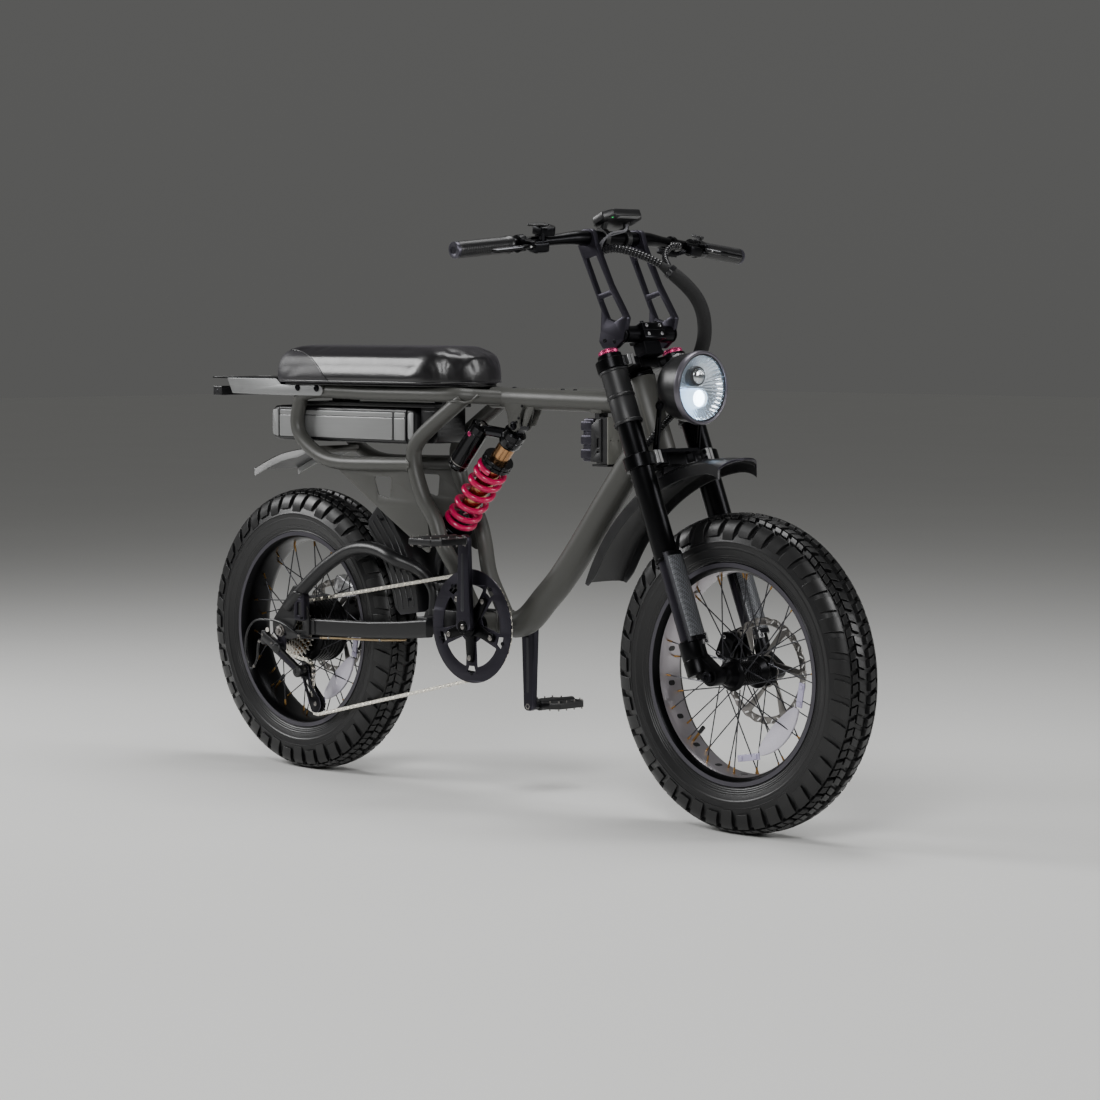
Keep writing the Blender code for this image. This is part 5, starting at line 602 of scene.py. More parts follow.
# Discs, nuts, chain, nipples and cables: plain, blackened and plated steel and brass
STEEL = Brushed("stainless_steel_brushed", "8e8b88", 0.32, lay=Lay.ROUND_Y)
STEEL_BLACK = Anodised("black_oxide_steel", "1d1d20", 0.36, metallic=1.0, edge_wear_and_highlight="46464a")
CHAIN_STEEL = Anodised("nickel_plated_steel", "b6b2ab", 0.28, metallic=1.0, edge_wear_and_highlight="e8e4da")
BRASS = Anodised("nickel_brass", "a8824a", 0.30, metallic=1.0)
BROWN_STEEL = Brushed("browned_steel", "7a5526", 0.32, lay=Lay.ROUND_Y)
CHROME = Brushed("vacuum_plated_reflector", "e4e8ec", 0.09, relief_mm=0.0, wander=0.03)
# Guards, cases and lids: injection-moulded black plastics, from satin to mirror gloss
ABS_BLACK = Moulded("moulded_abs_black", "101012", 0.38)
POLYPROPYLENE = Moulded("moulded_polypropylene_black", "111113", 0.34, grain_mm=1.6, edge_wear_and_highlight="3a3840")
PIANO_BLACK = Finish("glossy_acrylic_black", "08080a", 0.08, coat=1.0, relief_mm=0.0)
# Tyres and grips: filled rubber, dark, with a wide low sheen on its rounded edges
TREAD_RUBBER = Rubber("tread_rubber", "0d0d0e", 0.38)
WALL_RUBBER = Rubber("sidewall_rubber", "09090b", 0.40, rings=True)
GRIP_RUBBER = Rubber("grip_rubber", "111113", 0.36, grain_mm=1.4, relief_mm=0.06)
# Seat: grained vinyl, glossier on its crown than on the rear panel
SEAT_VINYL = Vinyl("upholstery_vinyl", "0c0b0d", 0.33, sheen=0.08, sheen_tint="b8aec4", coat=0.12)
SEAT_VINYL_REAR = Vinyl("upholstery_vinyl_matte", "141316", 0.5, sheen=0.1, sheen_tint="b8aec4")
THREAD = Finish("polyester_thread", "2a282d", 0.7, grain_mm=0.6, relief_mm=0.05)
# Fork guard and loom sleeve: twill cloth, lacquered or bare
CARBON = Woven("carbon_cloth_lacquered", "54565a", 0.42, metallic=0.2, wander=0.5, coat=0.2)
SLEEVE_CLOTH = Woven("polyester_sleeve", "0b0b0c", 0.75, wander=0.4, thread_mm=1.6, relief_mm=0.2)
# Reflectors, rim bed, lamp glass and diodes
REFLECTOR = Prismatic("prismatic_reflector_white", "cfcbd8", 0.18, coat=1.0, relief_mm=0.25)
RIM_TAPE = Finish("satin_silver_rim_bed", "b6b1b6", 0.30, metallic=0.85, grain_mm=0.5)
CLEAR_PC = Finish("clear_polycarbonate", "f4f8fb", 0.04, clear=1.0, ior=1.58, relief_mm=0.0, cover=0.16)
RED_ACRYLIC = Prismatic("red_acrylic", "4a0a0c", 0.15, coat=1.0, relief_mm=0.15)
LED_LIT = Finish("led_projector_lit", "eef6ff", 0.2, glow="d8ecff", glow_strength=14.0)
# The lamp's bezel: satin silver that catches a thin bright ring
PALE_BEZEL = Anodised("anodised_aluminium_satin_silver", "6d6a72", 0.32, metallic=0.7)
FLOOR = Finish(
    "painted_board_pale_grey", "e6e6e4", 0.9, wander=0.02, patch_mm=900.0, grain_mm=4.0, relief_mm=0.0
)
# Painted light: the lit projector's barrel carries a painted glow, as if the LED spilled on it, and the
# plated bowl carries a faint painted glow of the same cold light
PAINTED_LED_HALO = Finish("painted_led_glow_on_bezel", "cfe4f8", 0.3, glow="bcdcff", glow_strength=2.2)
# The reflector's faint glow is a painted reflection of the lit diode.
LAMP_MIRROR_PAINTED_GLOW = Brushed(
    "fluted_lamp_mirror_painted_glow", "dfe7ee", 0.16, relief_mm=0.0, wander=0.03, glow="cfe2f4", glow_strength=0.22
)
LED_GREEN = Finish("status_led_green", "0f5a2a", 0.3, glow="20c060", glow_strength=1.2)
# Horn cover, display leads and the reflector's clips
HORN_COVER = PowderCoat("powder_coat_pale_olive_grey", "6e6e68", 0.44, edge_wear_and_highlight="8a8a84")
CABLE_GREY = Moulded("pvc_cable_grey", "5c5c60", 0.4)
CLIP_CLEAR = Finish("clear_clip_milky", "b4aecb", 0.16, coat=0.6, relief_mm=0.0)


class Shape:
    """A mesh in the making, of one or more finishes."""

    def __init__(self) -> None:
        """Starts empty, with the first finish chosen."""
        self.points: list[Vector] = []
        self.faces: list[tuple[int, ...]] = []
        self.slots: list[int] = []
        self.slot = 0

    def add(self, points: Iterable[Point], faces: Iterable[Sequence[int]]) -> "Shape":
        """Adds points and the faces between them, in the finish that is chosen."""
        start = len(self.points)
        self.points += [Vector(p) for p in points]
        for face in faces:
            self.faces.append(tuple(start + i for i in face))
            self.slots.append(self.slot)
        return self

    def use(self, slot: int) -> "Shape":
        """Chooses the finish of what is added next."""
        self.slot = slot
        return self

    def grid(self, rings: Sequence[Sequence[Point]], round_rings: bool, loop: bool, caps: bool) -> "Shape":
        """Joins rings of points into a skin.

        Args:
            rings: Lists of points, all of one length.
            round_rings: Whether each ring closes on itself.
            loop: Whether the last ring joins the first.
            caps: Whether the end rings are filled.

        Returns:
            The shape itself.
        """
        size = len(rings[0])
        count = len(rings)
        faces = []
        for i in range(count if loop else count - 1):
            j = (i + 1) % count
            for k in range(size if round_rings else size - 1):
                m = (k + 1) % size
                faces.append((i * size + k, i * size + m, j * size + m, j * size + k))
        if caps:
            faces.append(tuple(range(size))[::-1])
            faces.append(tuple((count - 1) * size + k for k in range(size)))
        return self.add([p for ring in rings for p in ring], faces)

    def lathe(
        self,
        profile: Outline,
        origin: Point,
        axis: Point,
        steps: int = 48,
        closed: bool = False,
        start: float = 0.0,
        sweep: float = TURN,
    ) -> "Shape":
        """Turns a profile of (radius, distance along) round an axis.

        Args:
            profile: The points from one end to the other.
            origin: A point on the axis, where the distance is zero.
            axis: The direction of the axis.
            steps: Stretches round the turn.
            closed: Whether the profile closes on itself.
            start: The first angle.
            sweep: How far it turns.

        Returns:
            The shape itself.
        """
        place = facing(origin, axis)
        whole = abs(sweep - TURN) < 1e-6
        rings = []
        for i in range(steps if whole else steps + 1):
            a = start + sweep * i / steps
            rings.append([place @ Vector((r * math.cos(a), r * math.sin(a), z)) for r, z in profile])
        return self.grid(rings, closed, whole, closed and not whole)

    def tube(
        self,
        route: Sequence[Point],
        radius: Union[float, Sequence[float]],
        sides: int = 16,
        loop: bool = False,
        section: Optional[Outline] = None,
        side: Optional[Vector] = None,
    ) -> "Shape":
        """Sweeps a round or given section along a route.

        Args:
            route: The points along the middle.
            radius: One radius, or one for each point; a factor where a section is given.
            sides: Sides of a round section.
            loop: Whether the route closes on itself.
            section: A section of (side, up) pairs in place of a circle.
            side: A fixed side direction, which keeps the section from rolling.

        Returns:
            The shape itself.
        """
        line = [Vector(p) for p in route]
        sizes = [radius] * len(line) if isinstance(radius, (int, float)) else list(radius)
        outline = section or circle(1.0, steps=sides)
        count = len(line)
        rings = []
        across = side.copy() if side else None
        for i, here in enumerate(line):
            after = line[(i + 1) % count] if loop or i < count - 1 else here
            before = line[i - 1] if loop or i > 0 else here
            way = (after - before).normalized()
            if across is None:
                across = way.orthogonal()
            if side is None:
                across = (across - way * across.dot(way)).normalized()
            rise = way.cross(across).normalized()
            rings.append([here + across * (u * sizes[i]) + rise * (v * sizes[i]) for u, v in outline])
        return self.grid(rings, True, loop, not loop)

    def rod(self, start: Point, end: Point, radius: float, sides: int = 20, far: float = -1.0) -> "Shape":
        """Adds a straight bar between two points, tapered where a far radius is given."""
        return self.tube([start, end], [radius, far if far >= 0 else radius], sides)

    def bolt(self, place: Point, axis: Point, head: float = 4.5 * MM, tall: float = 4 * MM) -> "Shape":
        """Adds a cap screw's round head with its six-sided socket.

        Args:
            place: The middle of the head's seat.
            axis: The direction that the head faces.
            head: The head's radius.
            tall: The head's height.

        Returns:
            The shape itself.
        """
        way = Vector(axis).normalized()
        rim = [(0, 0), (head, 0), (head, tall * 0.8), (head * 0.86, tall), (head * 0.56, tall)]
        self.lathe(rim, place, way, 20)
        return self.lathe(
            [(head * 0.56, tall), (head * 0.56, tall * 0.45), (0, tall * 0.45)], place, way, 6
        )

    def nut(self, place: Point, axis: Point, radius: float, tall: float) -> "Shape":
        """Adds a six-sided nut with a stub of its bolt."""
        way = Vector(axis).normalized()
        flats = [(0, 0), (radius, 0), (radius, tall * 0.85), (radius * 0.88, tall), (0, tall)]
        self.lathe(flats, place, way, 6)
        return self.rod(Vector(place), Vector(place) + way * tall * 1.5, radius * 0.5, 14)

    def block(self, size: Point, place: Union[Matrix, Point]) -> "Shape":
        """Adds a box of a given size in a frame, or upright at a point."""
        turn = place if isinstance(place, Matrix) else Matrix.Translation(place)
        half = Vector(size) / 2
        corners = [(x, y, z) for z in SIDES for y in SIDES for x in SIDES]
        points = [turn @ Vector((x * half.x, y * half.y, z * half.z)) for x, y, z in corners]
        sides = [(0, 2, 3, 1), (4, 5, 7, 6), (0, 1, 5, 4), (2, 6, 7, 3), (0, 4, 6, 2), (1, 3, 7, 5)]
        return self.add(points, sides)

    def sheet(
        self,
        outlines: Sequence[Outline],
        thickness: float,
        place: Matrix,
        edge: float = 0.0,
    ) -> "Shape":
        """Cuts a flat plate from an outline, with holes and a softened edge.

        Args:
            outlines: The outer outline first, then the holes, as (u, v) pairs.
            thickness: The plate's thickness, even on both sides of the frame's plane.
            place: The frame whose plane the plate lies in.
            edge: The width of the rounded edge.

        Returns:
            The shape itself.
        """
        curve = bpy.data.curves.new("outline", "CURVE")
        curve.dimensions = "2D"
        curve.fill_mode = "BOTH"
        curve.extrude = thickness / 2 - edge
        curve.bevel_depth = edge
        curve.offset = -edge
        curve.bevel_resolution = 1
        for outline in outlines:
            spline = curve.splines.new("POLY")
            spline.points.add(len(outline) - 1)
            for point, (u, v) in zip(spline.points, outline):
                point.co = (u, v, 0.0, 1.0)
            spline.use_cyclic_u = True
        holder = bpy.data.objects.new("outline", curve)
        mesh = bpy.data.meshes.new_from_object(holder)
        self.add([place @ v.co for v in mesh.vertices], [tuple(p.vertices) for p in mesh.polygons])
        bpy.data.objects.remove(holder)
        bpy.data.curves.remove(curve)
        bpy.data.meshes.remove(mesh)
        return self

    def prism(self, outline: Sequence[Point], depth: Point) -> "Shape":
        """Adds a flat form between an outline and its copy moved by depth."""
        near = [Vector(p) for p in outline]
        return self.grid([near, [p + Vector(depth) for p in near]], True, False, True)

    def swept(
        self, route: Sequence[Point], radii: Sequence[float], steps: int = 6, sides: int = 28
    ) -> "Shape":
        """Adds a round tube through some points, both its path and its radius smoothed."""
        sizes = [p.x for p in smooth_line([(r, 0, 0) for r in radii], steps)]
        return self.tube(smooth_line(route, steps), sizes, sides)

    def weld(
        self,
        start: Point,
        way: Point,
        radius: float,
        origin: Point,
        axis: Point,
        other: float,
        bead: float = 2.2 * MM,
    ) -> "Shape":
        """Lays a weld bead where a tube runs into another one.

        Args:
            start: A point on the tube's axis, outside the other tube.
            way: The direction towards the other tube.
            radius: The tube's radius.
            origin: A point on the other tube's axis.
            axis: The other tube's direction.
            other: The other tube's radius.
            bead: The bead's radius.

        Returns:
            The shape itself.
        """
        place = facing(start, way)
        along = Vector(way).normalized()
        line = Vector(axis).normalized()
        across = along - line * along.dot(line)
        loop = []
        steps = 56
        for i in range(steps):
            a = TURN * i / steps
            spot = place @ Vector((radius * math.cos(a), radius * math.sin(a), 0))
            away = spot - Vector(origin)
            away -= line * away.dot(line)
            square, half = across.length_squared, away.dot(across)
            inside = half * half - square * (away.length_squared - other * other)
            reach = (-half - math.sqrt(max(0.0, inside))) / square
            loop.append(spot + along * reach)
        sizes = [bead * (1.0 + 0.16 * (i % 2)) for i in range(steps)]
        return self.tube(loop, sizes, 8, loop=True)

    def build(
        self,
        name: str,
        body: str,
        finishes: Union[Finish, Sequence[Finish]],
        replaces: Sequence[str] = (),
        origin: Point = (0, 0, 0),
        bevel: float = 0.0,
        angle: float = 32.0,
        slot: str = "",
    ) -> bpy.types.Object:
        """Makes the object, dresses it and lets it ride on its body.

        Args:
            name: The piece's name.
            body: The CAD body that it moves with, or an empty name for none.
            finishes: One finish for each slot that was used.
            replaces: The CAD nodes that it stands for.
            origin: The point that its pattern is measured from.
            bevel: The width of softened edges, or zero.
            angle: Edges sharper than this, in degrees, stay sharp or are softened.
            slot: The record's material slot; not used.

        Returns:
            The finished object.
        """
        shift = Vector(origin)
        mesh = bpy.data.meshes.new(name)
        mesh.from_pydata([p - shift for p in self.points], [], self.faces)
        mesh.polygons.foreach_set("material_index", self.slots)
        tidy = bmesh.new()
        tidy.from_mesh(mesh)
        bmesh.ops.remove_doubles(tidy, verts=tidy.verts, dist=2e-6)
        bmesh.ops.dissolve_degenerate(tidy, edges=tidy.edges, dist=2e-6)
        bmesh.ops.recalc_face_normals(tidy, faces=tidy.faces)
        tidy.to_mesh(mesh)
        tidy.free()
        mesh.shade_smooth()
        mesh.set_sharp_from_angle(angle=math.radians(angle))
        for finish in [finishes] if isinstance(finishes, Finish) else finishes:
            mesh.materials.append(finish.material())
        made = bpy.data.objects.new(name, mesh)
        made.location = shift
        bpy.context.scene.collection.objects.link(made)
        if bevel:
            soften = made.modifiers.new("softened_edges", "BEVEL")
            soften.width = bevel
            soften.segments = 2
            soften.limit_method = "ANGLE"
            soften.angle_limit = math.radians(angle)
            soften.harden_normals = True
        if body:
            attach(made, body)
        if replaces:
            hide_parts(*replaces)
        return made


@dataclass
class Tyre:
    """A wide off-road tyre: carcass, sidewall ridges and four kinds of tread block."""

    label: str
    axle: Vector
    radius: float = 300 * MM
    half_width: float = 50 * MM
    bead: float = 210.6 * MM
    lip: float = 39.7 * MM
    pitches: int = 44
    tread_depth: float = 7.5 * MM
    foot: float = 8.5 * MM
    steps: int = 156

    def surface(self, lean: float, sink: float = 0.0) -> tuple[float, float]:
        """A point of the outer skin.

        Args:
            lean: The angle across the tread, 0 on the crown and a quarter turn at the widest place.
            sink: How far below the skin the point lies.

        Returns:
            The distance from the axle and the distance across.
        """
        section = self.radius - self.bead
        across = self.half_width * abs(math.sin(lean)) ** 0.7 * math.copysign(1, lean)
        out = self.bead + section * (0.42 + 0.58 * math.cos(lean) ** 0.8)
        down = abs(lean) ** 1.5 / (math.pi / 2) ** 1.5 * math.pi / 2
        return out - sink * math.cos(down), across - math.copysign(sink * math.sin(down), lean)

    def place(self, turn: float, lean: float, sink: float = 0.0) -> Vector:
        """A point of the skin at an angle round the axle, in the part's frame."""
        out, across = self.surface(lean, sink)
        return self.axle + Vector((out * math.cos(turn), across, out * math.sin(turn)))

    def block(
        self, made: Shape, turn: float, length: float, leans: tuple[float, float], skew: float
    ) -> None:
        """Adds one tread block that follows the crown, its top a little smaller than its foot.

        Args:
            made: The shape that takes the block.
            turn: The angle of its middle round the axle.
            length: Its length round the tyre, in pitches.
            leans: Where it starts and ends across the tread.
            skew: How far its second side is shifted round the tyre, in pitches.
        """
        pitch = TURN / self.pitches
        draft = 0.03
        steps = max(2, round(abs(leans[1] - leans[0]) / 0.13))
        rings = []
        for k in range(steps + 1):
            share = k / steps
            lean = leans[0] + (leans[1] - leans[0]) * share
            inward = math.copysign(draft if k == 0 else -draft if k == steps else 0.0, leans[0])
            inward *= -1 if k == 0 and abs(leans[0]) > abs(leans[1]) else 1
            middle = turn + (share - 0.5) * skew * pitch
            ring = []
            for along, sink in ((-1, self.foot), (-1, 0.0), (1, 0.0), (1, self.foot)):
                taper = 0.0 if sink else draft
                spot = middle + along * (length / 2 - taper) * pitch
                ring.append(self.place(spot, lean if sink else lean + inward, sink))
            rings.append(ring)
        made.grid(rings, True, False, True)

    def tread(self) -> Shape:
        """All tread blocks: sawn centre bricks, stepped inner blocks and long shoulder lugs."""
        made = Shape()
        pitch = TURN / self.pitches
        for i in range(self.pitches):
            for side in SIDES:
                turn = (i + 0.25 * side) * pitch
                for half in SIDES:
                    self.block(made, turn + half * 0.215 * pitch, 0.40, (0.035 * side, 0.30 * side), 0.16)
                    stepped = turn + (0.42 + half * 0.215) * pitch
                    self.block(made, stepped, 0.40, (0.365 * side, 0.60 * side), -0.14)
                low = 1.50 if i % 2 else 1.38
                self.block(made, turn + 0.16 * pitch, 0.74, (0.69 * side, low * side), 0.24)
        return made

    def wall(self, side: int) -> list:
        """The profile of one sidewall from the tread's edge to the bead, with its ridges."""
        made = []
        for k in range(6):
            lean = 1.10 + (math.pi / 2 - 1.10) * k / 5
            out, across = self.surface(lean * side, self.tread_depth * (1 - k / 5) ** 0.7)
            made.append((out, abs(across) * side))
        wide, low = self.surface(math.pi / 2)[0], self.bead
        for k in range(1, 40):
            share = k / 40
            out = wide + (low - wide) * share
            bulge = 1.6 * MM * math.sin(math.pi * share)
            across = self.half_width + (self.lip - self.half_width) * share**1.35 + bulge * 0.4
            ring = 0.9 * MM if 0.26 < share < 0.36 else 0.0
            ridge = 0.6 * MM if share > 0.62 and int(share * 40) % 4 == 0 else 0.0
            made.append((out, (across - 1.3 * MM + ring + ridge) * side))
        made.append((low, (self.lip - 0.3 * MM) * side))
        return made

    def build(self) -> None:
        """Makes the tyre as tread blocks and a carcass."""
        body = f"{self.label}_wheel"
        self.tread().build(
            f"{self.label}_tread", body, TREAD_RUBBER, origin=self.axle, bevel=0.7 * MM, slot="rubber"
        )
        left, right = self.wall(1), self.wall(-1)
        floor = [self.surface(1.10 * (1 - k / 8), self.tread_depth) for k in range(17)]
        seat = [(204.8 * MM, -33 * MM), (204.8 * MM, 33 * MM)]
        skin = right[::-1] + [p for p in floor[::-1]] + left
        carcass = Shape().lathe(skin + seat[::-1], self.axle, ACROSS, self.steps, closed=True)
        carcass.build(
            f"{self.label}_carcass",
            body,
            WALL_RUBBER,
            (f"{self.label}_tyre",),
            origin=self.axle,
            angle=50,
            slot="rubber",
        )


@dataclass
class Wheel:
    """A rim laced to a hub, with the brake disc, the valve and the side reflector."""

    label: str
    axle: Vector
    flange_radius: float
    flange_span: float
    bead: float = 204 * MM
    rim_half: float = 40 * MM
    rim_depth: float = 14 * MM
    flange: float = 6 * MM
    spokes: int = 36
    wire: float = 1.2 * MM
    lean: float = math.radians(38)
    disc_radius: float = 101.5 * MM
    disc_y: float = 58.5 * MM
    disc_arms: int = 6

    def body(self) -> str:
        """The CAD body that the wheel turns with."""
        return f"{self.label}_wheel"

    def polar(self, radius: float, turn: float, y: float = 0.0) -> Vector:
        """A point counted from the axle by radius and angle."""
        return self.axle + Vector((radius * math.cos(turn), y, radius * math.sin(turn)))

    def rim(self) -> Shape:
        """The hollow rim's section with hooked flanges, and its bright and satin bands."""
        edge, bed = self.rim_half, self.bead - self.rim_depth
        half = [
            (self.bead, 34 * MM),
            (self.bead + self.flange * 0.7, 34.5 * MM),
            (self.bead + self.flange, 36.5 * MM),
            (self.bead + self.flange, 39 * MM),
            (self.bead + self.flange * 0.8, edge),
            (self.bead - self.flange * 0.7, edge),
            (self.bead - self.flange * 1.1, edge - 2.5 * MM),
            (bed + 3 * MM, edge * 0.72),
            (bed, edge * 0.5),
        ]
        profile = half + [(r, -y) for r, y in half[::-1]]
        made = Shape().lathe(profile, self.axle, ACROSS, 144, closed=True)
        made.use(1)
        for side in SIDES:
            ring = [(self.bead - 3.6 * MM, edge * side), (self.bead + 4.6 * MM, edge * side)]
            ring = [(r, y + side * 0.15 * MM) for r, y in ring]
            made.lathe(ring, self.axle, ACROSS, 144)
        if self.label == "front":
            step = 0.2 * MM
            wide = edge * 0.70
            band = [(bed + 2.75 * MM - step, wide), (bed - step, edge * 0.5), (bed - step, -edge * 0.5)]
            made.use(2).lathe(band + [(bed + 2.75 * MM - step, -wide)], self.axle, ACROSS, 144)
            made.use(3)
            for i in range(self.spokes // 2):
                turn = TURN * (i + 0.5) / (self.spokes // 2)
                out = self.polar(1.0, turn) - self.axle
                hole = capsule((-3.5 * MM, 0), (3.5 * MM, 0), 5 * MM, 5 * MM, 10)
                made.sheet([hole], 0.8 * MM, facing(self.polar(bed - 0.1 * MM, turn), out), 0.0)
        return made

    def lacing(self) -> Shape:
        """Crossed spokes with their brass nipples, and the tyre valve."""
        bed = self.bead - self.rim_depth
        made = Shape()
        for i in range(self.spokes):
            side = SIDES[i % 2]
            cross = SIDES[(i // 2) % 2]
            turn = TURN * (i + 0.5) / self.spokes
            shift = self.wire * 1.6 * cross
            hub = self.polar(
                self.flange_radius + self.wire,
                turn + self.lean * cross,
                side * self.flange_span / 2 + shift,
            )
            seat = self.polar(bed + self.rim_depth * 0.3, turn, side * self.rim_half * 0.3 + shift)
            made.use(0).rod(hub, seat, self.wire, 8)
            way = (hub - seat).normalized()
            made.use(1).rod(seat, seat + way * 17 * MM, 2.1 * MM, 8, 1.7 * MM)
        valve = TURN * 0.63
        made.use(1).rod(self.polar(bed + 2 * MM, valve), self.polar(bed - 26 * MM, valve), 2.6 * MM, 12)
        made.use(2).rod(self.polar(bed - 24 * MM, valve), self.polar(bed - 38 * MM, valve), 4.2 * MM, 12)
        return made

    def disc(self) -> Shape:
        """The brake disc: a waved and slotted band on curved arms, with its six screws."""
        band = 15 * MM
        core = 31.5 * MM
        waves = 24
        rim = []
        for k in range(waves * 6):
            a = TURN * k / (waves * 6)
            rim.append((self.disc_radius - 1.1 * MM + 1.1 * MM * math.cos(waves * a), a))
        outer = [(r * math.cos(a), r * math.sin(a)) for r, a in rim]
        holes = [circle(21.9 * MM, steps=40)]
        share = TURN / self.disc_arms
        for i in range(self.disc_arms):
            first = share * i
            far = arc(self.disc_radius - band, first + 0.10, first + share - 0.10, 8)
            near = arc(core, first + 0.62, first + share + 0.36, 6)
            holes.append(fillet(far + near[::-1], 2 * MM, 2))
        for i in range(self.disc_arms * 6):
            turn = TURN * i / (self.disc_arms * 6)
            reach = 4.2 * MM
            centre = self.disc_radius - band * 0.5
            tilt = turn + (0.75 if i % 2 else -0.75)
            way = (math.cos(tilt) * reach, math.sin(tilt) * reach)
            start = (centre * math.cos(turn) - way[0], centre * math.sin(turn) - way[1])
            end = (centre * math.cos(turn) + way[0], centre * math.sin(turn) + way[1])
            holes.append(capsule(start, end, 1.5 * MM, 1.5 * MM - 1e-7, 3))
        made = Shape().sheet([outer] + holes, 2 * MM, side_on(self.axle, self.disc_y), 0.25 * MM)
        made.use(1)
        for i in range(6):
            seat = self.polar(26.5 * MM, TURN * (i + 0.5) / 6, self.disc_y + 1 * MM)
            made.bolt(seat, ACROSS, 3.6 * MM, 2.6 * MM)
        return made

    def reflector(self) -> Shape:
        """The crescent reflector between the spokes, with a clear strip clipped on at each end."""
        start, end = math.radians(-69), math.radians(-20)
        far, near = [], []
        for k in range(17):
            turn = start + (end - start) * k / 16
            bulge = math.sin(math.pi * k / 16) ** 0.7
            for line, radius in ((far, 158 + 7 * bulge), (near, 146 - 22 * bulge)):
                line.append((radius * MM * math.cos(turn), radius * MM * math.sin(turn)))
        place = side_on(self.axle, -17 * MM)
        made = Shape().sheet([far + near[::-1]], 6 * MM, place, 1.2 * MM)
        made.use(1)
        for turn, long in ((math.radians(-80), 54 * MM), (math.radians(-10), 46 * MM)):
            strip = self.polar(156 * MM, turn, -18 * MM)
            made.block((13 * MM, 4 * MM, long), tilted(strip, -turn))
            for shift in (-0.34, 0.34):
                along = Vector((-math.sin(turn), 0, math.cos(turn))) * long * shift
                made.block(mm(9, 8, 8), tilted(strip + along, -turn))
        return made

    def build(self) -> None:
        """Makes the rim, the spokes, the disc and the reflector."""
        label, body = self.label, self.body()
        kinds = (BLACK_ANODISED, RIM_EDGE, RIM_TAPE, ABS_BLACK)
        self.rim().build(
            f"{label}_rim_section",
            body,
            kinds,
            (f"{label}_rim",),
            origin=self.axle,
            bevel=0.5 * MM,
            slot="black_metal",
        )
        wires = (STEEL_BLACK, BRASS, ABS_BLACK)
        self.lacing().build(f"{label}_spokes", body, wires, origin=self.axle, slot="black_metal")
        self.disc().build(
            f"{label}_brake_disc",
            body,
            (STEEL, STEEL_BLACK),
            (f"{label}_rotor",),
            origin=self.axle,
            slot="steel",
        )
        self.reflector().build(
            f"{label}_reflector",
            body,
            (REFLECTOR, CLIP_CLEAR),
            origin=self.axle,
            bevel=0.8 * MM,
            slot="clear",
        )


@dataclass
class FrontHub:
    """The front hub shell with ribbed flanges and the disc seat."""

    axle: Vector
    radius: float = 21 * MM
    flange_radius: float = 31 * MM
    flange: float = 34 * MM
    half: float = 55 * MM
    disc_y: float = 58.5 * MM

    def build(self) -> None:
        """Turns the shell and its cooling ribs."""
        bore = 7.8 * MM
        profile = [
            (bore, self.half + 14 * MM),
            (11.2 * MM, self.half + 14 * MM),
            (12 * MM, self.half + 13 * MM),
            (16 * MM, self.disc_y + 4 * MM),
            (21.5 * MM, self.disc_y + 2 * MM),
            (21.5 * MM, self.disc_y - 1.3 * MM),
            (28.5 * MM, self.disc_y - 1.3 * MM),
            (29 * MM, self.disc_y - 4 * MM),
            (24 * MM, self.disc_y - 8 * MM),
            (24 * MM, self.flange + 8 * MM),
            (self.flange_radius - 1 * MM, self.flange + 3 * MM),
            (self.flange_radius, self.flange + 2 * MM),
            (self.flange_radius, self.flange - 2 * MM),
            (self.flange_radius - 1 * MM, self.flange - 3 * MM),
            (self.radius, self.flange - 10 * MM),
        ]
        for k in range(9):
            y = 20 * MM - k * 5 * MM
            profile += [(self.radius, y + 2 * MM), (self.radius + 2 * MM, y + 1.4 * MM)]
            profile += [(self.radius + 2 * MM, y - 1.4 * MM), (self.radius, y - 2 * MM)]
        profile += [
            (self.radius, -self.flange + 10 * MM),
            (self.flange_radius - 1 * MM, -self.flange + 3 * MM),
            (self.flange_radius, -self.flange + 2 * MM),
            (self.flange_radius, -self.flange - 2 * MM),
            (self.flange_radius - 1 * MM, -self.flange - 3 * MM),
            (24 * MM, -self.flange - 6 * MM),
            (20 * MM, -self.half + 6 * MM),
            (17 * MM, -self.half),
            (12 * MM, -self.half - 3 * MM),
            (12 * MM, -self.half - 14 * MM),
            (bore, -self.half - 14 * MM),
        ]
        made = Shape().lathe(profile, self.axle, ACROSS, 48, closed=True)
        made.build(
            "front_hub_shell",
            "front_wheel",
            BLACK_ANODISED,
            ("front_hub",),
            origin=self.axle,
            bevel=0.4 * MM,
            slot="black_metal",
        )


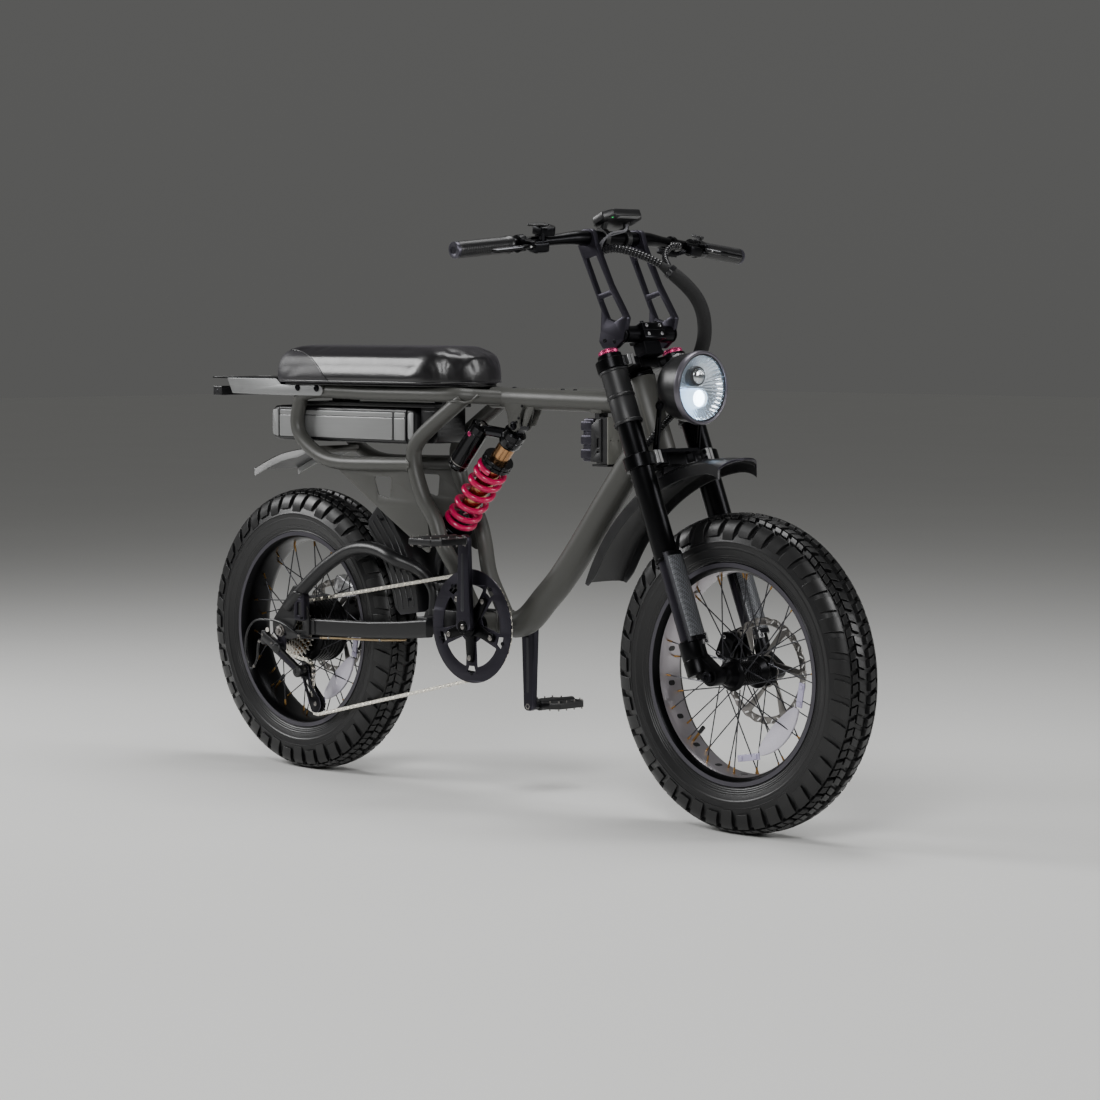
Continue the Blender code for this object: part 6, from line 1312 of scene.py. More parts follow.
@dataclass
class HubMotor:
    """The rear hub motor: a drum with spoke flanges, cover screws and the disc seat."""

    axle: Vector
    radius: float = 72 * MM
    half: float = 38 * MM
    disc_y: float = 58.5 * MM
    screws: int = 8

    def build(self) -> None:
        """Turns the drum and adds the screws of both covers."""
        bore = 7.3 * MM
        inner = self.radius - 8 * MM
        profile = [
            (bore, 79.6 * MM), (14 * MM, 79.6 * MM), (15 * MM, 66 * MM),
            (21.5 * MM, self.disc_y + 2 * MM), (21.5 * MM, self.disc_y - 1.3 * MM),
            (34 * MM, self.disc_y - 1.3 * MM), (36 * MM, self.half + 6 * MM),
            (inner - 8 * MM, self.half + 2.5 * MM), (inner - 7 * MM, self.half + 0.5 * MM),
            (inner, self.half), (self.radius - 1 * MM, self.half - 4 * MM),
            (self.radius, self.half - 6 * MM), (self.radius, self.half - 9 * MM),
            (self.radius - 3 * MM, self.half - 11 * MM),
        ]
        for k in range(5):
            y = 18 * MM - k * 9 * MM
            profile += [(self.radius - 3 * MM, y + 3 * MM), (self.radius - 1.6 * MM, y + 2 * MM)]
            profile += [(self.radius - 1.6 * MM, y - 2 * MM), (self.radius - 3 * MM, y - 3 * MM)]
        profile += [
            (self.radius - 3 * MM, -self.half + 11 * MM),
            (self.radius, -self.half + 9 * MM),
            (self.radius, -self.half + 6 * MM),
            (self.radius - 1 * MM, -self.half + 4 * MM),
            (inner, -self.half),
            (inner - 7 * MM, -self.half - 0.5 * MM),
            (inner - 8 * MM, -self.half - 2 * MM),
            (30 * MM, -self.half - 4 * MM),
            (24 * MM, -49 * MM),
            (bore, -49 * MM),
        ]
        made = Shape().lathe(profile, self.axle, ACROSS, 72, closed=True)
        made.use(1)
        for i in range(self.screws):
            a = TURN * (i + 0.5) / self.screws
            for side in SIDES:
                seat = Vector((58 * MM * math.cos(a), side * (self.half + 0.4 * MM), 58 * MM * math.sin(a)))
                made.bolt(self.axle + seat, ACROSS * side, 3.4 * MM, 2.4 * MM)
        made.build(
            "hub_motor_drum",
            "rear_wheel",
            (BLACK_ANODISED, STEEL_BLACK),
            ("hub_motor",),
            origin=self.axle,
            bevel=0.5 * MM,
            slot="black_metal",
        )


@dataclass
class Caliper:
    """A two-piece brake caliper over its disc, with its bolts and hose fitting."""

    name: str
    node_name: str
    body: str
    axle: Vector
    angle: float
    finish: Finish
    disc_radius: float = 101.5 * MM
    disc_y: float = 58.5 * MM

    def build(self) -> None:
        """Makes both halves, the piston caps, the bridge bolts and the fitting."""
        out = Vector((math.cos(self.angle), 0, math.sin(self.angle)))
        along = ACROSS.cross(out)
        centre = self.axle + out * (self.disc_radius - 4 * MM) + ACROSS * self.disc_y
        turn = Matrix((out, ACROSS, along)).transposed().to_4x4()
        made = Shape()
        half = in_mm([(-17.5, -22), (-17.5, 22), (2, 28.5), (17.5, 24), (17.5, -24), (2, -28.5)])
        for side in SIDES:
            plane = Matrix.Translation(centre + ACROSS * side * 9.6 * MM) @ turn
            plane = plane @ Matrix.Rotation(math.pi / 2, 4, "X")
            made.use(0).sheet([fillet(half, 6 * MM, 3)], 14.4 * MM, plane, 1.6 * MM)
            cap = centre + ACROSS * side * 16.2 * MM - out * 4 * MM
            made.lathe(in_mm([(13, -2), (13, 0), (11.5, 0.7), (0, 0.7)]), cap, ACROSS * side)
            made.use(1)
            for end in SIDES:
                seat = centre + along * end * 17 * MM + out * 9 * MM + ACROSS * side * 16 * MM
                made.bolt(seat, ACROSS * side, 4 * MM, 1 * MM)
        bridge = Matrix.Translation(centre + out * 12.5 * MM) @ turn
        made.use(0).block(mm(9, 12, 34), bridge)
        made.use(1)
        for end in SIDES:
            seat = centre + along * end * 22 * MM + out * 12 * MM
            made.bolt(seat, out, 4 * MM, 5 * MM)
        made.build(
            self.name,
            self.body,
            (self.finish, SILVER_MACHINED),
            (self.node_name,),
            bevel=0.5 * MM,
            slot="black_metal",
        )


@dataclass
class Fork:
    """The dual-crown fork: crowns, upper tubes, lowers, knobs and the axle."""

    clamp_wall: float = 7 * MM
    leg: float = 23.2 * MM
    lower_crown: float = 431.5 * MM
    upper_crown: float = 627.5 * MM
    lower_thick: float = 26 * MM
    upper_thick: float = 21 * MM
    leg_bottom: float = 235 * MM
    leg_top: float = 648 * MM
    sleeve: float = 26 * MM
    sleeve_bottom: float = 508 * MM
    stanchion: float = 19 * MM
    casting_top: float = 80 * MM

    def crown(self, made: Shape, height: float, thick: float, bolts: Sequence[float]) -> None:
        """Adds one crown: a scalloped bridge, split clamps with bright ears and their bolts.

        Args:
            made: The shape that takes it.
            height: Its height along the legs.
            thick: Its thickness.
            bolts: The heights of the clamp bolts, from the crown's middle.
        """
        ring = self.leg + self.clamp_wall
        place = fork_frame(height)
        front, back = 25.5 * MM, -33.5 * MM
        waist = [
            (front, -60 * MM), (front, -38 * MM), (15 * MM, -26 * MM), (15 * MM, 26 * MM),
            (front, 38 * MM), (front, 60 * MM), (back + 4 * MM, 70 * MM), (back, 46 * MM),
            (back - 4 * MM, 24 * MM), (back - 4 * MM, -24 * MM), (back, -46 * MM),
            (back + 4 * MM, -70 * MM),
        ]
        outline = fillet([(u, v) for u, v in waist], 9 * MM, 4)
        made.use(0).sheet([outline], thick * 0.88, place, 1.2 * MM)
        web = [(u * 0.7 - 2 * MM, v * 0.55) for u, v in outline]
        made.sheet([web], thick * 0.96, place, 0.8 * MM)
        for side in SIDES:
            y = side * LEG_Y
            low = -thick / 2
            band = [
                (self.leg + 0.4 * MM, low), (ring - 1 * MM, low), (ring, low + 1 * MM),
                (ring, -low - 1 * MM), (ring - 1 * MM, -low), (self.leg + 0.4 * MM, -low),
            ]
            made.use(0).lathe(band, on_fork(height, 0, y), UP, 56, closed=True)
            ear = fork_frame(height, ring - 3.6 * MM, y - side * 17.5 * MM)
            made.use(1).block((19 * MM, 16 * MM, thick * 0.97), ear)
            made.use(0).block((20 * MM, 1.4 * MM, thick * 0.975), ear)
            for level in bolts:
                seat = on_fork(height + level, ring + 1 * MM, y - side * 18.5 * MM)
                made.use(2).bolt(seat - ACROSS * side * 6.2 * MM, -ACROSS * side, 4.4 * MM, 3 * MM)
                made.use(2).rod(seat - AHEAD * 2 * MM, seat + AHEAD * 4.2 * MM, 4.0 * MM, 16)
        star = on_steerer(height + thick / 2)
        made.use(0).lathe([(21 * MM, -thick), (21 * MM, 0), (20 * MM, 1 * MM), (0, 1 * MM)], star, UP, 40)

    def crowns(self) -> None:
        """Both crowns, the steerer between them and the headlight's bracket."""
        made = Shape()
        self.crown(made, self.lower_crown, self.lower_thick, (-6.5 * MM, 6.5 * MM))
        self.crown(made, self.upper_crown, self.upper_thick, (0.0,))
        made.use(0).rod(on_steerer(self.lower_crown), on_steerer(self.upper_crown), 14.3 * MM, 32)
        foot_height = self.lower_crown + self.lower_thick / 2 + 1 * MM
        foot = on_steerer(foot_height, 38 * MM)
        made.block(mm(14, 118, 7), fork_frame(foot_height, 18 * MM))
        span = 56.55 * MM
        for side in SIDES:
            y = side * span
            start = Vector((foot.x, y, foot.z))
            end = Vector((LAMP_PIVOT.x, y, LAMP_PIVOT.z))
            run = end - start
            tilt = math.atan2(run.x, run.z)
            lean = Matrix.Translation(start) @ Matrix.Rotation(tilt, 4, "Y")
            lean = lean @ Matrix.Rotation(math.pi / 2, 4, "X")
            strut = [
                (-7 * MM, -3 * MM), (7 * MM, -3 * MM), (5 * MM, run.length - 6 * MM),
                (-5 * MM, run.length - 6 * MM),
            ]
            slit = [
                (-1.6 * MM, 14 * MM), (1.6 * MM, 14 * MM), (1.4 * MM, run.length - 22 * MM),
                (-1.4 * MM, run.length - 22 * MM),
            ]
            made.use(0).sheet([strut, fillet(slit, 1.4 * MM, 3)], 4 * MM, lean, 0.5 * MM)
            made.rod(end - ACROSS * 2 * MM, end + ACROSS * 2 * MM, 9 * MM, 32)
            made.use(2).bolt(start + run * 0.02 + ACROSS * side * 2 * MM, ACROSS * side, 3.4 * MM, 1.0 * MM)
            made.use(2).bolt(end + ACROSS * side * 1.8 * MM, ACROSS * side, 6.2 * MM, 1.4 * MM)
        made.build(
            "fork_crowns_and_lamp_bracket",
            "steering",
            (BLACK_ANODISED, SILVER_MACHINED, STEEL_BLACK),
            ("fork_crowns",),
            bevel=0.6 * MM,
            slot="black_metal",
        )

    def upper_tube(self, side: int) -> None:
        """One upper tube with its ringed sleeve and wiper."""
        foot = on_fork(0, 0, side * LEG_Y)
        top = self.upper_crown - self.upper_thick / 2 - GAP
        band = self.sleeve + 2.2 * MM
        mid = (self.sleeve_bottom + top) / 2
        tube = [
            (0.0, self.leg_top),
            (self.leg - 1 * MM, self.leg_top),
            (self.leg, self.leg_top - 1 * MM),
            (self.leg, self.leg_bottom + 9 * MM),
            (self.leg - 0.6 * MM, self.leg_bottom + 8 * MM),
            (self.leg - 0.6 * MM, self.leg_bottom + 7 * MM),
            (self.leg, self.leg_bottom + 6 * MM),
            (self.leg, self.leg_bottom + 1 * MM),
            (self.leg - 1.4 * MM, self.leg_bottom),
            (self.stanchion + 0.4 * MM, self.leg_bottom),
            (self.stanchion + 0.4 * MM, 470 * MM),
        ]
        made = Shape().lathe(tube, foot, UP, 56)
        made.use(1)
        sleeve = [(self.leg, top), (band - 0.6 * MM, top), (band, top - 1 * MM), (band, top - 4.6 * MM)]
        sleeve += [
            (self.sleeve, top - 6 * MM), (self.sleeve, mid + 4 * MM), (band - 0.8 * MM, mid + 2.4 * MM)
        ]
        sleeve += [(band - 0.8 * MM, mid - 1 * MM), (self.sleeve - 0.8 * MM, mid - 2.4 * MM)]
        sleeve += [(self.sleeve, mid - 5 * MM), (self.sleeve, self.sleeve_bottom + 7 * MM)]
        sleeve += [(band, self.sleeve_bottom + 5 * MM), (band, self.sleeve_bottom + 0.8 * MM)]
        sleeve += [(band - 0.8 * MM, self.sleeve_bottom), (self.leg, self.sleeve_bottom)]
        made.lathe(sleeve, foot, UP, 56)
        for height in (self.sleeve_bottom + 3 * MM, mid + 1 * MM):
            seat = on_fork(height, -self.sleeve - 1.4 * MM, side * LEG_Y)
            made.rod(seat, seat - AHEAD * 4 * MM, 4 * MM, 12)
        label = LABELS[side]
        made.build(
            f"fork_upper_tube_{label}",
            "steering",
            (BLACK_ANODISED, SLEEVE_BLACK),
            (f"fork_upper_{label}",),
            bevel=0.3 * MM,
            slot="black_metal",
        )

    def knob(self, side: int, node_name: str) -> None:
        """One thin knurled top knob with its hex recess."""
        seat = on_fork(self.leg_top + GAP, 0, side * LEG_Y)
        radius, tall, teeth = 19.5 * MM, 10 * MM, 30
        rim = []
        for k in range(teeth * 4):
            deep = 1.1 * MM if k % 4 in (0, 1) else 0.0
            a = TURN * k / (teeth * 4)
            rim.append(((radius - deep) * math.cos(a), (radius - deep) * math.sin(a)))
        base = facing(seat + UP * tall * 0.42, UP)
        made = Shape().sheet([rim], tall * 0.8, base, 0.8 * MM)
        dome = [(radius - 3 * MM, 0), (radius - 3 * MM, tall * 0.9), (radius - 5 * MM, tall)]
        dome += [(6 * MM, tall), (5 * MM, tall - 1.6 * MM), (0, tall - 1.6 * MM)]
        made.lathe(dome, seat, UP, 48)
        made.use(1).bolt(seat + UP * (tall - 3.6 * MM), UP, 4 * MM, 3 * MM)
        made.build(
            f"{node_name}_knurled",
            node_name,
            (PINK_ANODISED, STEEL_BLACK),
            (node_name,),
            bevel=0.25 * MM,
            slot="pink_metal",
        )

    def lower(self, side: int) -> None:
        """One stanchion in its casting, with the framed guard and the axle arm."""
        y = side * LEG_Y
        foot = on_fork(0, 0, y)
        made = Shape()
        made.use(2).lathe(
            [(self.stanchion, 70 * MM), (self.stanchion, 388 * MM), (0, 390 * MM)], foot, UP, 48
        )
        cast = self.leg + 1 * MM
        casting = [
            (0.0, 12 * MM), (cast - 2 * MM, 12 * MM), (cast, 15 * MM), (cast, 40 * MM),
            (cast - 1 * MM, 42 * MM), (cast, 44 * MM), (cast, self.casting_top - 3 * MM),
            (cast - 3 * MM, self.casting_top), (self.stanchion, self.casting_top),
        ]
        made.use(0).lathe(casting, foot, UP, 48)
        hub_half = 69.3 * MM
        width = LEG_Y + 10 * MM - hub_half
        centre = FRONT_AXLE + ACROSS * side * (hub_half + width / 2)
        plane = tilted(centre, -FORK_LEAN) @ Matrix.Rotation(math.pi / 2, 4, "X")
        link = capsule((0, 0), (-AXLE_LEAD, 42 * MM), 17.5 * MM, 17 * MM, 14)
        made.sheet([link, circle(7.8 * MM)], width, plane, 1.6 * MM)
        inner, outer = self.leg + 3.5 * MM, self.leg + 5.9 * MM
        low, high = self.casting_top - 6 * MM, self.leg_bottom + 14 * MM
        span = math.radians(58)
        for first, last, kind, lift in (
            (-span, span, 0, 0.0),
            (-math.radians(44), math.radians(50), 1, 0.15 * MM),
        ):
            rim = arc(outer + lift, first, last, 24) + arc(inner, last, first, 24)
            rim = [(u, v * -side) for u, v in rim]
            ends = (low + lift * 60, high - lift * 60)
            place = fork_frame(sum(ends) / 2, 0, y)
            made.use(kind).sheet([rim], ends[1] - ends[0], place, 0.0)
        made.use(0)
        rail = [on_fork(h, math.cos(span) * outer, y - side * math.sin(span) * outer) for h in (low, high)]
        made.rod(rail[0], rail[1], 1.6 * MM, 10)
        toe = fork_frame(low + 4 * MM, self.leg - 1 * MM, y)
        made.use(0).block(mm(14, 24, 8), toe)
        clamp = fork_frame(low + 2 * MM, self.leg - 4 * MM, y - side * 11 * MM)
        made.use(3).block(mm(17, 15, 21), clamp)
        made.use(4)
        for level in (-4 * MM, 8 * MM):
            seat = on_fork(low + level, self.leg + 3.4 * MM, y - side * 11 * MM)
            made.bolt(seat, AHEAD, 3.6 * MM, 2.4 * MM)
        made.use(0).lathe(in_mm([(9, 0), (9, -6), (6, -8), (0, -8)]), on_fork(12 * MM, 0, y), UP, 6)
        if side > 0:
            mount = on_fork(70 * MM, -34 * MM, 82 * MM)
            lean = tilted(mount, -FORK_LEAN)
            made.block(mm(30, 10, 62), lean)
        label = LABELS[side]
        made.build(
            f"fork_lower_leg_{label}",
            "fork_lower",
            (BLACK_ANODISED, CARBON, GREY_ANODISED, SILVER_MACHINED, STEEL_BLACK),
            (f"fork_lower_{label}",),
            bevel=0.8 * MM,
            slot="black_metal",
        )

    def axle(self) -> None:
        """The through axle with its chamfered end nuts."""
        end = LEG_Y + 10.3 * MM
        made = Shape().rod(FRONT_AXLE - ACROSS * end, FRONT_AXLE + ACROSS * end, 7.5 * MM, 32)
        for side in SIDES:
            seat = FRONT_AXLE + ACROSS * side * end
            made.lathe(in_mm([(11, 0), (11, 6.5), (9.5, 8), (5.5, 8)]), seat, ACROSS * side, 36)
            made.lathe(in_mm([(5.5, 8), (5.5, 3), (0, 3)]), seat, ACROSS * side, 6)
        made.build(
            "front_through_axle", "fork_lower", STEEL_BLACK, (
                "front_axle",
            ), bevel=0.4 * MM, slot="black_metal"
        )

    def build(self) -> None:
        """Makes the whole fork."""
        self.crowns()
        for side, knob in zip(SIDES, ("preload_knob", "lockout_knob")):
            self.upper_tube(side)
            self.knob(side, knob)
            self.lower(side)
        self.axle()


@dataclass
class Headlight:
    """The round headlight: bowl, bezel, fluted reflector, two projectors and the lens."""

    radius: float = 70 * MM
    depth: float = 88 * MM
    mouth: float = 63 * MM
    projector: float = 17.5 * MM
    flutes: int = 44

    def face(self) -> Vector:
        """The middle of the lamp's front face."""
        return LAMP_PIVOT + mm(60, 0, 34)

    def bowl(self) -> None:
        """The black bowl with its satin bezel, and the two pivot ears."""
        back = self.face() - FORWARD * self.depth
        r, d = self.radius, self.depth
        skin = smooth_line(in_mm([(0, 0, 0), (30, 2, 0), (52, 16, 0), (63, 40, 0), (67, 74, 0)]), 6)
        profile = [(p.x, p.y) for p in skin]
        made = Shape().lathe(profile + [(67 * MM, d - 12 * MM), (64 * MM, d - 12 * MM)], back, FORWARD, 72)
        made.use(1)
        bezel = [
            (64 * MM, d - 14 * MM), (r - 2 * MM, d - 13 * MM), (r, d - 11 * MM), (r, d - 4 * MM),
            (r - 1.5 * MM, d - 1 * MM), (r - 3.5 * MM, d), (r - 6 * MM, d - 1 * MM),
            (self.mouth, d - 4 * MM), (self.mouth, d - 9 * MM),
        ]
        made.lathe(bezel, back, FORWARD, 72)
        made.use(2)
        gasket = [(self.mouth + 0.1 * MM, d - 3.6 * MM), (self.mouth - 2 * MM, d - 2.6 * MM)]
        made.lathe(gasket + [(self.mouth - 2 * MM, d - 7 * MM)], back, FORWARD, 72)
        made.use(0)
        for side in SIDES:
            place = LAMP_PIVOT + ACROSS * side * 52.2 * MM
            lug = capsule((0, 0), (4 * MM, 20 * MM), 10 * MM, 9 * MM, 10)
            made.sheet([lug], 4 * MM, side_on(place), 0.6 * MM)
        made.rod(back + FORWARD * 6 * MM, back + FORWARD * 1 * MM, 9 * MM, 20)
        made.build(
            "headlight_bowl",
            "headlight",
            (ABS_BLACK, PALE_BEZEL, ABS_BLACK),
            ("headlight_shell",),
            bevel=0.3 * MM,
            slot="black_metal",
        )

    def optics(self) -> None:
        """The fluted reflector and both projectors."""
        face = self.face()
        made = Shape()
        rings = []
        bowl = (
            (34, 0.5),
            (33, 16),
            (30, 30),
            (24, 46),
            (14, 57),
            (7, 61.6),
            (7, 62.2),
            (26, 48),
            (36, 12),
            (36, 0.5),
        )
        for depth, radius in bowl:
            ring = []
            for k in range(self.flutes * 6):
                a = TURN * k / (self.flutes * 6)
                wave = abs(math.sin(self.flutes * a / 2)) * 1.5 * MM * min(1.0, max(0.0, radius - 2) / 50)
                r = radius * MM - wave
                ring.append(face + Vector((-depth * MM, r * math.cos(a), r * math.sin(a))))
            rings.append(ring)
        # The fluted bowl takes the mirror finish with its faint painted glow.
        made.grid(rings, True, True, False)
        for height, lit in ((22 * MM, False), (-20 * MM, True)):
            start = face + Vector((-36 * MM, 0, height))
            r = self.projector
            barrel = [(r + 1.5 * MM, 0), (r + 1.5 * MM, 21 * MM), (r, 24 * MM), (r - 2 * MM, 24 * MM)]
            # The lit projector's barrel takes the painted LED glow; the dark one stays plain.
            made.use(3 if lit else 1).lathe(barrel, start, FORWARD, 48)
            dome = []
            for k in range(9):
                a = math.pi / 2 * k / 8
                dome.append(((r - 2 * MM) * math.cos(a), 22.5 * MM + 5.5 * MM * math.sin(a)))
            made.use(2 if lit else 4).lathe(dome, start, FORWARD, 48)
        fin = face + mm(-20, 0, 1)
        made.use(0).block(mm(20, 30, 4), fin)
        made.build(
            "headlight_optics",
            "headlight",
            (LAMP_MIRROR_PAINTED_GLOW, ABS_BLACK, LED_LIT, PAINTED_LED_HALO, CHROME),
            slot="pale_metal",
        )
        back = face - FORWARD * self.depth
        d, m = self.depth, self.mouth - GAP
        pane = [(0.0, d + 3 * MM), (20 * MM, d + 2.6 * MM), (40 * MM, d + 1.5 * MM), (m, d - 1 * MM)]
        pane += [(m, d - 4 * MM), (40 * MM, d - 1.5 * MM), (20 * MM, d - 0.4 * MM), (0.0, d)]
        lens = Shape().lathe(pane, back, FORWARD, 72)
        lens.build("headlight_pane", "headlight", CLEAR_PC, ("headlight_lens",), slot="clear")

    def build(self) -> None:
        """Makes the lamp."""
        self.bowl()
        self.optics()


STEM_BAR = on_steerer(680.3 * MM, 46.4 * MM)
BAR_CENTRE = STEM_BAR + mm(-90, 0, 183)


@dataclass
class Cockpit:
    """Everything at the handlebar: riser, bar, grips, levers, switches and display."""

    bar_width: float = 786 * MM
    bar_radius: float = 14.5 * MM
    end_radius: float = 11.1 * MM
    straight: float = 200 * MM
    sweep: float = 27 * MM
    drop: float = 28 * MM
    grip_length: float = 135 * MM
    grip_radius: float = 15.8 * MM
    perch_y: float = 236 * MM
    shifter_y: float = 186 * MM
    keypad_y: float = 170 * MM
    droop: float = 0.22

    def bar_point(self, y: float) -> Vector:
        """A point on the bar's axis at a distance across the bicycle."""
        share = max(0.0, abs(y) - self.straight / 2) / (self.bar_width / 2 - self.straight / 2)
        return BAR_CENTRE + Vector((-self.sweep * share, y, -self.drop * share))

    def outward(self, side: int) -> Vector:
        """The direction of one grip."""
        return (self.bar_point(side * 0.39) - self.bar_point(side * 0.26)).normalized()

    def station(self, side: int, y: float) -> tuple[Vector, Vector, Vector, Vector]:
        """A place on the bar with its directions outwards, ahead and down."""
        out = self.outward(side)
        ahead = Vector((math.cos(self.droop), 0, -math.sin(self.droop)))
        ahead = (ahead - out * ahead.dot(out)).normalized()
        return self.bar_point(side * y), out, ahead, ahead.cross(out) * side

    def riser(self) -> None:
        """Both skeleton plates, the lower cross bar, its neck and the caps of the bar clamps."""
        top = (BAR_CENTRE.x - STEM_BAR.x, BAR_CENTRE.z - STEM_BAR.z)
        outline = [
            (-52, 6), (-56, -14), (-46, -27.5), (-12, -27.5), (8, -12), (19, 31), (8, 48),
            (-25, 96), (top[0] / MM + 26, top[1] / MM - 12, 16),
            (top[0] / MM + 16, top[1] / MM + 18, 14), (top[0] / MM - 16, top[1] / MM + 18, 14),
            (top[0] / MM - 25, top[1] / MM - 12, 16), (-83, 110), (-50, 45),
        ]
        windows = [
            [(-92, 144), (-64, 149), (-27, 84), (-58, 76)],
            [(-54, 66), (-22, 74), (6, 34), (-14, 24), (-34, 30)],
        ]
        scaled = in_mm(outline)
        holes = [fillet(in_mm(w), 2.5 * MM, 3) for w in windows]
        made = Shape()
        for side in SIDES:
            place = side_on(STEM_BAR, side * 66 * MM)
            made.use(0).sheet([fillet(scaled, 6 * MM, 4)] + holes, 12 * MM, place, 1.8 * MM)
            for height in (12 * MM, -15 * MM):
                seat = BAR_CENTRE + Vector((-21.5 * MM, side * 66 * MM, height * 0.6))
                made.use(2).bolt(seat, (-1, 0, 0), 3.4 * MM, 2 * MM)
            for u, v in ((-40, -12), (-14, -14)):
                seat = STEM_BAR + Vector((u * MM, side * 72 * MM, v * MM))
                made.use(2).bolt(seat, ACROSS * side, 4.2 * MM, 1.0 * MM)
            cap = in_mm([(16.5, 0), (16.5, 3), (14.5, 4.4), (9, 4.4)])
            end = STEM_BAR + ACROSS * side * 66 * MM
            made.use(1).lathe(cap + [(7 * MM, 2 * MM), (0, 2 * MM)], end, ACROSS * side, 36)
        made.use(1).rod(STEM_BAR - ACROSS * 62 * MM, STEM_BAR + ACROSS * 62 * MM, 16.5 * MM, 40)
        head = tilted(STEM_BAR, -FORK_LEAN)
        block = rounded(23, 17, 5, 4)
        face = in_mm(block)
        plane = head @ Matrix.Rotation(math.pi / 2, 4, "X")
        made.sheet([face], 57 * MM, plane, 1.5 * MM)
        split = head @ Matrix.Translation((0, 0, 1 * MM))
        made.use(2).block(mm(46.6, 57.6, 1.0), split)
        low = 627.5 * MM + 9.75 * MM
        tall = 680.3 * MM - low
        neck = tilted(on_steerer(low + tall / 2, 40.4 * MM), -FORK_LEAN)
        made.use(1).block((30 * MM, 44 * MM, tall), neck)
        foot = tilted(on_steerer(low + 3.5 * MM, 36 * MM), -FORK_LEAN)
        made.block(mm(40, 48, 7), foot)
        for side in SIDES:
            for ahead in (-13 * MM, 13 * MM):
                seat = on_steerer(680.3 * MM + 16.5 * MM, 46.4 * MM + ahead, side * 18 * MM)
                made.use(2).bolt(seat, UP, 4.4 * MM, 5 * MM)
            for level in (-8 * MM, 9 * MM):
                seat = on_steerer(680.3 * MM + level, 46.4 * MM + 22.6 * MM, side * 18 * MM)
                made.use(3).bolt(seat, AHEAD, 3.6 * MM, 2.6 * MM)
        made.build(
            "bar_riser_plates",
            "steering",
            (GREY_ANODISED, BLACK_ANODISED, STEEL_BLACK, SILVER_MACHINED),
            ("handlebar_riser",),
            bevel=0.5 * MM,
            slot="grey_metal",
        )

    def bar(self) -> None:
        """The swept bar, thicker where it is clamped, and both grips with their end rings."""
        half = self.bar_width / 2
        ys = [-half + 6 * MM, -0.30, -0.20, -0.145, -0.115, -0.085, 0, 0.085, 0.115, 0.145, 0.20, 0.30]
        ys.append(half - 6 * MM)
        sizes = []
        for y in ys:
            thick = min(1.0, max(0.0, (0.145 - abs(y)) / 0.06))
            sizes.append(self.end_radius + (self.bar_radius - self.end_radius) * thick)
        made = Shape().swept([self.bar_point(y) for y in ys], sizes)
        made.build("handlebar_tube", "steering", BLACK_ANODISED, ("handlebar",), slot="black_metal")
        for side in SIDES:
            start = self.bar_point(side * (half - self.grip_length))
            r, long = self.grip_radius, self.grip_length
            profile = [(self.end_radius + 1 * MM, 0), (r + 1 * MM, 0), (r + 1.5 * MM, 1 * MM)]
            profile += [(r + 1.5 * MM, 8 * MM), (r + 0.8 * MM, 10 * MM)]
            for k in range(26):
                z = 13 * MM + k * 4.2 * MM
                profile += [
                    (r, z), (r, z + 3.2 * MM), (r - 0.25 * MM, z + 3.5 * MM), (r - 0.25 * MM, z + 3.9 * MM)
                ]
            profile += [(r, long - 9 * MM), (r - 1 * MM, long - 8 * MM)]
            grip = Shape().lathe(profile, start, self.outward(side), 40)
            ring = [(r - 1 * MM, long - 8 * MM), (r, long - 7.5 * MM), (r, long - 1.5 * MM)]
            ring += [(r - 1.5 * MM, long), (8 * MM, long), (6.5 * MM, long - 1 * MM)]
            grip.use(1).lathe(ring, start, self.outward(side), 40)
            grip.lathe([(6.5 * MM, long - 1 * MM), (0, long - 1 * MM)], start, self.outward(side), 24)
            grip.use(2).lathe(
                [(3.6 * MM, long - 0.8 * MM), (0, long - 4 * MM)], start, self.outward(side), 6
            )
            grip.build(
                f"grip_sleeve_{LABELS[side]}",
                "steering",
                (GRIP_RUBBER, GREY_ANODISED, STEEL_BLACK),
                (f"grip_{LABELS[side]}",),
                angle=40,
                slot="rubber",
            )

    def band(self, made: Shape, side: int, y: float, width: float, wall: float) -> None:
        """Adds a clamp band round the bar's slim end, with its pinch bolt."""
        point, out = self.station(side, y)[:2]
        inner, outer = self.end_radius + GAP, self.end_radius + wall
        edge = 0.8 * MM
        profile = [
            (inner, -width / 2), (outer - edge, -width / 2), (outer, -width / 2 + edge),
            (outer, width / 2 - edge), (outer - edge, width / 2), (inner, width / 2),
        ]
        made.lathe(profile, point, out, 36, closed=True)

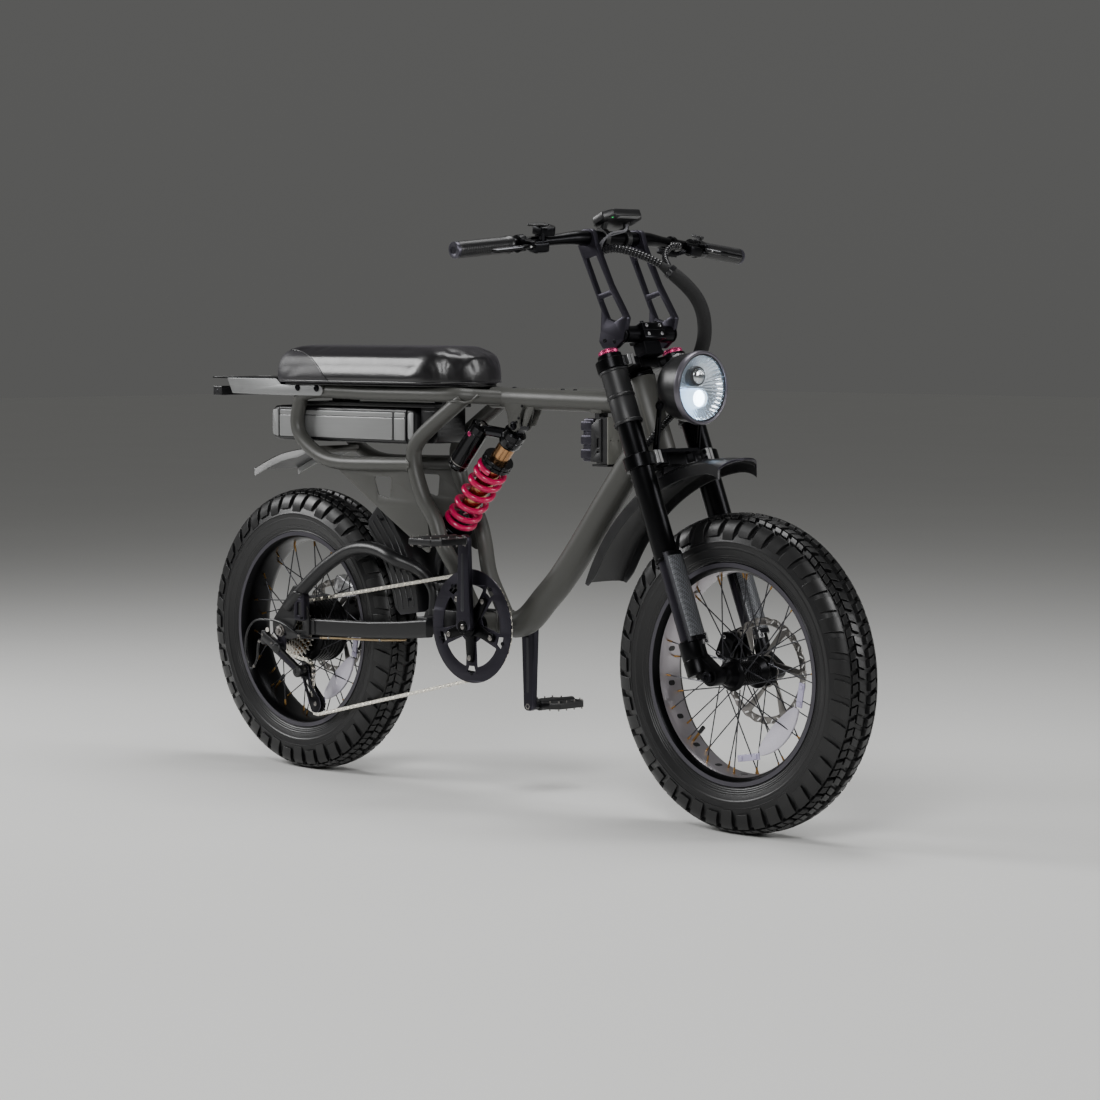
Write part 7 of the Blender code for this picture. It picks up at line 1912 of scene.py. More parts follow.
    def perch(self, made: Shape, side: int) -> None:
        """Adds one brake perch: clamp, reservoir with its lid, lever fork and pivot screw."""
        point, out, ahead, down = self.station(side, self.perch_y)
        turn = Matrix((ahead, out, -down * side)).transposed().to_4x4()
        self.band(made.use(0), side, self.perch_y, 15.6 * MM, 6 * MM)
        tank = point + ahead * 26.5 * MM - out * 25.5 * MM - down * 3 * MM
        face = rounded(11, 18.5, 5, 4)
        face = in_mm(face)
        made.sheet([face], 17.4 * MM, Matrix.Translation(tank) @ turn, 2 * MM)
        lid = [(u * 0.86, v * 0.86) for u, v in face]
        made.use(1).sheet([lid], 1.6 * MM, Matrix.Translation(tank - down * 9 * MM) @ turn, 0.5 * MM)
        for end in SIDES:
            seat = tank + out * end * 12.5 * MM - down * 9.4 * MM
            made.use(2).bolt(seat, -down, 2 * MM, 0.9 * MM)
        pivot_place = point + ahead * 35 * MM + down * 4 * MM
        barrel = point + ahead * 19 * MM + down * 4 * MM
        made.use(0).rod(barrel - out * 8 * MM, barrel - out * 46 * MM, 6.5 * MM, 24, 6 * MM)
        body = Matrix.Translation(point + ahead * 19 * MM + down * 4 * MM) @ turn
        made.block(mm(12, 15, 17), body)
        for level in SIDES:
            ear = Matrix.Translation(pivot_place + down * level * 6.8 * MM) @ turn
            lug = capsule((0, 0), (-15 * MM, 0), 8 * MM, 7 * MM, 10)
            made.sheet([lug], 4 * MM, ear, 0.6 * MM)
            seat = pivot_place + down * level * 8.8 * MM
            made.use(2).bolt(seat, down * level, 3.6 * MM, 1 * MM)
            made.use(0)

    def lever(self, side: int) -> None:
        """One glossy lever blade with its lightening slot and reach screw."""
        point, out, ahead, down = self.station(side, self.perch_y)
        pivot_place = point + ahead * 35 * MM + down * 4 * MM
        blade = [
            (-4.5, -4, 3), (4, -7), (30, 6, 20), (97, 6, 8), (104.6, 12.6, 5), (98.6, 17.6, 5),
            (30, 16, 22), (4, 7, 5), (-4.5, 5, 3),
        ]
        outline = in_mm(blade)
        place = Matrix.Translation(pivot_place)
        place = place @ Matrix((out, ahead, out.cross(ahead))).transposed().to_4x4()
        slot = fillet(in_mm([(34, 9), (58, 9), (58, 13), (34, 13)]), 2 * MM, 3)
        made = Shape().sheet([fillet(outline, 6 * MM, 5), slot], 8.2 * MM, place, 2.2 * MM)
        made.use(1).rod(place @ mm(9, 6, 0), place @ mm(9, 11, 0), 2 * MM, 12)
        label = LABELS[side]
        made.build(
            f"brake_blade_{label}",
            f"brake_lever_{label}",
            (GLOSS_ANODISED, SILVER_MACHINED),
            (f"brake_lever_{label}",),
            bevel=0.4 * MM,
            slot="grey_metal",
        )

    def right_cluster(self) -> None:
        """The right perch and the shifter under the bar, with its paddle."""
        made = Shape()
        self.perch(made, -1)
        point, out, ahead, down = self.station(-1, self.shifter_y)
        turn = Matrix((ahead, -out, down)).transposed().to_4x4()
        self.band(made.use(0), -1, self.shifter_y, 10 * MM, 5 * MM)
        body = Matrix.Translation(point + ahead * 10 * MM + down * 23.5 * MM) @ turn
        face = fillet([(-17, -18), (13, -18), (17, -8), (17, 12), (8, 18), (-17, 18)], 5, 4)
        made.sheet([in_mm(face)], 18 * MM, body, 2 * MM)
        web = Matrix.Translation(point + ahead * 20 * MM + down * 10 * MM + out * 14.5 * MM) @ turn
        made.block(mm(10, 6, 24), web)
        window = body @ Matrix.Translation((0, 0, 9.1 * MM))
        made.use(1).sheet([circle(7 * MM, 3 * MM, 2 * MM)], 0.8 * MM, window, 0.3 * MM)
        made.build(
            "right_bar_controls",
            "steering",
            (BLACK_ANODISED, ABS_BLACK, STEEL_BLACK),
            ("right_controls",),
            bevel=0.5 * MM,
            slot="black_metal",
        )
        pin = point + ahead * 10 * MM + down * 32.8 * MM
        place = Matrix.Translation(pin + down * 2 * MM)
        place = place @ Matrix((out, ahead, out.cross(ahead))).transposed().to_4x4()
        paddle = [(-7, -6), (10, -10), (34, -14), (36, -6), (8, 6), (-6, 6)]
        outline = fillet(in_mm(paddle), 4 * MM, 4)
        blade = Shape().sheet([outline], 4 * MM, place, 1 * MM)
        ribs = [place @ Vector(((26 + k * 3) * MM, -10 * MM, -2 * MM)) for k in range(3)]
        for rib in ribs:
            blade.rod(rib - ahead * 3 * MM, rib + ahead * 3 * MM, 0.5 * MM, 8)
        blade.build(
            "shift_paddle", "shift_lever", ABS_BLACK, ("shift_lever",), bevel=0.3 * MM, slot="black_plastic"
        )

    def left_cluster(self) -> None:
        """The left perch and the keypad with its button, and the thumb throttle."""
        made = Shape()
        self.perch(made, 1)
        point, out, ahead, down = self.station(1, self.keypad_y)
        turn = Matrix((ahead, out, -down)).transposed().to_4x4()
        self.band(made.use(0), 1, self.keypad_y, 10 * MM, 4 * MM)
        shell = point - down * 18.5 * MM - ahead * 4 * MM
        face = rounded(15, 17, 6, 4)
        hollow = rounded(8.3, 11.3, 2.5, 3)
        outlines = [in_mm(ring) for ring in (face, hollow)]
        made.sheet(outlines, 12 * MM, Matrix.Translation(shell) @ turn, 2 * MM)
        start = shell + ahead * 10 * MM + out * 12 * MM
        made.rod(start, point + ahead * 26.5 * MM - down * 3 * MM + out * 32 * MM, 4.5 * MM, 16)
        made.build(
            "left_bar_controls",
            "steering",
            (BLACK_ANODISED, ABS_BLACK, STEEL_BLACK),
            ("left_controls",),
            bevel=0.5 * MM,
            slot="black_metal",
        )
        key = Matrix.Translation(shell - down * 5.9 * MM) @ turn
        cap = rounded(8, 11, 2.4, 3)
        button = Shape().sheet([in_mm(cap)], 2.8 * MM, key, 0.7 * MM)
        button.use(1)
        for v in (-5 * MM, 5 * MM):
            mark = key @ Matrix.Translation((0, v, 1.4 * MM))
            button.sheet([circle(2.6 * MM)], 0.4 * MM, mark, 0.15 * MM)
        button.build(
            "keypad_button_cap", "keypad_button", (GRIP_RUBBER, GREY_ANODISED), (
                "keypad_button",
            ), slot="rubber"
        )
        y = self.bar_width / 2 - self.grip_length - 6.5 * MM
        point, out, ahead, down = self.station(1, y)
        lever = Shape()
        self.band(lever, 1, y, 10 * MM, 8 * MM)
        turn = Matrix((ahead, out, -down)).transposed().to_4x4()
        pad = rounded(13, 4.5, 3, 4)
        place = Matrix.Translation(point - ahead * 4 * MM + down * 23.5 * MM) @ turn
        lever.sheet([in_mm(pad)], 6 * MM, place, 1.4 * MM)
        lever.block(mm(10, 9, 12), Matrix.Translation(point + down * 18 * MM) @ turn)
        lever.build(
            "thumb_throttle_lever",
            "thumb_throttle",
            ABS_BLACK,
            ("thumb_throttle",),
            bevel=0.5 * MM,
            slot="black_plastic",
        )

    def display(self) -> None:
        """The eight-sided display with its glass, keys and two bar clamps."""
        centre = BAR_CENTRE + Vector((12 * MM, 0, self.bar_radius + 24 * MM))
        place = tilted(centre, math.radians(-24))
        corners = [(30, 36), (14, 52), (-14, 52), (-30, 36), (-30, -36), (-14, -52), (14, -52), (30, -36)]
        outline = in_mm(corners)
        made = Shape().sheet([fillet(outline, 4 * MM, 4)], 14.6 * MM, place, 2.4 * MM)
        rim = [(u * 0.80, v * 0.80) for u, v in outline]
        made.use(1).sheet(
            [fillet(rim, 4 * MM, 4)], 0.6 * MM, place @ Matrix.Translation((0, 0, 7.3 * MM)), 0.2 * MM
        )
        made.use(2).block(mm(8, 56, 1.2), place @ Matrix.Translation((22 * MM, 8 * MM, -7.5 * MM)))
        made.use(4).bolt(place @ mm(20, -34, -7.2), place.to_3x3() @ Vector((0, 0, -1)), 2 * MM, 0.8 * MM)
        for side in SIDES:
            y = side * 30 * MM
            start = BAR_CENTRE + ACROSS * (y - 6 * MM)
            ring = in_mm([(14.8, 0), (19.5, 0), (20.5, 1), (20.5, 11)])
            ring += [(19.5 * MM, 12 * MM), (14.8 * MM, 12 * MM)]
            made.use(0).lathe(ring, start, ACROSS, 40, closed=True)
            low = BAR_CENTRE + Vector((4 * MM, y, 17.5 * MM))
            made.rod(low, centre + ACROSS * y, 6 * MM, 20)
            ear = BAR_CENTRE + Vector((17 * MM, y, -12 * MM))
            made.use(3).bolt(ear, (0.6, 0, -0.8), 2.6 * MM, 2 * MM)
        made.build(
            "display_unit",
            "steering",
            (ABS_BLACK, PIANO_BLACK, PALE_ANODISED, STEEL_BLACK, LED_GREEN),
            ("display",),
            bevel=0.4 * MM,
            slot="black_plastic",
        )

    def build(self) -> None:
        """Makes the whole cockpit."""
        self.riser()
        self.bar()
        for side in SIDES:
            self.lever(side)
        self.right_cluster()
        self.left_cluster()
        self.display()


@dataclass
class Loom:
    """The loom from the display to the down tube, its cloth sleeve, spiral wrap and hoses."""

    radius: float = 14 * MM
    slim: float = 6.6 * MM

    def route(self) -> list[Vector]:
        """The middle line of the loom, round the front of the head tube."""
        start = BAR_CENTRE + mm(6, -47, -25.5)
        return [
            start, start + mm(50, 12, 4), start + mm(108, 62, -26),
            on_steerer(0.7170, 0.1430, 0.058), on_steerer(0.6500, 0.1260, 0.072),
            on_steerer(0.5950, 0.0770, 0.069), on_steerer(0.5500, 0.0475, 0.044),
            on_steerer(0.5200, 0.0430, 0.016), on_steerer(0.4950, 0.0380, -0.022),
            on_steerer(0.4700, 0.0080, -0.044), on_steerer(0.4520, -0.0330, -0.043),
            on_steerer(0.4420, -0.0600, -0.024), on_steerer(0.4330, -0.0770, -0.004),
        ]

    def build(self) -> None:
        """Makes the spiral-wrapped run, the padded sleeve, the lower hose and the thin leads."""
        line = smooth_line(self.route(), 8)
        last = len(line) - 1
        made = Shape()
        radii = []
        for i in range(len(line)):
            share = i / last
            swell = min(1.0, max(0.0, (share - 0.165) / 0.03)) * min(1.0, max(0.0, (0.50 - share) / 0.03))
            base = self.slim if share < 0.5 else 5.1 * MM
            radii.append(base + (self.radius * 0.97 - base) * swell)
        made.tube(line, radii, 24)
        made.use(1)
        for share in (0.19, 0.485):
            i = round(share * last)
            way = (line[i + 1] - line[i]).normalized()
            ring = in_mm([(13, -5), (13.9, -4), (13.9, 4), (13, 5)])
            made.lathe(ring, line[i], way, 32)
        self.wrap(made, line[: round(0.18 * last)], self.slim)
        self.wrap(made, line[round(0.51 * last) : last - 1], 5.1 * MM)
        self.leads(made)
        finishes = (SLEEVE_CLOTH, GLOSS_NYLON, CABLE_GREY)
        piece = made.build("wiring_loom", "", finishes, ("loom_sleeve",), slot="black_plastic")
        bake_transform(piece)

    def leads(self, made: Shape) -> None:
        """Adds the two thin leads from the display and the spiral loop from the left controls."""
        start = self.route()[0]
        under = BAR_CENTRE + mm(34, 2, 26)
        for shift in (0.0, 5 * MM):
            way = [
                under + ACROSS * shift,
                under + Vector((14 * MM, -16 * MM - shift, -12 * MM)),
                BAR_CENTRE + Vector((34 * MM + shift, -44 * MM, 4 * MM + shift)),
                BAR_CENTRE + Vector((28 * MM + shift, -60 * MM, -8 * MM)),
                start + Vector((6 * MM + shift, -2 * MM, 2 * MM)),
            ]
            made.use(2).tube(smooth_line(way, 8), 1.9 * MM, 10)
        meet = self.route()[2]
        loop = [
            BAR_CENTRE + mm(4, 160, -8), BAR_CENTRE + mm(28, 154, -10),
            BAR_CENTRE + mm(41, 141, -12), BAR_CENTRE + mm(40, 124, -13),
            BAR_CENTRE + mm(42, 106, -23), BAR_CENTRE + mm(54, 90, -37),
            BAR_CENTRE + mm(77, 74, -51), meet + mm(10, 20, -18),
        ]
        bent = smooth_line(loop, 8)
        made.use(0).tube(bent, 4.6 * MM, 14)
        self.wrap(made, bent, 4.6 * MM)

    def wrap(self, made: Shape, line: list[Vector], radius: float) -> None:
        """Adds the turns of spiral wrap, each a slanted ring with a rounded back."""
        pitch = 6.4 * MM
        carried = 0.0
        made.use(1)
        for start, end in zip(line, line[1:]):
            way = end - start
            heading = way.normalized()
            lean = heading.cross(SKY).normalized() * 0.30
            place = pitch - carried
            while place < way.length:
                ring = [
                    (radius - 0.4 * MM, -2.3 * MM), (radius + 1.3 * MM, -1.5 * MM), (radius + 1.7 * MM, 0)
                ]
                ring += [(radius + 1.3 * MM, 1.5 * MM), (radius - 0.4 * MM, 2.3 * MM)]
                made.lathe(ring, start + heading * place, (heading + lean).normalized(), 20)
                place += pitch
            carried = (carried + way.length) % pitch


class Arc(NamedTuple):
    """A guard round a wheel: where it starts and ends, its radii, width and wall."""

    centre: Vector
    start: float
    end: float
    inner: float
    outer: float
    width: float
    wall: float

    def out(self, angle: float) -> Vector:
        """The direction away from the wheel's axle at an angle."""
        return Vector((math.cos(angle), 0, math.sin(angle)))

    def skin(self, made: Shape, steps: int = 48, nose: float = 0.0) -> None:
        """Adds the guard: a crowned roof with two skirts and a rolled edge.

        Args:
            made: The shape that takes it.
            steps: How many stretches it has along its arc.
            nose: How far its first end is rounded off and bent down like a beak, 0 to 1.
        """
        half, top, wall = self.width / 2, self.outer, self.wall
        rim = 1.2 * MM
        over = [(top - 12 * MM, -half), (top - 3 * MM, -half * 0.985), (top + 1.5 * MM, -half * 0.84)]
        over += [(top + 3.4 * MM, -half * 0.5), (top + 4 * MM, 0)]
        over += [(r, -y) for r, y in over[-2::-1]]
        under = [(r - wall, y * (1 - wall / half)) for r, y in over[::-1]]
        lip = [(self.inner + rim, half), (self.inner, half - wall / 2), (self.inner + rim, half - wall)]
        section = over + lip + under + [(r, -y) for r, y in lip[::-1]]
        rings = []
        for i in range(steps + 1):
            angle = self.start + (self.end - self.start) * i / steps
            near = (steps - i if nose else min(i, steps - i)) / steps
            trim = max(0.0, 1 - near * steps / 5) ** 2 * min(16 * MM, (top - self.inner) * 0.5)
            tipped = max(0.0, 1 - i / steps / 0.16) ** 2 * nose
            ring = []
            for r, y in section:
                low = max(r, self.inner + trim) if r < top - 13 * MM else r
                back = math.radians(3.2) * tipped * (abs(y) / half) ** 2.5
                drop = (4 + 10 * (y / half) ** 2) * MM * tipped
                ring.append(self.centre + self.out(angle + back) * (low - drop) + ACROSS * y)
            rings.append(ring)
        made.grid(rings, True, False, True)


@dataclass
class FrontFender:
    """The short beaked front guard with its mount under the lower crown."""

    start: float = math.radians(90)
    end: float = math.radians(158)
    beak: float = math.radians(12)

    def build(self) -> None:
        """Makes the shell, the beak with its raised rim, the side ribs, the mount and its bolts."""
        guard = Arc(FRONT_AXLE, self.start, self.end, 376 * MM, 400 * MM, 108 * MM, 3 * MM)
        made = Shape()
        guard.skin(made, nose=1.0)
        foot = on_steerer(418.2 * MM)
        out = (foot - FRONT_AXLE).normalized()
        reach = (foot - FRONT_AXLE).length
        turn = facing(FRONT_AXLE + out * (398 * MM + reach) / 2, out)
        pad = in_mm([(-30, -20), (30, -20), (30, 20), (-30, 20)])
        made.sheet([fillet(pad, 6 * MM)], reach - 398 * MM, turn, 1 * MM)
        for side in SIDES:
            edge = []
            for i in range(33):
                angle = self.start + self.beak + (self.end - self.start - self.beak) * 0.98 * i / 32
                edge.append(FRONT_AXLE + guard.out(angle) * 401.9 * MM + ACROSS * side * 45.4 * MM)
            made.tube(edge, 1.2 * MM, 8)
        made.use(1)
        self.rim(guard, made)
        for side in SIDES:
            for ahead in (-12 * MM, 12 * MM):
                seat = on_steerer(411 * MM, ahead, side * 30.2 * MM)
                made.use(2).bolt(seat, ACROSS * side, 3.6 * MM, 1.6 * MM)
        made.build(
            "front_guard",
            "steering",
            (POLYPROPYLENE, GREY_ANODISED, STEEL_BLACK),
            ("front_fender",),
            bevel=0.4 * MM,
            slot="black_plastic",
        )

    def rim(self, guard: Arc, made: Shape) -> None:
        """Adds the raised seam behind the beak and the bead along its rounded tip."""
        seam, tip = [], []
        for i in range(25):
            y = -52 * MM + 104 * MM * i / 24
            share = abs(y) / (52 * MM)
            back = self.start + self.beak - math.radians(2.5) * share
            seam.append(FRONT_AXLE + guard.out(back) * (404.6 * MM - 10 * MM * share**6) + ACROSS * y)
            ahead = self.start + math.radians(3.2) * share**2.5
            tip.append(
                FRONT_AXLE + guard.out(ahead) * (400 - 9.3 * share**2 - 9 * share**6) * MM + ACROSS * y
            )
        made.tube(seam, 1.3 * MM, 8)
        made.tube(tip, 2.2 * MM, 10)


@dataclass
class FrameSet:
    """The welded frame with its headset, gussets, shock plates and small hardware."""

    head: float = 29 * MM
    down: float = 28.4 * MM
    top: float = 21 * MM
    rail: float = 15 * MM
    rail_height: float = 460.5 * MM
    loop_low: float = 315.5 * MM
    loop_back: float = 540 * MM
    seat_tube_y: float = 60 * MM
    shell: float = 23 * MM
    top_height: float = 455.5 * MM

    def tubes(self, made: Shape) -> None:
        """Adds the head, down, top and seat tubes, the rails and the weld beads where they meet."""
        low, high = 455.5 * MM, 606 * MM
        profile = [(self.head - 5 * MM, low), (self.head - 0.5 * MM, low), (self.head, low + 1 * MM)]
        profile += [(self.head, high - 1 * MM), (self.head - 0.5 * MM, high), (self.head - 5 * MM, high)]
        made.lathe(profile, on_steerer(0), UP, 64)
        bends = [(335, 285.5), (246, 173.5), (185, 102.5), (136, 56.5), (93, 17.5), (53, 1.5), (6, 0)]
        route = [on_steerer(508 * MM)] + [from_crank(x * MM, z * MM) for x, z in bends]
        made.swept(route, [self.down] * 6 + [self.down * 0.92, self.down * 0.76], 10, 36)
        start, end = on_steerer(555.6 * MM), from_crank(-11.5 * MM, self.top_height)
        made.tube(smooth_line([start, (start + end) / 2, end], 4), self.top, 36)
        made.lathe([(self.top, 0), (self.top - 3 * MM, 3 * MM), (0, 4 * MM)], end, end - start, 32)
        made.rod(CRANK_AXLE - ACROSS * 50 * MM, CRANK_AXLE + ACROSS * 50 * MM, self.shell, 48)
        made.rod(SWING_PIVOT - ACROSS * 34 * MM, SWING_PIVOT + ACROSS * 34 * MM, 14 * MM, 32)
        between = facing((CRANK_AXLE + SWING_PIVOT) / 2, SWING_PIVOT - CRANK_AXLE)
        made.block(mm(60, 24, 56.5), between)
        self.joint(made, route[1], route[0], self.down, on_steerer(0), UP, self.head)
        self.joint(made, end, start, self.top, on_steerer(0), UP, self.head)
        self.joint(
            made, route[-2], route[-1] - FORWARD * 6 * MM, self.down * 0.86, CRANK_AXLE, ACROSS, self.shell
        )
        for side in SIDES:
            made.tube(smooth_line(self.rail_route(side), 8), self.rail, 28)
            seat = [(-40, 454.5, -4), (-61, 438.5, 0), (-169, 367.5, 0), (-183, 319.5, 0), (-156, 250.5, 0)]
            seat += [
                (-121, 205.5, 0), (-101, 158.5, -2), (-69.5, 97.5, -18), (-36.5, 44.5, -20), (-4, 4, -26)
            ]
            line = [from_crank(x * MM, z * MM, side * (self.seat_tube_y + y * MM)) for x, z, y in seat]
            made.tube(smooth_line(line, 8), 16 * MM, 28)
            self.joint(made, line[-2], line[-1], 16 * MM, CRANK_AXLE, ACROSS, self.shell)
            tube = ACROSS * side * RAIL_Y
            meet = from_crank(-0.1865, self.loop_low + 2 * MM, side * (RAIL_Y - 5 * MM))
            beads = [
                (
                    from_crank(-0.278, self.loop_low, tube.y),
                    meet,
                    self.rail,
                    line[3],
                    line[4] - line[2],
                    16 * MM,
                )
            ]
            beads.append(
                (line[2], line[1], 16 * MM, from_crank(-0.1, self.rail_height, tube.y), FORWARD, self.rail)
            )
            for bead in beads:
                self.joint(made, *bead)
        for x in (-150 * MM, -470 * MM):
            start = from_crank(x, self.rail_height - 2 * MM, -RAIL_Y)
            made.rod(start, start + ACROSS * 2 * RAIL_Y, 9 * MM, 24)
        start = from_crank(-self.loop_back + 46 * MM, self.loop_low + 23 * MM, -RAIL_Y)
        made.rod(start, start + ACROSS * 2 * RAIL_Y, 8 * MM, 24)

    def joint(
        self,
        made: Shape,
        start: Vector,
        end: Vector,
        radius: float,
        origin: Point,
        axis: Point,
        other: float,
    ) -> None:
        """Lays one weld bead where the tube from start to end meets the other tube."""
        made.weld(start, end - start, radius, origin, axis, other)

    def rail_route(self, side: int) -> list[Vector]:
        """The path of one seat rail, its loop round the tail and back to the seat tube."""
        high, low, back, y = self.rail_height, self.loop_low, self.loop_back, side * RAIL_Y
        return [
            from_crank(28.5 * MM, high - 6 * MM, side * 6 * MM),
            from_crank(-23.5 * MM, high - 3 * MM, side * 40 * MM),
            from_crank(-81.5 * MM, high, y),
            from_crank(-300 * MM, high, y),
            from_crank(-back + 38.5 * MM, high, y),
            from_crank(-back + 1 * MM, high - 33 * MM, y),
            from_crank(-back, (high + low) / 2 - 10 * MM, y),
            from_crank(-back + 46 * MM, low + 23 * MM, y),
            from_crank(-back + 120 * MM, low, y),
            from_crank(-278 * MM, low, y),
            from_crank(-186.5 * MM, low + 2 * MM, y - side * 5 * MM),
        ]

    def plates(self, made: Shape) -> None:
        """Adds the gusset plates, the shock's upper mount and the lugs under the tail."""
        low = self.loop_low
        for side in SIDES:
            outline = [
                (-430, -4, 8), (-172, 2), (-140, 236 - 315.5, 12), (-124, 132 - 315.5, 12),
                (-292, 228 - 315.5, 26),
            ]
            gusset = fillet(
                [tuple([u * MM, v * MM + low] + [c * MM for c in more]) for u, v, *more in outline],
                6 * MM,
                5,
            )
            window = [(-300, 290), (-245, 290), (-250, 245), (-285, 252)]
            hole = fillet(in_mm(window), 7 * MM, 4)
            made.use(0).sheet([gusset, hole], 3 * MM, side_on(CRANK_AXLE, side * RAIL_Y), 0.8 * MM)
            y = side * (RAIL_Y + self.rail / 2)
            lug = [(-545, 457.5), (-445, 457.5), (-445, 475.5), (-545, 475.5)]
            made.sheet([fillet(in_mm(lug), 4 * MM)], 15 * MM, side_on(CRANK_AXLE, y), 1 * MM)
            bracket = [
                (50, 400, 12), (66, 386.5, 14), (81, 396, 12), (84, 424, 4), (98, 448, 3),
                (34, 448, 3), (46, 424, 6),
            ]
            bracket = fillet(in_mm(bracket), 6 * MM, 6)
            place = side_on(CRANK_AXLE, side * 16.5 * MM)
            made.sheet([bracket], 4 * MM, place, 0.8 * MM)
            rib = fillet(in_mm([(84, 400), (96, 400), (122, 446), (98, 446)]), 2 * MM, 3)
            made.sheet([rib], 3 * MM, side_on(CRANK_AXLE, side * 12.6 * MM), 0.6 * MM)
            head = from_crank(65 * MM, 400.5 * MM, side * 18.5 * MM)
            made.use(2).lathe(in_mm([(9, 0), (9, 1), (6, 1.4)]), head, ACROSS * side, 28)
            made.bolt(head + ACROSS * side * 0.6 * MM, ACROSS * side, 6 * MM, 3.2 * MM)
            for u, v in ((74, 408), (80, 416), (90, 440)):
                spot = from_crank(u * MM, v * MM, side * 18.5 * MM)
                made.bolt(spot, ACROSS * side, 2.8 * MM, 1.4 * MM)
        made.use(0).rod(
            from_crank(65 * MM, 400.5 * MM, -18 * MM), from_crank(65 * MM, 400.5 * MM, 18 * MM), 5 * MM, 20
        )
        ear = from_crank(292.5 * MM, self.top_height - 17 * MM)
        made.sheet([rounded(15 * MM, 9 * MM, 3 * MM)], 30 * MM, side_on(ear), 1 * MM)

    def hardware(self, made: Shape) -> None:
        """Adds headset cups, crank cups, rivets and the cable gland."""
        made.use(1)
        low, high = 455.5 * MM, 606 * MM
        cup = [(14.9 * MM, low - 9.7 * MM), (27.4 * MM, low - 9.7 * MM), (28 * MM, low - 8.6 * MM)]
        cup += [(28 * MM, low - 5.4 * MM), (26.8 * MM, low - 4.8 * MM), (26.8 * MM, low - 4.2 * MM)]
        cup += [(29.4 * MM, low - 3 * MM), (29.4 * MM, low - 0.4 * MM)]
        made.lathe(cup, on_steerer(0), UP, 64)
        made.lathe([(r, low + high - z) for r, z in cup], on_steerer(0), UP, 64)
        for side in SIDES:
            start = CRANK_AXLE + ACROSS * side * 48 * MM
            made.lathe(in_mm([(22, 0), (22, 6.6), (20, 8), (9.2, 8)]), start, ACROSS * side, 40)
            for k in range(8):
                a = TURN * k / 8
                spot = start + Vector((math.cos(a), 0, math.sin(a))) * 21 * MM
                made.use(2).rod(spot, spot + ACROSS * side * 7.2 * MM, 1.6 * MM, 10)
            made.use(1)
        for x in (0.5 * MM, 137.5 * MM, 171.5 * MM):
            rise = from_crank(-11.5 * MM, self.top_height).lerp(
                on_steerer(555.6 * MM), (x + 60 * MM) / 452 / MM
            )
            seat = Vector((x, 0, rise.z + self.top - 0.4 * MM))
            made.use(2).lathe(in_mm([(4.2, 0), (4, 1.2), (2.4, 2), (0, 2.2)]), seat, SKY, 20)
        gland = on_steerer(433 * MM, -77 * MM, -4 * MM)
        made.use(3).lathe(in_mm([(9, -8), (9, 2), (7, 4), (5.4, 4)]), gland, AHEAD - UP * 0.2, 24)

    def build(self) -> None:
        """Makes the whole frame as one dressed piece."""
        made = Shape()
        self.tubes(made)
        self.plates(made)
        self.hardware(made)
        made.build(
            "welded_frame",
            "frame",
            (OLIVE_COAT, BLACK_ANODISED, STEEL_BLACK, GRIP_RUBBER),
            ("main_frame",),
            bevel=0.3 * MM,
            angle=40,
            slot="olive_paint",
        )


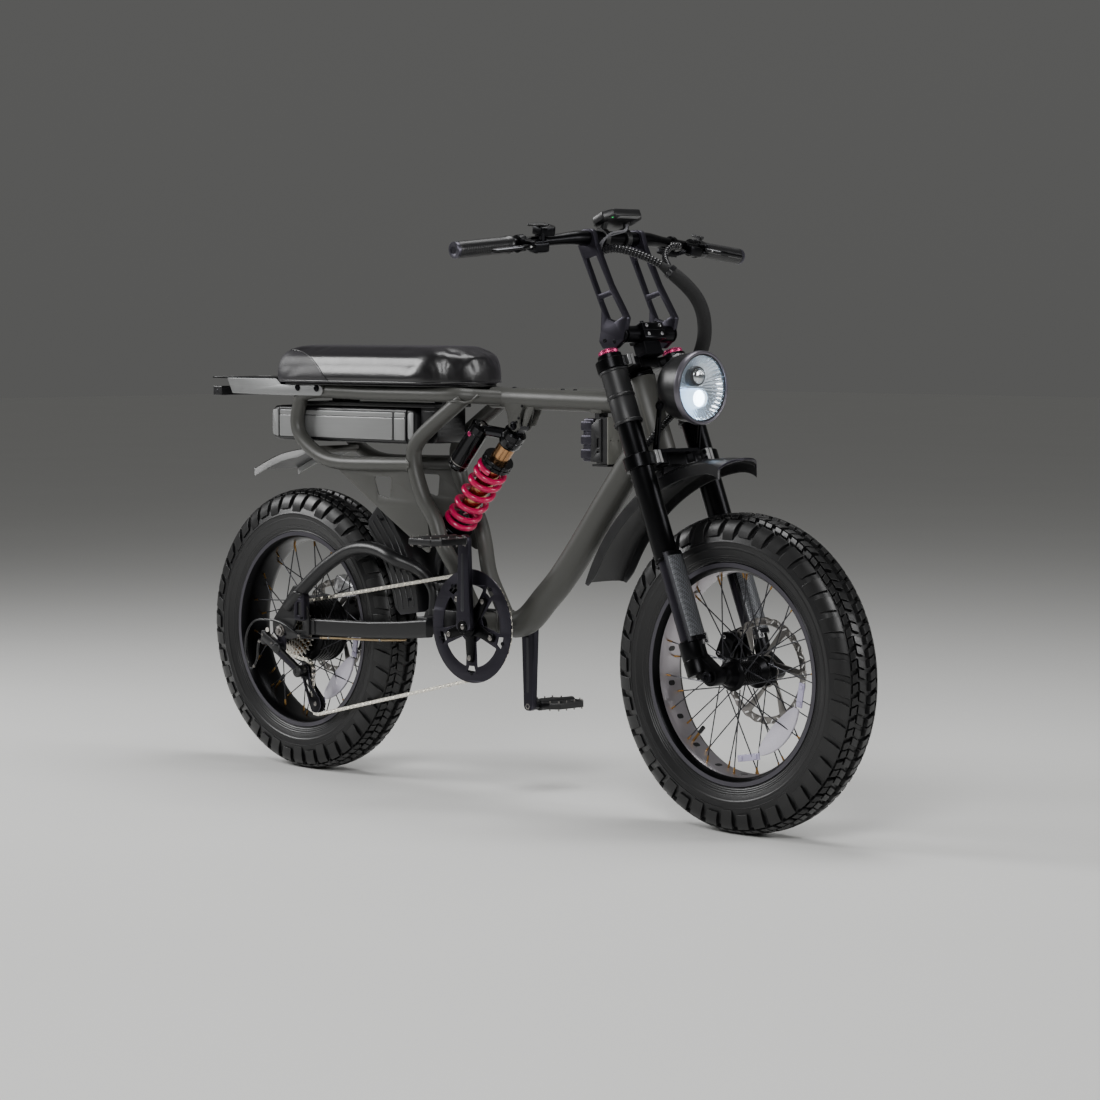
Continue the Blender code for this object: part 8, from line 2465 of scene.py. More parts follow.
@dataclass
class Seat:
    """The bench cushion with its panels, welts and stitches, on its pan."""

    front: float = -43 * MM
    length: float = 532 * MM
    half: float = 110 * MM
    height: float = 77 * MM
    nose: float = 98 * MM
    base: float = 475.8 * MM
    pan_thick: float = 4 * MM
    voxel: float = 5 * MM
    swell: float = 5 * MM

    def section(self, share: float, shrink: float) -> list[Vector]:
        """The outline of the cushion at a share of its length, drawn in by shrink."""
        nose = max(0.0, (share - (1 - self.nose / self.length)) / (self.nose / self.length))
        tail = max(0.0, 1 - share / 0.05)
        width = self.half * max(0.22, (1 - nose**2.6) ** 0.5 * (1 - 0.05 * tail**2)) - shrink
        crown = self.height * (1 - 0.24 * nose**3) * (1 - 0.12 * tail**2) - shrink
        low = self.base + self.pan_thick + GAP
        side = [(0.95, 0.0), (0.985, 0.16), (0.995, 0.36), (0.98, 0.58), (0.93, 0.77), (0.84, 0.89)]
        side += [(0.68, 0.955), (0.45, 0.985), (0.22, 0.998), (0.0, 1.0)]
        x = self.front - self.length * (1 - share)
        points = [from_crank(x, low + crown * z, -width * y) for y, z in side]
        return points + [Vector((p.x, -p.y, p.z)) for p in points[-2::-1]]

    def foam(self) -> bpy.types.Object:
        """Lofts the cushion, remeshes it and lets its cover swell under pressure.

        Returns:
            The cushion's object, before its seams.
        """
        shares = [0.004, 0.02, 0.05] + [0.08 + 0.78 * i / 24 for i in range(25)]
        shares += [0.885, 0.91, 0.935, 0.955, 0.972, 0.986, 0.995]
        shape = Shape().grid([self.section(s, 3.2 * MM) for s in shares], True, False, True)
        pad = shape.build("seat_cushion", "", (SEAT_VINYL, SEAT_VINYL_REAR), ("seat",), slot="vinyl")
        remesh = pad.modifiers.new("remesh", "REMESH")
        remesh.mode = "VOXEL"
        remesh.voxel_size = self.voxel
        apply_modifiers(pad)
        self.inflate(pad)
        smooth = pad.modifiers.new("smooth", "SMOOTH")
        smooth.factor = 0.6
        smooth.iterations = 6
        finer = pad.modifiers.new("finer", "SUBSURF")
        finer.levels = 1
        finer.render_levels = 1
        apply_modifiers(pad)
        pad.data.shade_smooth()
        return pad

    def inflate(self, pad: bpy.types.Object) -> None:
        """Runs a pressure cloth over the pad and keeps its result, capped, with a flat base."""
        before = [v.co.copy() for v in pad.data.vertices]
        floor = min(p.z for p in before)
        cloth = pad.modifiers.new("cover", "CLOTH")
        cloth.settings.use_pressure = True
        cloth.settings.uniform_pressure_force = 4.0
        cloth.settings.effector_weights.gravity = 0.0
        cloth.settings.quality = 6
        held = pad.vertex_groups.new(name="held")
        held.add([i for i, p in enumerate(before) if p.z < floor + 4 * MM], 1.0, "REPLACE")
        cloth.settings.vertex_group_mass = "held"
        scene = bpy.context.scene
        for step in range(1, 21):
            scene.frame_set(step)
        solved = pad.evaluated_get(bpy.context.evaluated_depsgraph_get()).to_mesh()
        after = [v.co.copy() for v in solved.vertices]
        pad.modifiers.remove(cloth)
        scene.frame_set(1)
        for vertex, old, new in zip(pad.data.vertices, before, after):
            move = new - old
            if old.z < floor + 4 * MM:
                continue
            if move.length > self.swell:
                move *= self.swell / move.length
            vertex.co = old + move

    def trim(self, pad: bpy.types.Object) -> None:
        """Lays the seams and the base welt on the finished surface, and marks the rear panels."""
        tree = BVHTree.FromObject(pad, bpy.context.evaluated_depsgraph_get())
        low = self.base + self.pan_thick + GAP
        back = self.front - self.length
        made = Shape()
        panel = [
            (0.176, 0.03), (0.160, 0.22), (0.138, 0.45), (0.112, 0.66), (0.080, 0.80),
            (0.045, 0.87), (0.012, 0.90),
        ]
        for side in SIDES:
            path = []
            for spot in smooth_line([(a, 0, h) for a, h in panel], 6):
                origin = from_crank(back + spot.x, low + self.height * spot.z, side * 0.3)
                hit = tree.ray_cast(origin, Vector((0, -side, 0)))
                if hit[0] is not None:
                    path.append(hit[0] + hit[1] * 0.2 * MM)
            made.use(0).tube(path, 1.3 * MM, 10)
            for here, there in zip(path[::2], path[1::2]):
                lift = Vector((0, side * 0.4 * MM, 0)) + (here - there).normalized().cross(
                    ACROSS
                ) * side * 3.4 * MM
                made.use(1).rod(here + lift, here + lift + (there - here) * 0.62, 0.55 * MM, 6)
        ring = []
        for i in range(100):
            a = TURN * i / 100
            far = from_crank(self.front - self.length / 2, low + 4 * MM)
            out = Vector((math.cos(a), math.sin(a) * 0.5, 0)).normalized()
            hit = tree.ray_cast(far + out * 0.6, -out)
            if hit[0] is not None:
                ring.append(hit[0] + out * 0.4 * MM)
        made.use(0).tube(ring, 2.2 * MM, 12, loop=True)
        made.build("seat_welts", "frame", (SEAT_VINYL, THREAD), (), slot="vinyl")
        curve = smooth_line([(a, 0, h) for a, h in panel], 6)
        for face in pad.data.polygons:
            centre = face.center
            ahead = centre.x - CRANK_AXLE.x - back
            rise = (centre.z - CRANK_AXLE.z - low) / self.height
            edge = max((p.x for p in curve if p.z >= rise), default=-1.0)
            face.material_index = 1 if ahead < edge else 0

    def build(self) -> None:
        """Makes the cushion and the moulded pan under it."""
        pad = self.foam()
        self.trim(pad)
        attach(pad, "frame")
        back = self.front - self.length
        pan = [
            (back + 12 * MM, -90 * MM), (self.front - 100 * MM, -90 * MM), (self.front - 30 * MM, -68 * MM)
        ]
        pan += [(self.front - 14 * MM, -27 * MM)]
        pan += [(u, -v) for u, v in pan[::-1]]
        place = Matrix.Translation(from_crank(0, self.base + self.pan_thick / 2))
        made = Shape().sheet([fillet(pan, 14 * MM, 5)], self.pan_thick, place, 1 * MM)
        made.build("seat_base", "frame", ABS_BLACK, ("seat_pan",), slot="black_plastic")


@dataclass
class Tail:
    """The rear side plates with their roof, the lamp, and the flap behind the battery."""

    outer: float = 83.8 * MM
    rail_height: float = 460.5 * MM
    back: float = -814 * MM

    def plates(self) -> None:
        """Both pale side plates, their dark top edge, the roof and the bolts."""
        top, rail = self.rail_height + 27 * MM, self.rail_height
        outline = [
            (-758 * MM, top - 0.4 * MM, 2 * MM), (-592.5 * MM, top - 0.4 * MM, 6 * MM),
            (-577 * MM, rail + 14.5 * MM, 8 * MM), (-448 * MM, rail + 14.5 * MM, 9 * MM),
            (-440 * MM, rail + 4 * MM, 9 * MM), (-448 * MM, rail - 7 * MM, 8 * MM),
            (-560 * MM, rail - 8 * MM, 20 * MM), (-740 * MM, rail - 6 * MM, 4 * MM),
        ]
        made = Shape()
        edge = fillet(outline, 4 * MM, 5)
        for side in SIDES:
            made.use(0).sheet([edge], 3 * MM, side_on(CRANK_AXLE, side * self.outer), 0.5 * MM)
            made.use(1)
            lid = [(-757, 487.6), (-592.5, 487.6), (-577, 475.4), (-452, 475.4)]
            line = [from_crank(u * MM, v * MM, side * (self.outer - 1.4 * MM)) for u, v in lid]
            made.tube(line, 2.1 * MM, 4, side=ACROSS)
            for x, z in ((-521, 469.5), (-460, 468.5)):
                seat = from_crank(x * MM, z * MM, side * (self.outer + 1.4 * MM))
                made.use(2).lathe(in_mm([(7.4, 0), (7.4, 0.8), (0, 0.8)]), seat, ACROSS * side, 24)
                made.bolt(seat + ACROSS * side * 0.8 * MM, ACROSS * side, 5.6 * MM, 3.2 * MM)
        roof = [
            (self.back, -self.outer), (-591.5 * MM, -self.outer), (-591.5 * MM, self.outer),
            (self.back, self.outer),
        ]
        made.use(1).sheet(
            [fillet(roof, 8 * MM, 4)], 3 * MM, Matrix.Translation(from_crank(0, top)), 0.6 * MM
        )
        made.use(0).block(
            (10 * MM, 2 * self.outer - 12 * MM, 1.2 * MM), from_crank(self.back + 7 * MM, top + 1.3 * MM)
        )
        made.use(1).block(mm(12, 60, 20), from_crank(self.back + 18 * MM, top - 8 * MM))
        made.block((4 * MM, 2 * self.outer, 12 * MM), from_crank(-740 * MM, rail + 12 * MM))
        made.build(
            "tail_plates",
            "frame",
            (PALE_ANODISED, BLACK_ANODISED, STEEL_BLACK),
            ("rear_plates",),
            bevel=0.3 * MM,
            slot="pale_metal",
        )

    def lamp(self) -> None:
        """The tail lamp: a black bar with a red lens."""
        place = from_crank(self.back + 16 * MM, self.rail_height + 27 * MM - 28.8 * MM)
        face = rounded(15, 10, 3, 4)
        made = Shape().sheet([in_mm(face)], 160 * MM, side_on(place), 1.5 * MM)
        lens = rounded(74, 7, 4, 4)
        back = place - FORWARD * 15.2 * MM
        made.use(1).sheet([in_mm(lens)], 1.6 * MM, facing(back, FORWARD), 0.6 * MM)
        for side in SIDES:
            made.use(2).bolt(place + ACROSS * side * 79 * MM, ACROSS * side, 3 * MM, 1.2 * MM)
        made.build(
            "tail_lamp", "frame", (ABS_BLACK, RED_ACRYLIC, STEEL_BLACK), ("tail_light",), slot="red_lens"
        )

    def flap(self) -> None:
        """The curved flap behind the battery, pale above and black below, with its flanges."""
        route = smooth_line(
            [(-505.5, 0, 338.5), (-535, 0, 336.5), (-595, 0, 326.5), (-645, 0, 310.5), (-696, 0, 289.5)], 6
        )
        upper = [from_crank(p.x * MM, (p.z + 3) * MM, -62 * MM) for p in route]
        lower = [from_crank(p.x * MM, (p.z + 1.2) * MM, -62 * MM) for p in route]
        made = Shape().prism(upper + lower[::-1], ACROSS * 124 * MM)
        base = [from_crank(p.x * MM, p.z * MM, -60 * MM) for p in route]
        made.use(1).prism([p - SKY * 0.2 * MM for p in lower] + base[::-1], ACROSS * 120 * MM)
        for side in SIDES:
            drop = [p - SKY * 14 * MM * min(1.0, i / 8) for i, p in enumerate(lower)]
            shift = ACROSS * (62 * MM + side * 62 * MM)
            made.use(0).prism([p + shift for p in upper + drop[::-1]], -ACROSS * side * 3 * MM)
        made.build(
            "tail_flap",
            "frame",
            (PALE_ANODISED, ABS_BLACK),
            ("rear_flap",),
            bevel=0.5 * MM,
            slot="pale_metal",
        )

    def build(self) -> None:
        """Makes the tail's pieces."""
        self.plates()
        self.lamp()
        self.flap()


@dataclass
class Battery:
    """The battery pack, its dock with the front housing, and the horn unit."""

    front: float = -189 * MM
    length: float = 466 * MM
    half: float = 52 * MM
    top: float = 431 * MM
    height: float = 75 * MM

    def pack(self) -> None:
        """The pack: a dark body with pale panels, grooves, caps and a rear grip."""
        back, low = self.front - self.length, self.top - self.height
        middle = (low + self.top) / 2
        rim = rounded(1, 1, 0.2, 4)
        stations = [(back, 10, 15), (back + 3 * MM, 6, 10), (back + 15 * MM, 3, 2), (back + 27 * MM, 3, 2)]
        stations += [(back + 27.4 * MM, 4.4, 3.6), (back + 30 * MM, 4.4, 3.6), (back + 30.4 * MM, 1.4, 0.6)]
        stations += [(self.front - 30.4 * MM, 1.4, 0.6), (self.front - 30 * MM, 4.4, 3.6)]
        stations += [(self.front - 27.4 * MM, 4.4, 3.6), (self.front - 27 * MM, 3, 2)]
        stations += [(self.front - 15 * MM, 3, 2), (self.front - 3 * MM, 6, 10), (self.front, 10, 15)]
        rings = []
        for x, dy, dz in stations:
            half_y, half_z = self.half - dy * MM, self.height / 2 - dz * MM
            rings.append([from_crank(x, middle + v * half_z, u * half_y) for u, v in rim])
        made = Shape().use(1).grid(rings, True, False, True)
        ends = [(back + 33 * MM, self.front - 72 * MM), (self.front - 66 * MM, self.front - 33 * MM)]
        for side in SIDES:
            for start, end in ends:
                for v0, v1, proud in (
                    (low + 9 * MM, self.top - 21 * MM, 0.0),
                    (self.top - 19.6 * MM, self.top - 10 * MM, -0.7 * MM),
                ):
                    face = fillet([(start, v0), (end, v0), (end, v1), (start, v1)], 3.5 * MM, 4)
                    place = side_on(CRANK_AXLE, side * (self.half - 1.3 * MM + proud))
                    made.use(0).sheet([face], 2.4 * MM, place, 0.5 * MM)
            for x0, x1 in ((back + 7 * MM, back + 26 * MM), (self.front - 26 * MM, self.front - 9 * MM)):
                cap = [
                    (x0, low + 12 * MM, 8 * MM), (x1, low + 8 * MM), (x1, self.top - 9 * MM),
                    (x0, self.top - 10 * MM, 8 * MM),
                ]
                made.sheet(
                    [fillet(cap, 2.5 * MM, 4)],
                    1.6 * MM,
                    side_on(CRANK_AXLE, side * (self.half - 2.9 * MM)),
                    0.5 * MM,
                )
        rear = rounded(38 * MM, 20 * MM, 8 * MM, 4)
        made.sheet([rear], 1.2 * MM, facing(from_crank(back - 0.2 * MM, middle), FORWARD), 0.4 * MM)
        grip = rounded(4, 9, 2.5, 4)
        place = side_on(from_crank(back + 1 * MM, middle))
        made.use(1).sheet([in_mm(grip)], 50 * MM, place, 1.5 * MM)
        made.build(
            "battery_case", "battery", (PALE_ANODISED, ABS_BLACK), ("battery_pack",), slot="pale_metal"
        )

    def dock(self) -> None:
        """The tray under the rails with its saddles and the moulded front housing."""
        floor = self.top + 1.5 * MM
        made = Shape()
        tray = [(-551.5, 0), (-131.5, 0), (-131.5, 7.5), (-551.5, 7.5)]
        place = side_on(from_crank(0, floor))
        made.sheet([fillet(in_mm(tray), 2 * MM)], 100 * MM, place, 0.8 * MM)
        for x in (-150 * MM, -470 * MM):
            for side in SIDES:
                saddle = [(x - 12 * MM, 4 * MM), (x + 12 * MM, 4 * MM), (x + 11.6 * MM, 20 * MM)]
                saddle += [(x + 9.4 * MM, 20 * MM)] + arc(9.4 * MM, 0.1, -math.pi - 0.1, 10, x, 27.2 * MM)[
                    1:-1
                ]
                saddle += [(x - 9.4 * MM, 20 * MM), (x - 11.6 * MM, 20 * MM)]
                spot = side_on(from_crank(0, floor), side * 16 * MM)
                made.sheet([saddle], 16 * MM, spot, 0.4 * MM)
                made.use(1).bolt(from_crank(x, floor + 7 * MM, side * 38 * MM), SKY, 4 * MM, 3 * MM).use(0)
        x, z = self.front + 27.5 * MM, floor - self.height / 2 + 2 * MM
        face = [(-26, -37.5, 7), (26, -37.5, 16), (26, 37.5, 5), (-26, 37.5, 4)]
        outline = fillet(in_mm(face), 4 * MM, 5)
        made.sheet([outline], 78 * MM, side_on(from_crank(x, z)), 3 * MM)
        for k in range(4):
            rib = from_crank(x + 26.2 * MM, z - 18 * MM + 10 * MM * k)
            made.block(mm(1.2, 56, 2.4), rib)
        for side in SIDES:
            inset = [(u * 0.72, v * 0.76) for u, v in outline]
            made.use(0).sheet([inset], 1.4 * MM, side_on(from_crank(x, z), side * 39 * MM), 0.5 * MM)
            made.use(1).bolt(
                from_crank(x + 12 * MM, z + 22 * MM, side * 39.6 * MM), ACROSS * side, 3.4 * MM, 1.4 * MM
            )
        made.build(
            "battery_cradle",
            "frame",
            (ABS_BLACK, STEEL_BLACK),
            ("battery_dock",),
            bevel=0.3 * MM,
            slot="black_plastic",
        )

    def horn(self) -> None:
        """The horn unit: a three-ribbed block, a black slotted side plate, a drilled cover and a tray."""
        x, z = 292.5 * MM, 377.5 * MM
        made = Shape()
        place = from_crank(x - 20 * MM, z)
        body = fillet([(-13, -42, 4), (17, -42, 3), (17, 42, 3), (-13, 42, 8)], 4, 5)
        made.use(0).sheet([in_mm(body)], 36 * MM, side_on(place), 3 * MM)
        for k in range(3):
            rise = (-27 + 27 * k) * MM
            fin = fillet([(-17, -9.5), (14, -9.5), (14, 9.5), (-17, 9.5)], 5, 5)
            made.sheet([in_mm(fin)], 42 * MM, side_on(place + SKY * rise), 2.6 * MM)
        middle = from_crank(x + 1 * MM, z)
        made.use(1).block(mm(14, 32, 80), Matrix.Translation(middle))
        side_face = [(-14, -42, 2), (16, -42, 2), (16, 42, 2), (6, 41, 12), (-12, 30, 12)]
        side_face = in_mm(fillet(side_face, 3, 6))
        window = fillet([(4, -14), (11, -14), (11, 6), (4, 4)], 2, 4)
        lower = fillet([(3, -24), (11, -24), (11, -20), (5, -20)], 1.5, 4)
        cuts = [in_mm(ring) for ring in (window, lower)]
        for side in SIDES:
            made.use(1).sheet(
                [side_face] + cuts, 2.4 * MM, side_on(from_crank(x + 4 * MM, z), side * 19.4 * MM), 0.8 * MM
            )
            made.use(0).block(
                mm(9, 1, 44), Matrix.Translation(from_crank(x + 11 * MM, z - 8 * MM, side * 17.6 * MM))
            )
        cover = rounded(19.5, 46, 2.5, 4)
        skin = in_mm(cover)
        pins = [circle(1.8 * MM, u * MM, 0.0, 14) for u in (-11, 9)]
        made.use(2).sheet([skin] + pins, 2.4 * MM, front_on(from_crank(x + 36.2 * MM, z)), 0.5 * MM)
        made.use(1).block(mm(30, 37, 90), Matrix.Translation(from_crank(x + 20 * MM, z)))
        made.use(1).block(mm(42, 38, 4), Matrix.Translation(from_crank(x + 15 * MM, z - 48.4 * MM)))
        join = self.foot_top()
        made.use(1).block((12 * MM, 24 * MM, join - z - 30 * MM), from_crank(x, (join + z + 30 * MM) / 2))
        made.use(3).bolt(from_crank(x + 6 * MM, join - 8 * MM), FORWARD, 3.4 * MM, 2.4 * MM)
        made.build(
            "horn_and_controller",
            "frame",
            (GREY_ANODISED, ABS_BLACK, HORN_COVER, STEEL_BLACK),
            ("horn_unit",),
            slot="grey_metal",
        )

    def foot_top(self) -> float:
        """The height of the ear under the top tube, where the horn's foot ends."""
        return 455.5 * MM - 21 * MM - 5 * MM - GAP

    def build(self) -> None:
        """Makes the pack, the dock and the horn unit."""
        self.pack()
        self.dock()
        self.horn()


@dataclass
class SwingArm:
    """The swing arm: box arms, arch, dropouts, shock tower, yoke and bolts."""

    stay: float = 572 * MM
    arm_y: float = 76 * MM
    arm_wide: float = 20 * MM

    def arch_route(self, side: int) -> list[Vector]:
        """The path of one arch tube, from the dropout over the arm to the yoke."""
        places = [(22, 6, 90.5), (60, 36, 92), (121, 87.5, 83.5), (179, 122.5, 77.5), (222, 137.5, 77.5)]
        places += [(264, 141.5, 77.5), (306, 136.5, 77.5), (347, 122.5, 76.5), (388, 98.5, 44.5)]
        places += [(420.5, 62.5, 37.5), (422, 10, 37.5)]
        return [from_crank(x * MM - self.stay, z * MM, side * y * MM) for x, z, y in places]

    def arm(self, made: Shape, side: int) -> None:
        """Adds one box arm, a rounded section that grows towards the pivot."""
        face = rounded(1, 1, 0.42, 5)
        rear, front = 77 * MM - self.stay, -130 * MM
        stations = [(rear, -34, 77, 34), (rear + 0.1, -31.2, 75, 34), (rear + 0.195, -28, 73, 34)]
        stations += [(rear + 0.29, -21.8, 70.6, 35.6), (front, -14, 68, 37.4)]
        rings = []
        for x, z, y, tall in stations:
            centre = (y * MM, z * MM)
            ring = []
            for u, v in face:
                across = side * (centre[0] + u * self.arm_wide / 2)
                ring.append(from_crank(x, centre[1] + v * tall / 2 * MM, across))
            rings.append(ring)
        made.grid(rings, True, False, True)

    def dropout(self, made: Shape, side: int) -> None:
        """Adds one dropout with its arm socket, the ribbed arch bracket and the fasteners."""
        drop = [(-28, -30, 8), (-26, -52, 8), (-12, -64, 8), (27, -64, 8), (92, -52, 4), (92, -16, 4)]
        drop += [(72, 46, 6), (42, 52, 6), (24, 30, 10), (-20, -18, 8)]
        outline = fillet(in_mm(drop), 5 * MM, 5)
        slot = fillet(in_mm([(40, -44), (78, -40), (76, -24), (48, -22)]), 4 * MM, 4)
        y = side * 90.6 * MM
        made.use(0).sheet([outline, slot], 6 * MM, side_on(from_crank(-self.stay, 0), y), 1.2 * MM)
        end = from_crank(85 * MM - self.stay, -34 * MM)
        face = in_mm([(-20, -15), (20, -15), (20, 15), (-20, 15)])
        made.sheet([fillet(face, 5 * MM)], 14 * MM, side_on(end, side * (self.arm_y + 6 * MM)), 1.6 * MM)
        foot = from_crank(67 * MM - self.stay, 12 * MM)
        place = side_on(foot, side * 91.6 * MM)
        cast = [(-17, -33, 4), (17, -33, 6), (17, 20, 8), (7, 33, 8), (-9, 33, 5), (-17, 22, 5)]
        shape = fillet(in_mm(cast), 4 * MM, 5)
        hole = fillet(in_mm([(-6, -22), (6, -22), (6, 6), (-6, 6)]), 3 * MM)
        made.use(1).sheet([shape, hole], 16 * MM, place, 1.6 * MM)
        made.use(0).sheet([hole], 10 * MM, place)
        for k in range(3):
            rib = place @ Matrix.Translation((0, (13 + 5 * k) * MM, -side * 8.2 * MM))
            made.use(1).block(mm(17, 1.8, 1.4), rib)
        for u, v in ((10, -27), (-10, 26)):
            seat = place @ Vector((u * MM, v * MM, 0)) + ACROSS * side * 7.4 * MM
            made.use(2).bolt(seat, ACROSS * side, 3.6 * MM, 2.4 * MM)
        for u, v in ((14, -54), (62, -50)):
            seat = from_crank(-self.stay + u * MM, v * MM, side * 93.4 * MM)
            made.use(2).bolt(seat, ACROSS * side, 3.2 * MM, 2 * MM)

    def centre(self, made: Shape) -> None:
        """Adds the pivot ears, the shock tower, the yoke and bridge, the foot and the hanger."""
        for side in SIDES:
            ear = capsule((-56.5 * MM, 4.5 * MM), (-150 * MM, 4 * MM), 19 * MM, 20 * MM, 14)
            made.use(0).sheet([ear], 12.5 * MM, side_on(CRANK_AXLE, side * 41.3 * MM), 1.6 * MM)
            tower = [(-168, -6), (-132, -6), (-124, 120, 30), (-128.6, 166.5, 10), (-133, 178.5, 6)]
            tower += [(-142, 182.5, 6), (-151, 178.5, 6), (-155, 168.5, 10), (-166, 120, 30)]
            hole = fillet(in_mm([(-158, 88), (-140, 90), (-138, 124), (-154, 122)]), 6 * MM)
            outline = fillet(in_mm(tower), 6 * MM, 5)
            made.sheet([outline, hole], 4 * MM, side_on(CRANK_AXLE, side * 18.5 * MM), 0.8 * MM)
            bolt = from_crank(-142 * MM, 168.5 * MM, side * 20.5 * MM)
            made.use(2).lathe(in_mm([(8.6, 0), (8.6, 1), (0, 1)]), bolt, ACROSS * side, 28)
            made.bolt(bolt + ACROSS * side * 1 * MM, ACROSS * side, 6 * MM, 3 * MM)
            pin = SWING_PIVOT + ACROSS * side * 47.5 * MM
            made.lathe(in_mm([(13, 0), (13, 1.6), (11, 2.2), (0, 2.2)]), pin, ACROSS * side, 32)
            made.bolt(pin + ACROSS * side * 2.2 * MM, ACROSS * side, 7 * MM, 1.8 * MM)
        made.use(0)
        yoke = rounded(18 * MM, 18 * MM, 7 * MM)
        made.sheet([yoke], 140 * MM, side_on(from_crank(-150 * MM, -10 * MM)), 2 * MM)
        made.sheet(
            [[(u * 0.66, v * 0.44) for u, v in yoke]],
            83 * MM,
            side_on(from_crank(-146 * MM, 70 * MM)),
            1.5 * MM,
        )
        foot = rounded(32 * MM, 9 * MM, 5 * MM)
        made.sheet([foot], 12 * MM, side_on(from_crank(42 * MM - self.stay, 30 * MM), 81.8 * MM), 1.4 * MM)
        hanger = capsule((0, 0), (2 * MM, -36 * MM), 15 * MM, 10 * MM, 12)
        made.use(1).sheet([hanger], 6.4 * MM, side_on(REAR_AXLE, -90.6 * MM), 1 * MM)
        rods = ((SWING_PIVOT, 6 * MM, 47 * MM), (from_crank(-142 * MM, 168.5 * MM), 5 * MM, 20 * MM))
        for point, radius, half in rods:
            made.use(2).rod(point - ACROSS * half, point + ACROSS * half, radius, 24)

    def build(self) -> None:
        """Makes the arm and the rear axle with its nuts."""
        made = Shape()
        for side in SIDES:
            self.arm(made.use(0), side)
            route = self.arch_route(side)
            made.swept(route, [14 * MM] * 8 + [13 * MM, 12 * MM, 12 * MM], 7, 32)
            made.weld(
                route[1],
                route[0] - route[1],
                14 * MM,
                from_crank(60 * MM - self.stay, 14 * MM, route[0].y),
                ACROSS,
                26 * MM,
            )
            self.dropout(made, side)
        self.centre(made)
        made.build(
            "swing_arm",
            "swingarm",
            (BLACK_COAT, GREY_ANODISED, STEEL_BLACK),
            ("swingarm",),
            bevel=0.4 * MM,
            angle=40,
            slot="black_paint",
        )
        axle = Shape().rod(REAR_AXLE - ACROSS * 94 * MM, REAR_AXLE + ACROSS * 94 * MM, 7 * MM, 28)
        for side in SIDES:
            start = REAR_AXLE + ACROSS * side * 93.9 * MM
            axle.use(0).lathe(in_mm([(12.4, 0), (12.4, 1.4), (10, 1.4)]), start, ACROSS * side, 32)
            axle.nut(start, ACROSS * side, 11 * MM, 7 * MM)
        axle.build("rear_axle_and_nuts", "swingarm", STEEL, ("rear_axle",), bevel=0.3 * MM, slot="steel")


@dataclass
class InnerFender:
    """The guard between the rear wheel and the seat tubes, with its upright ribs."""

    start: float = math.radians(9)
    end: float = math.radians(46)

    def build(self) -> None:
        """Makes the shell with its ribs, brace and fixings, and the shift housing."""
        guard = Arc(REAR_AXLE, self.start, self.end, 325 * MM, 398 * MM, 104 * MM, 3 * MM)
        made = Shape()
        guard.skin(made, 40)
        for side in SIDES:
            for radius, thick in ((333, 2.2), (349, 2.6), (366, 2.6), (383, 2.2)):
                line = []
                for i in range(25):
                    angle = self.start + (self.end - self.start) * (0.05 + 0.9 * i / 24)
                    line.append(REAR_AXLE + guard.out(angle) * radius * MM + ACROSS * side * 51.6 * MM)
                made.tube(line, thick * MM, 10)
            for share in (0.12, 0.88):
                angle = self.start + (self.end - self.start) * share
                seat = REAR_AXLE + guard.out(angle) * 374 * MM + ACROSS * side * 53.4 * MM
                made.use(1).bolt(seat, ACROSS * side, 3.6 * MM, 1.8 * MM).use(0)
        back, front = REAR_AXLE.x + 384 * MM, CRANK_AXLE.x - 168 * MM
        face = fillet([(back, -9 * MM), (front, -9 * MM), (front, 9 * MM), (back, 9 * MM)], 3 * MM)
        made.sheet([face], 44 * MM, side_on((0, 0, CRANK_AXLE.z + 62 * MM)), 1 * MM)
        made.build(
            "inner_guard",
            "swingarm",
            (POLYPROPYLENE, STEEL_BLACK),
            ("inner_fender",),
            bevel=0.3 * MM,
            slot="black_plastic",
        )
        hang = REAR_AXLE + mm(2, -101.6, -36)
        steps = [
            (-53.5, 0, 18), (-66, -1, 6), (-72, -1, -30), (-90, -2, -50), (-106, -2, -20), (-104, -2, 24)
        ]
        steps += [(-80, -1, 52), (-40, 0, 58), (0, 1, 56), (40, 1, 43), (75, 4, 28)]
        route = [hang + Vector(p) * MM for p in steps]
        under = -17 * MM - 2.5 * MM - 1.5 * MM
        runs = [(-458, -34.6, -80), (-400, -31.5, -76), (-300, -28, -74), (-200, -21.3, -70)]
        route += [from_crank(x * MM, z * MM + under, y * MM) for x, z, y in runs]
        line = smooth_line(route, 8)
        cable = Shape().tube(line[:90], 2.4 * MM, 14)
        cable.use(1).tube(line[88:], 2.4 * MM, 14)
        for index in (6, 20, 78, 92, 106):
            way = line[index + 1] - line[index]
            ring = in_mm([(2.5, -3), (3.3, -2.6), (3.3, 2.6), (2.5, 3)])
            cable.use(2).lathe(ring, line[index], way, 16)
        cable.build(
            "shift_housing",
            "swingarm",
            (GLOSS_NYLON, TAN_HOUSING, STEEL),
            ("rear_cable",),
            slot="black_plastic",
        )


CHAIN_PITCH = 12.7 * MM
RING_TEETH = 52
SPROCKETS = (28, 25, 22, 20, 18, 16, 14)
PULLEY_TEETH = 11
SPROCKET_Y = 52 * MM
CHAIN_LINE = 66 * MM


def pitch_radius(teeth: int) -> float:
    """The radius of the chain's pins on a sprocket."""
    return CHAIN_PITCH / (2 * math.sin(math.pi / teeth))


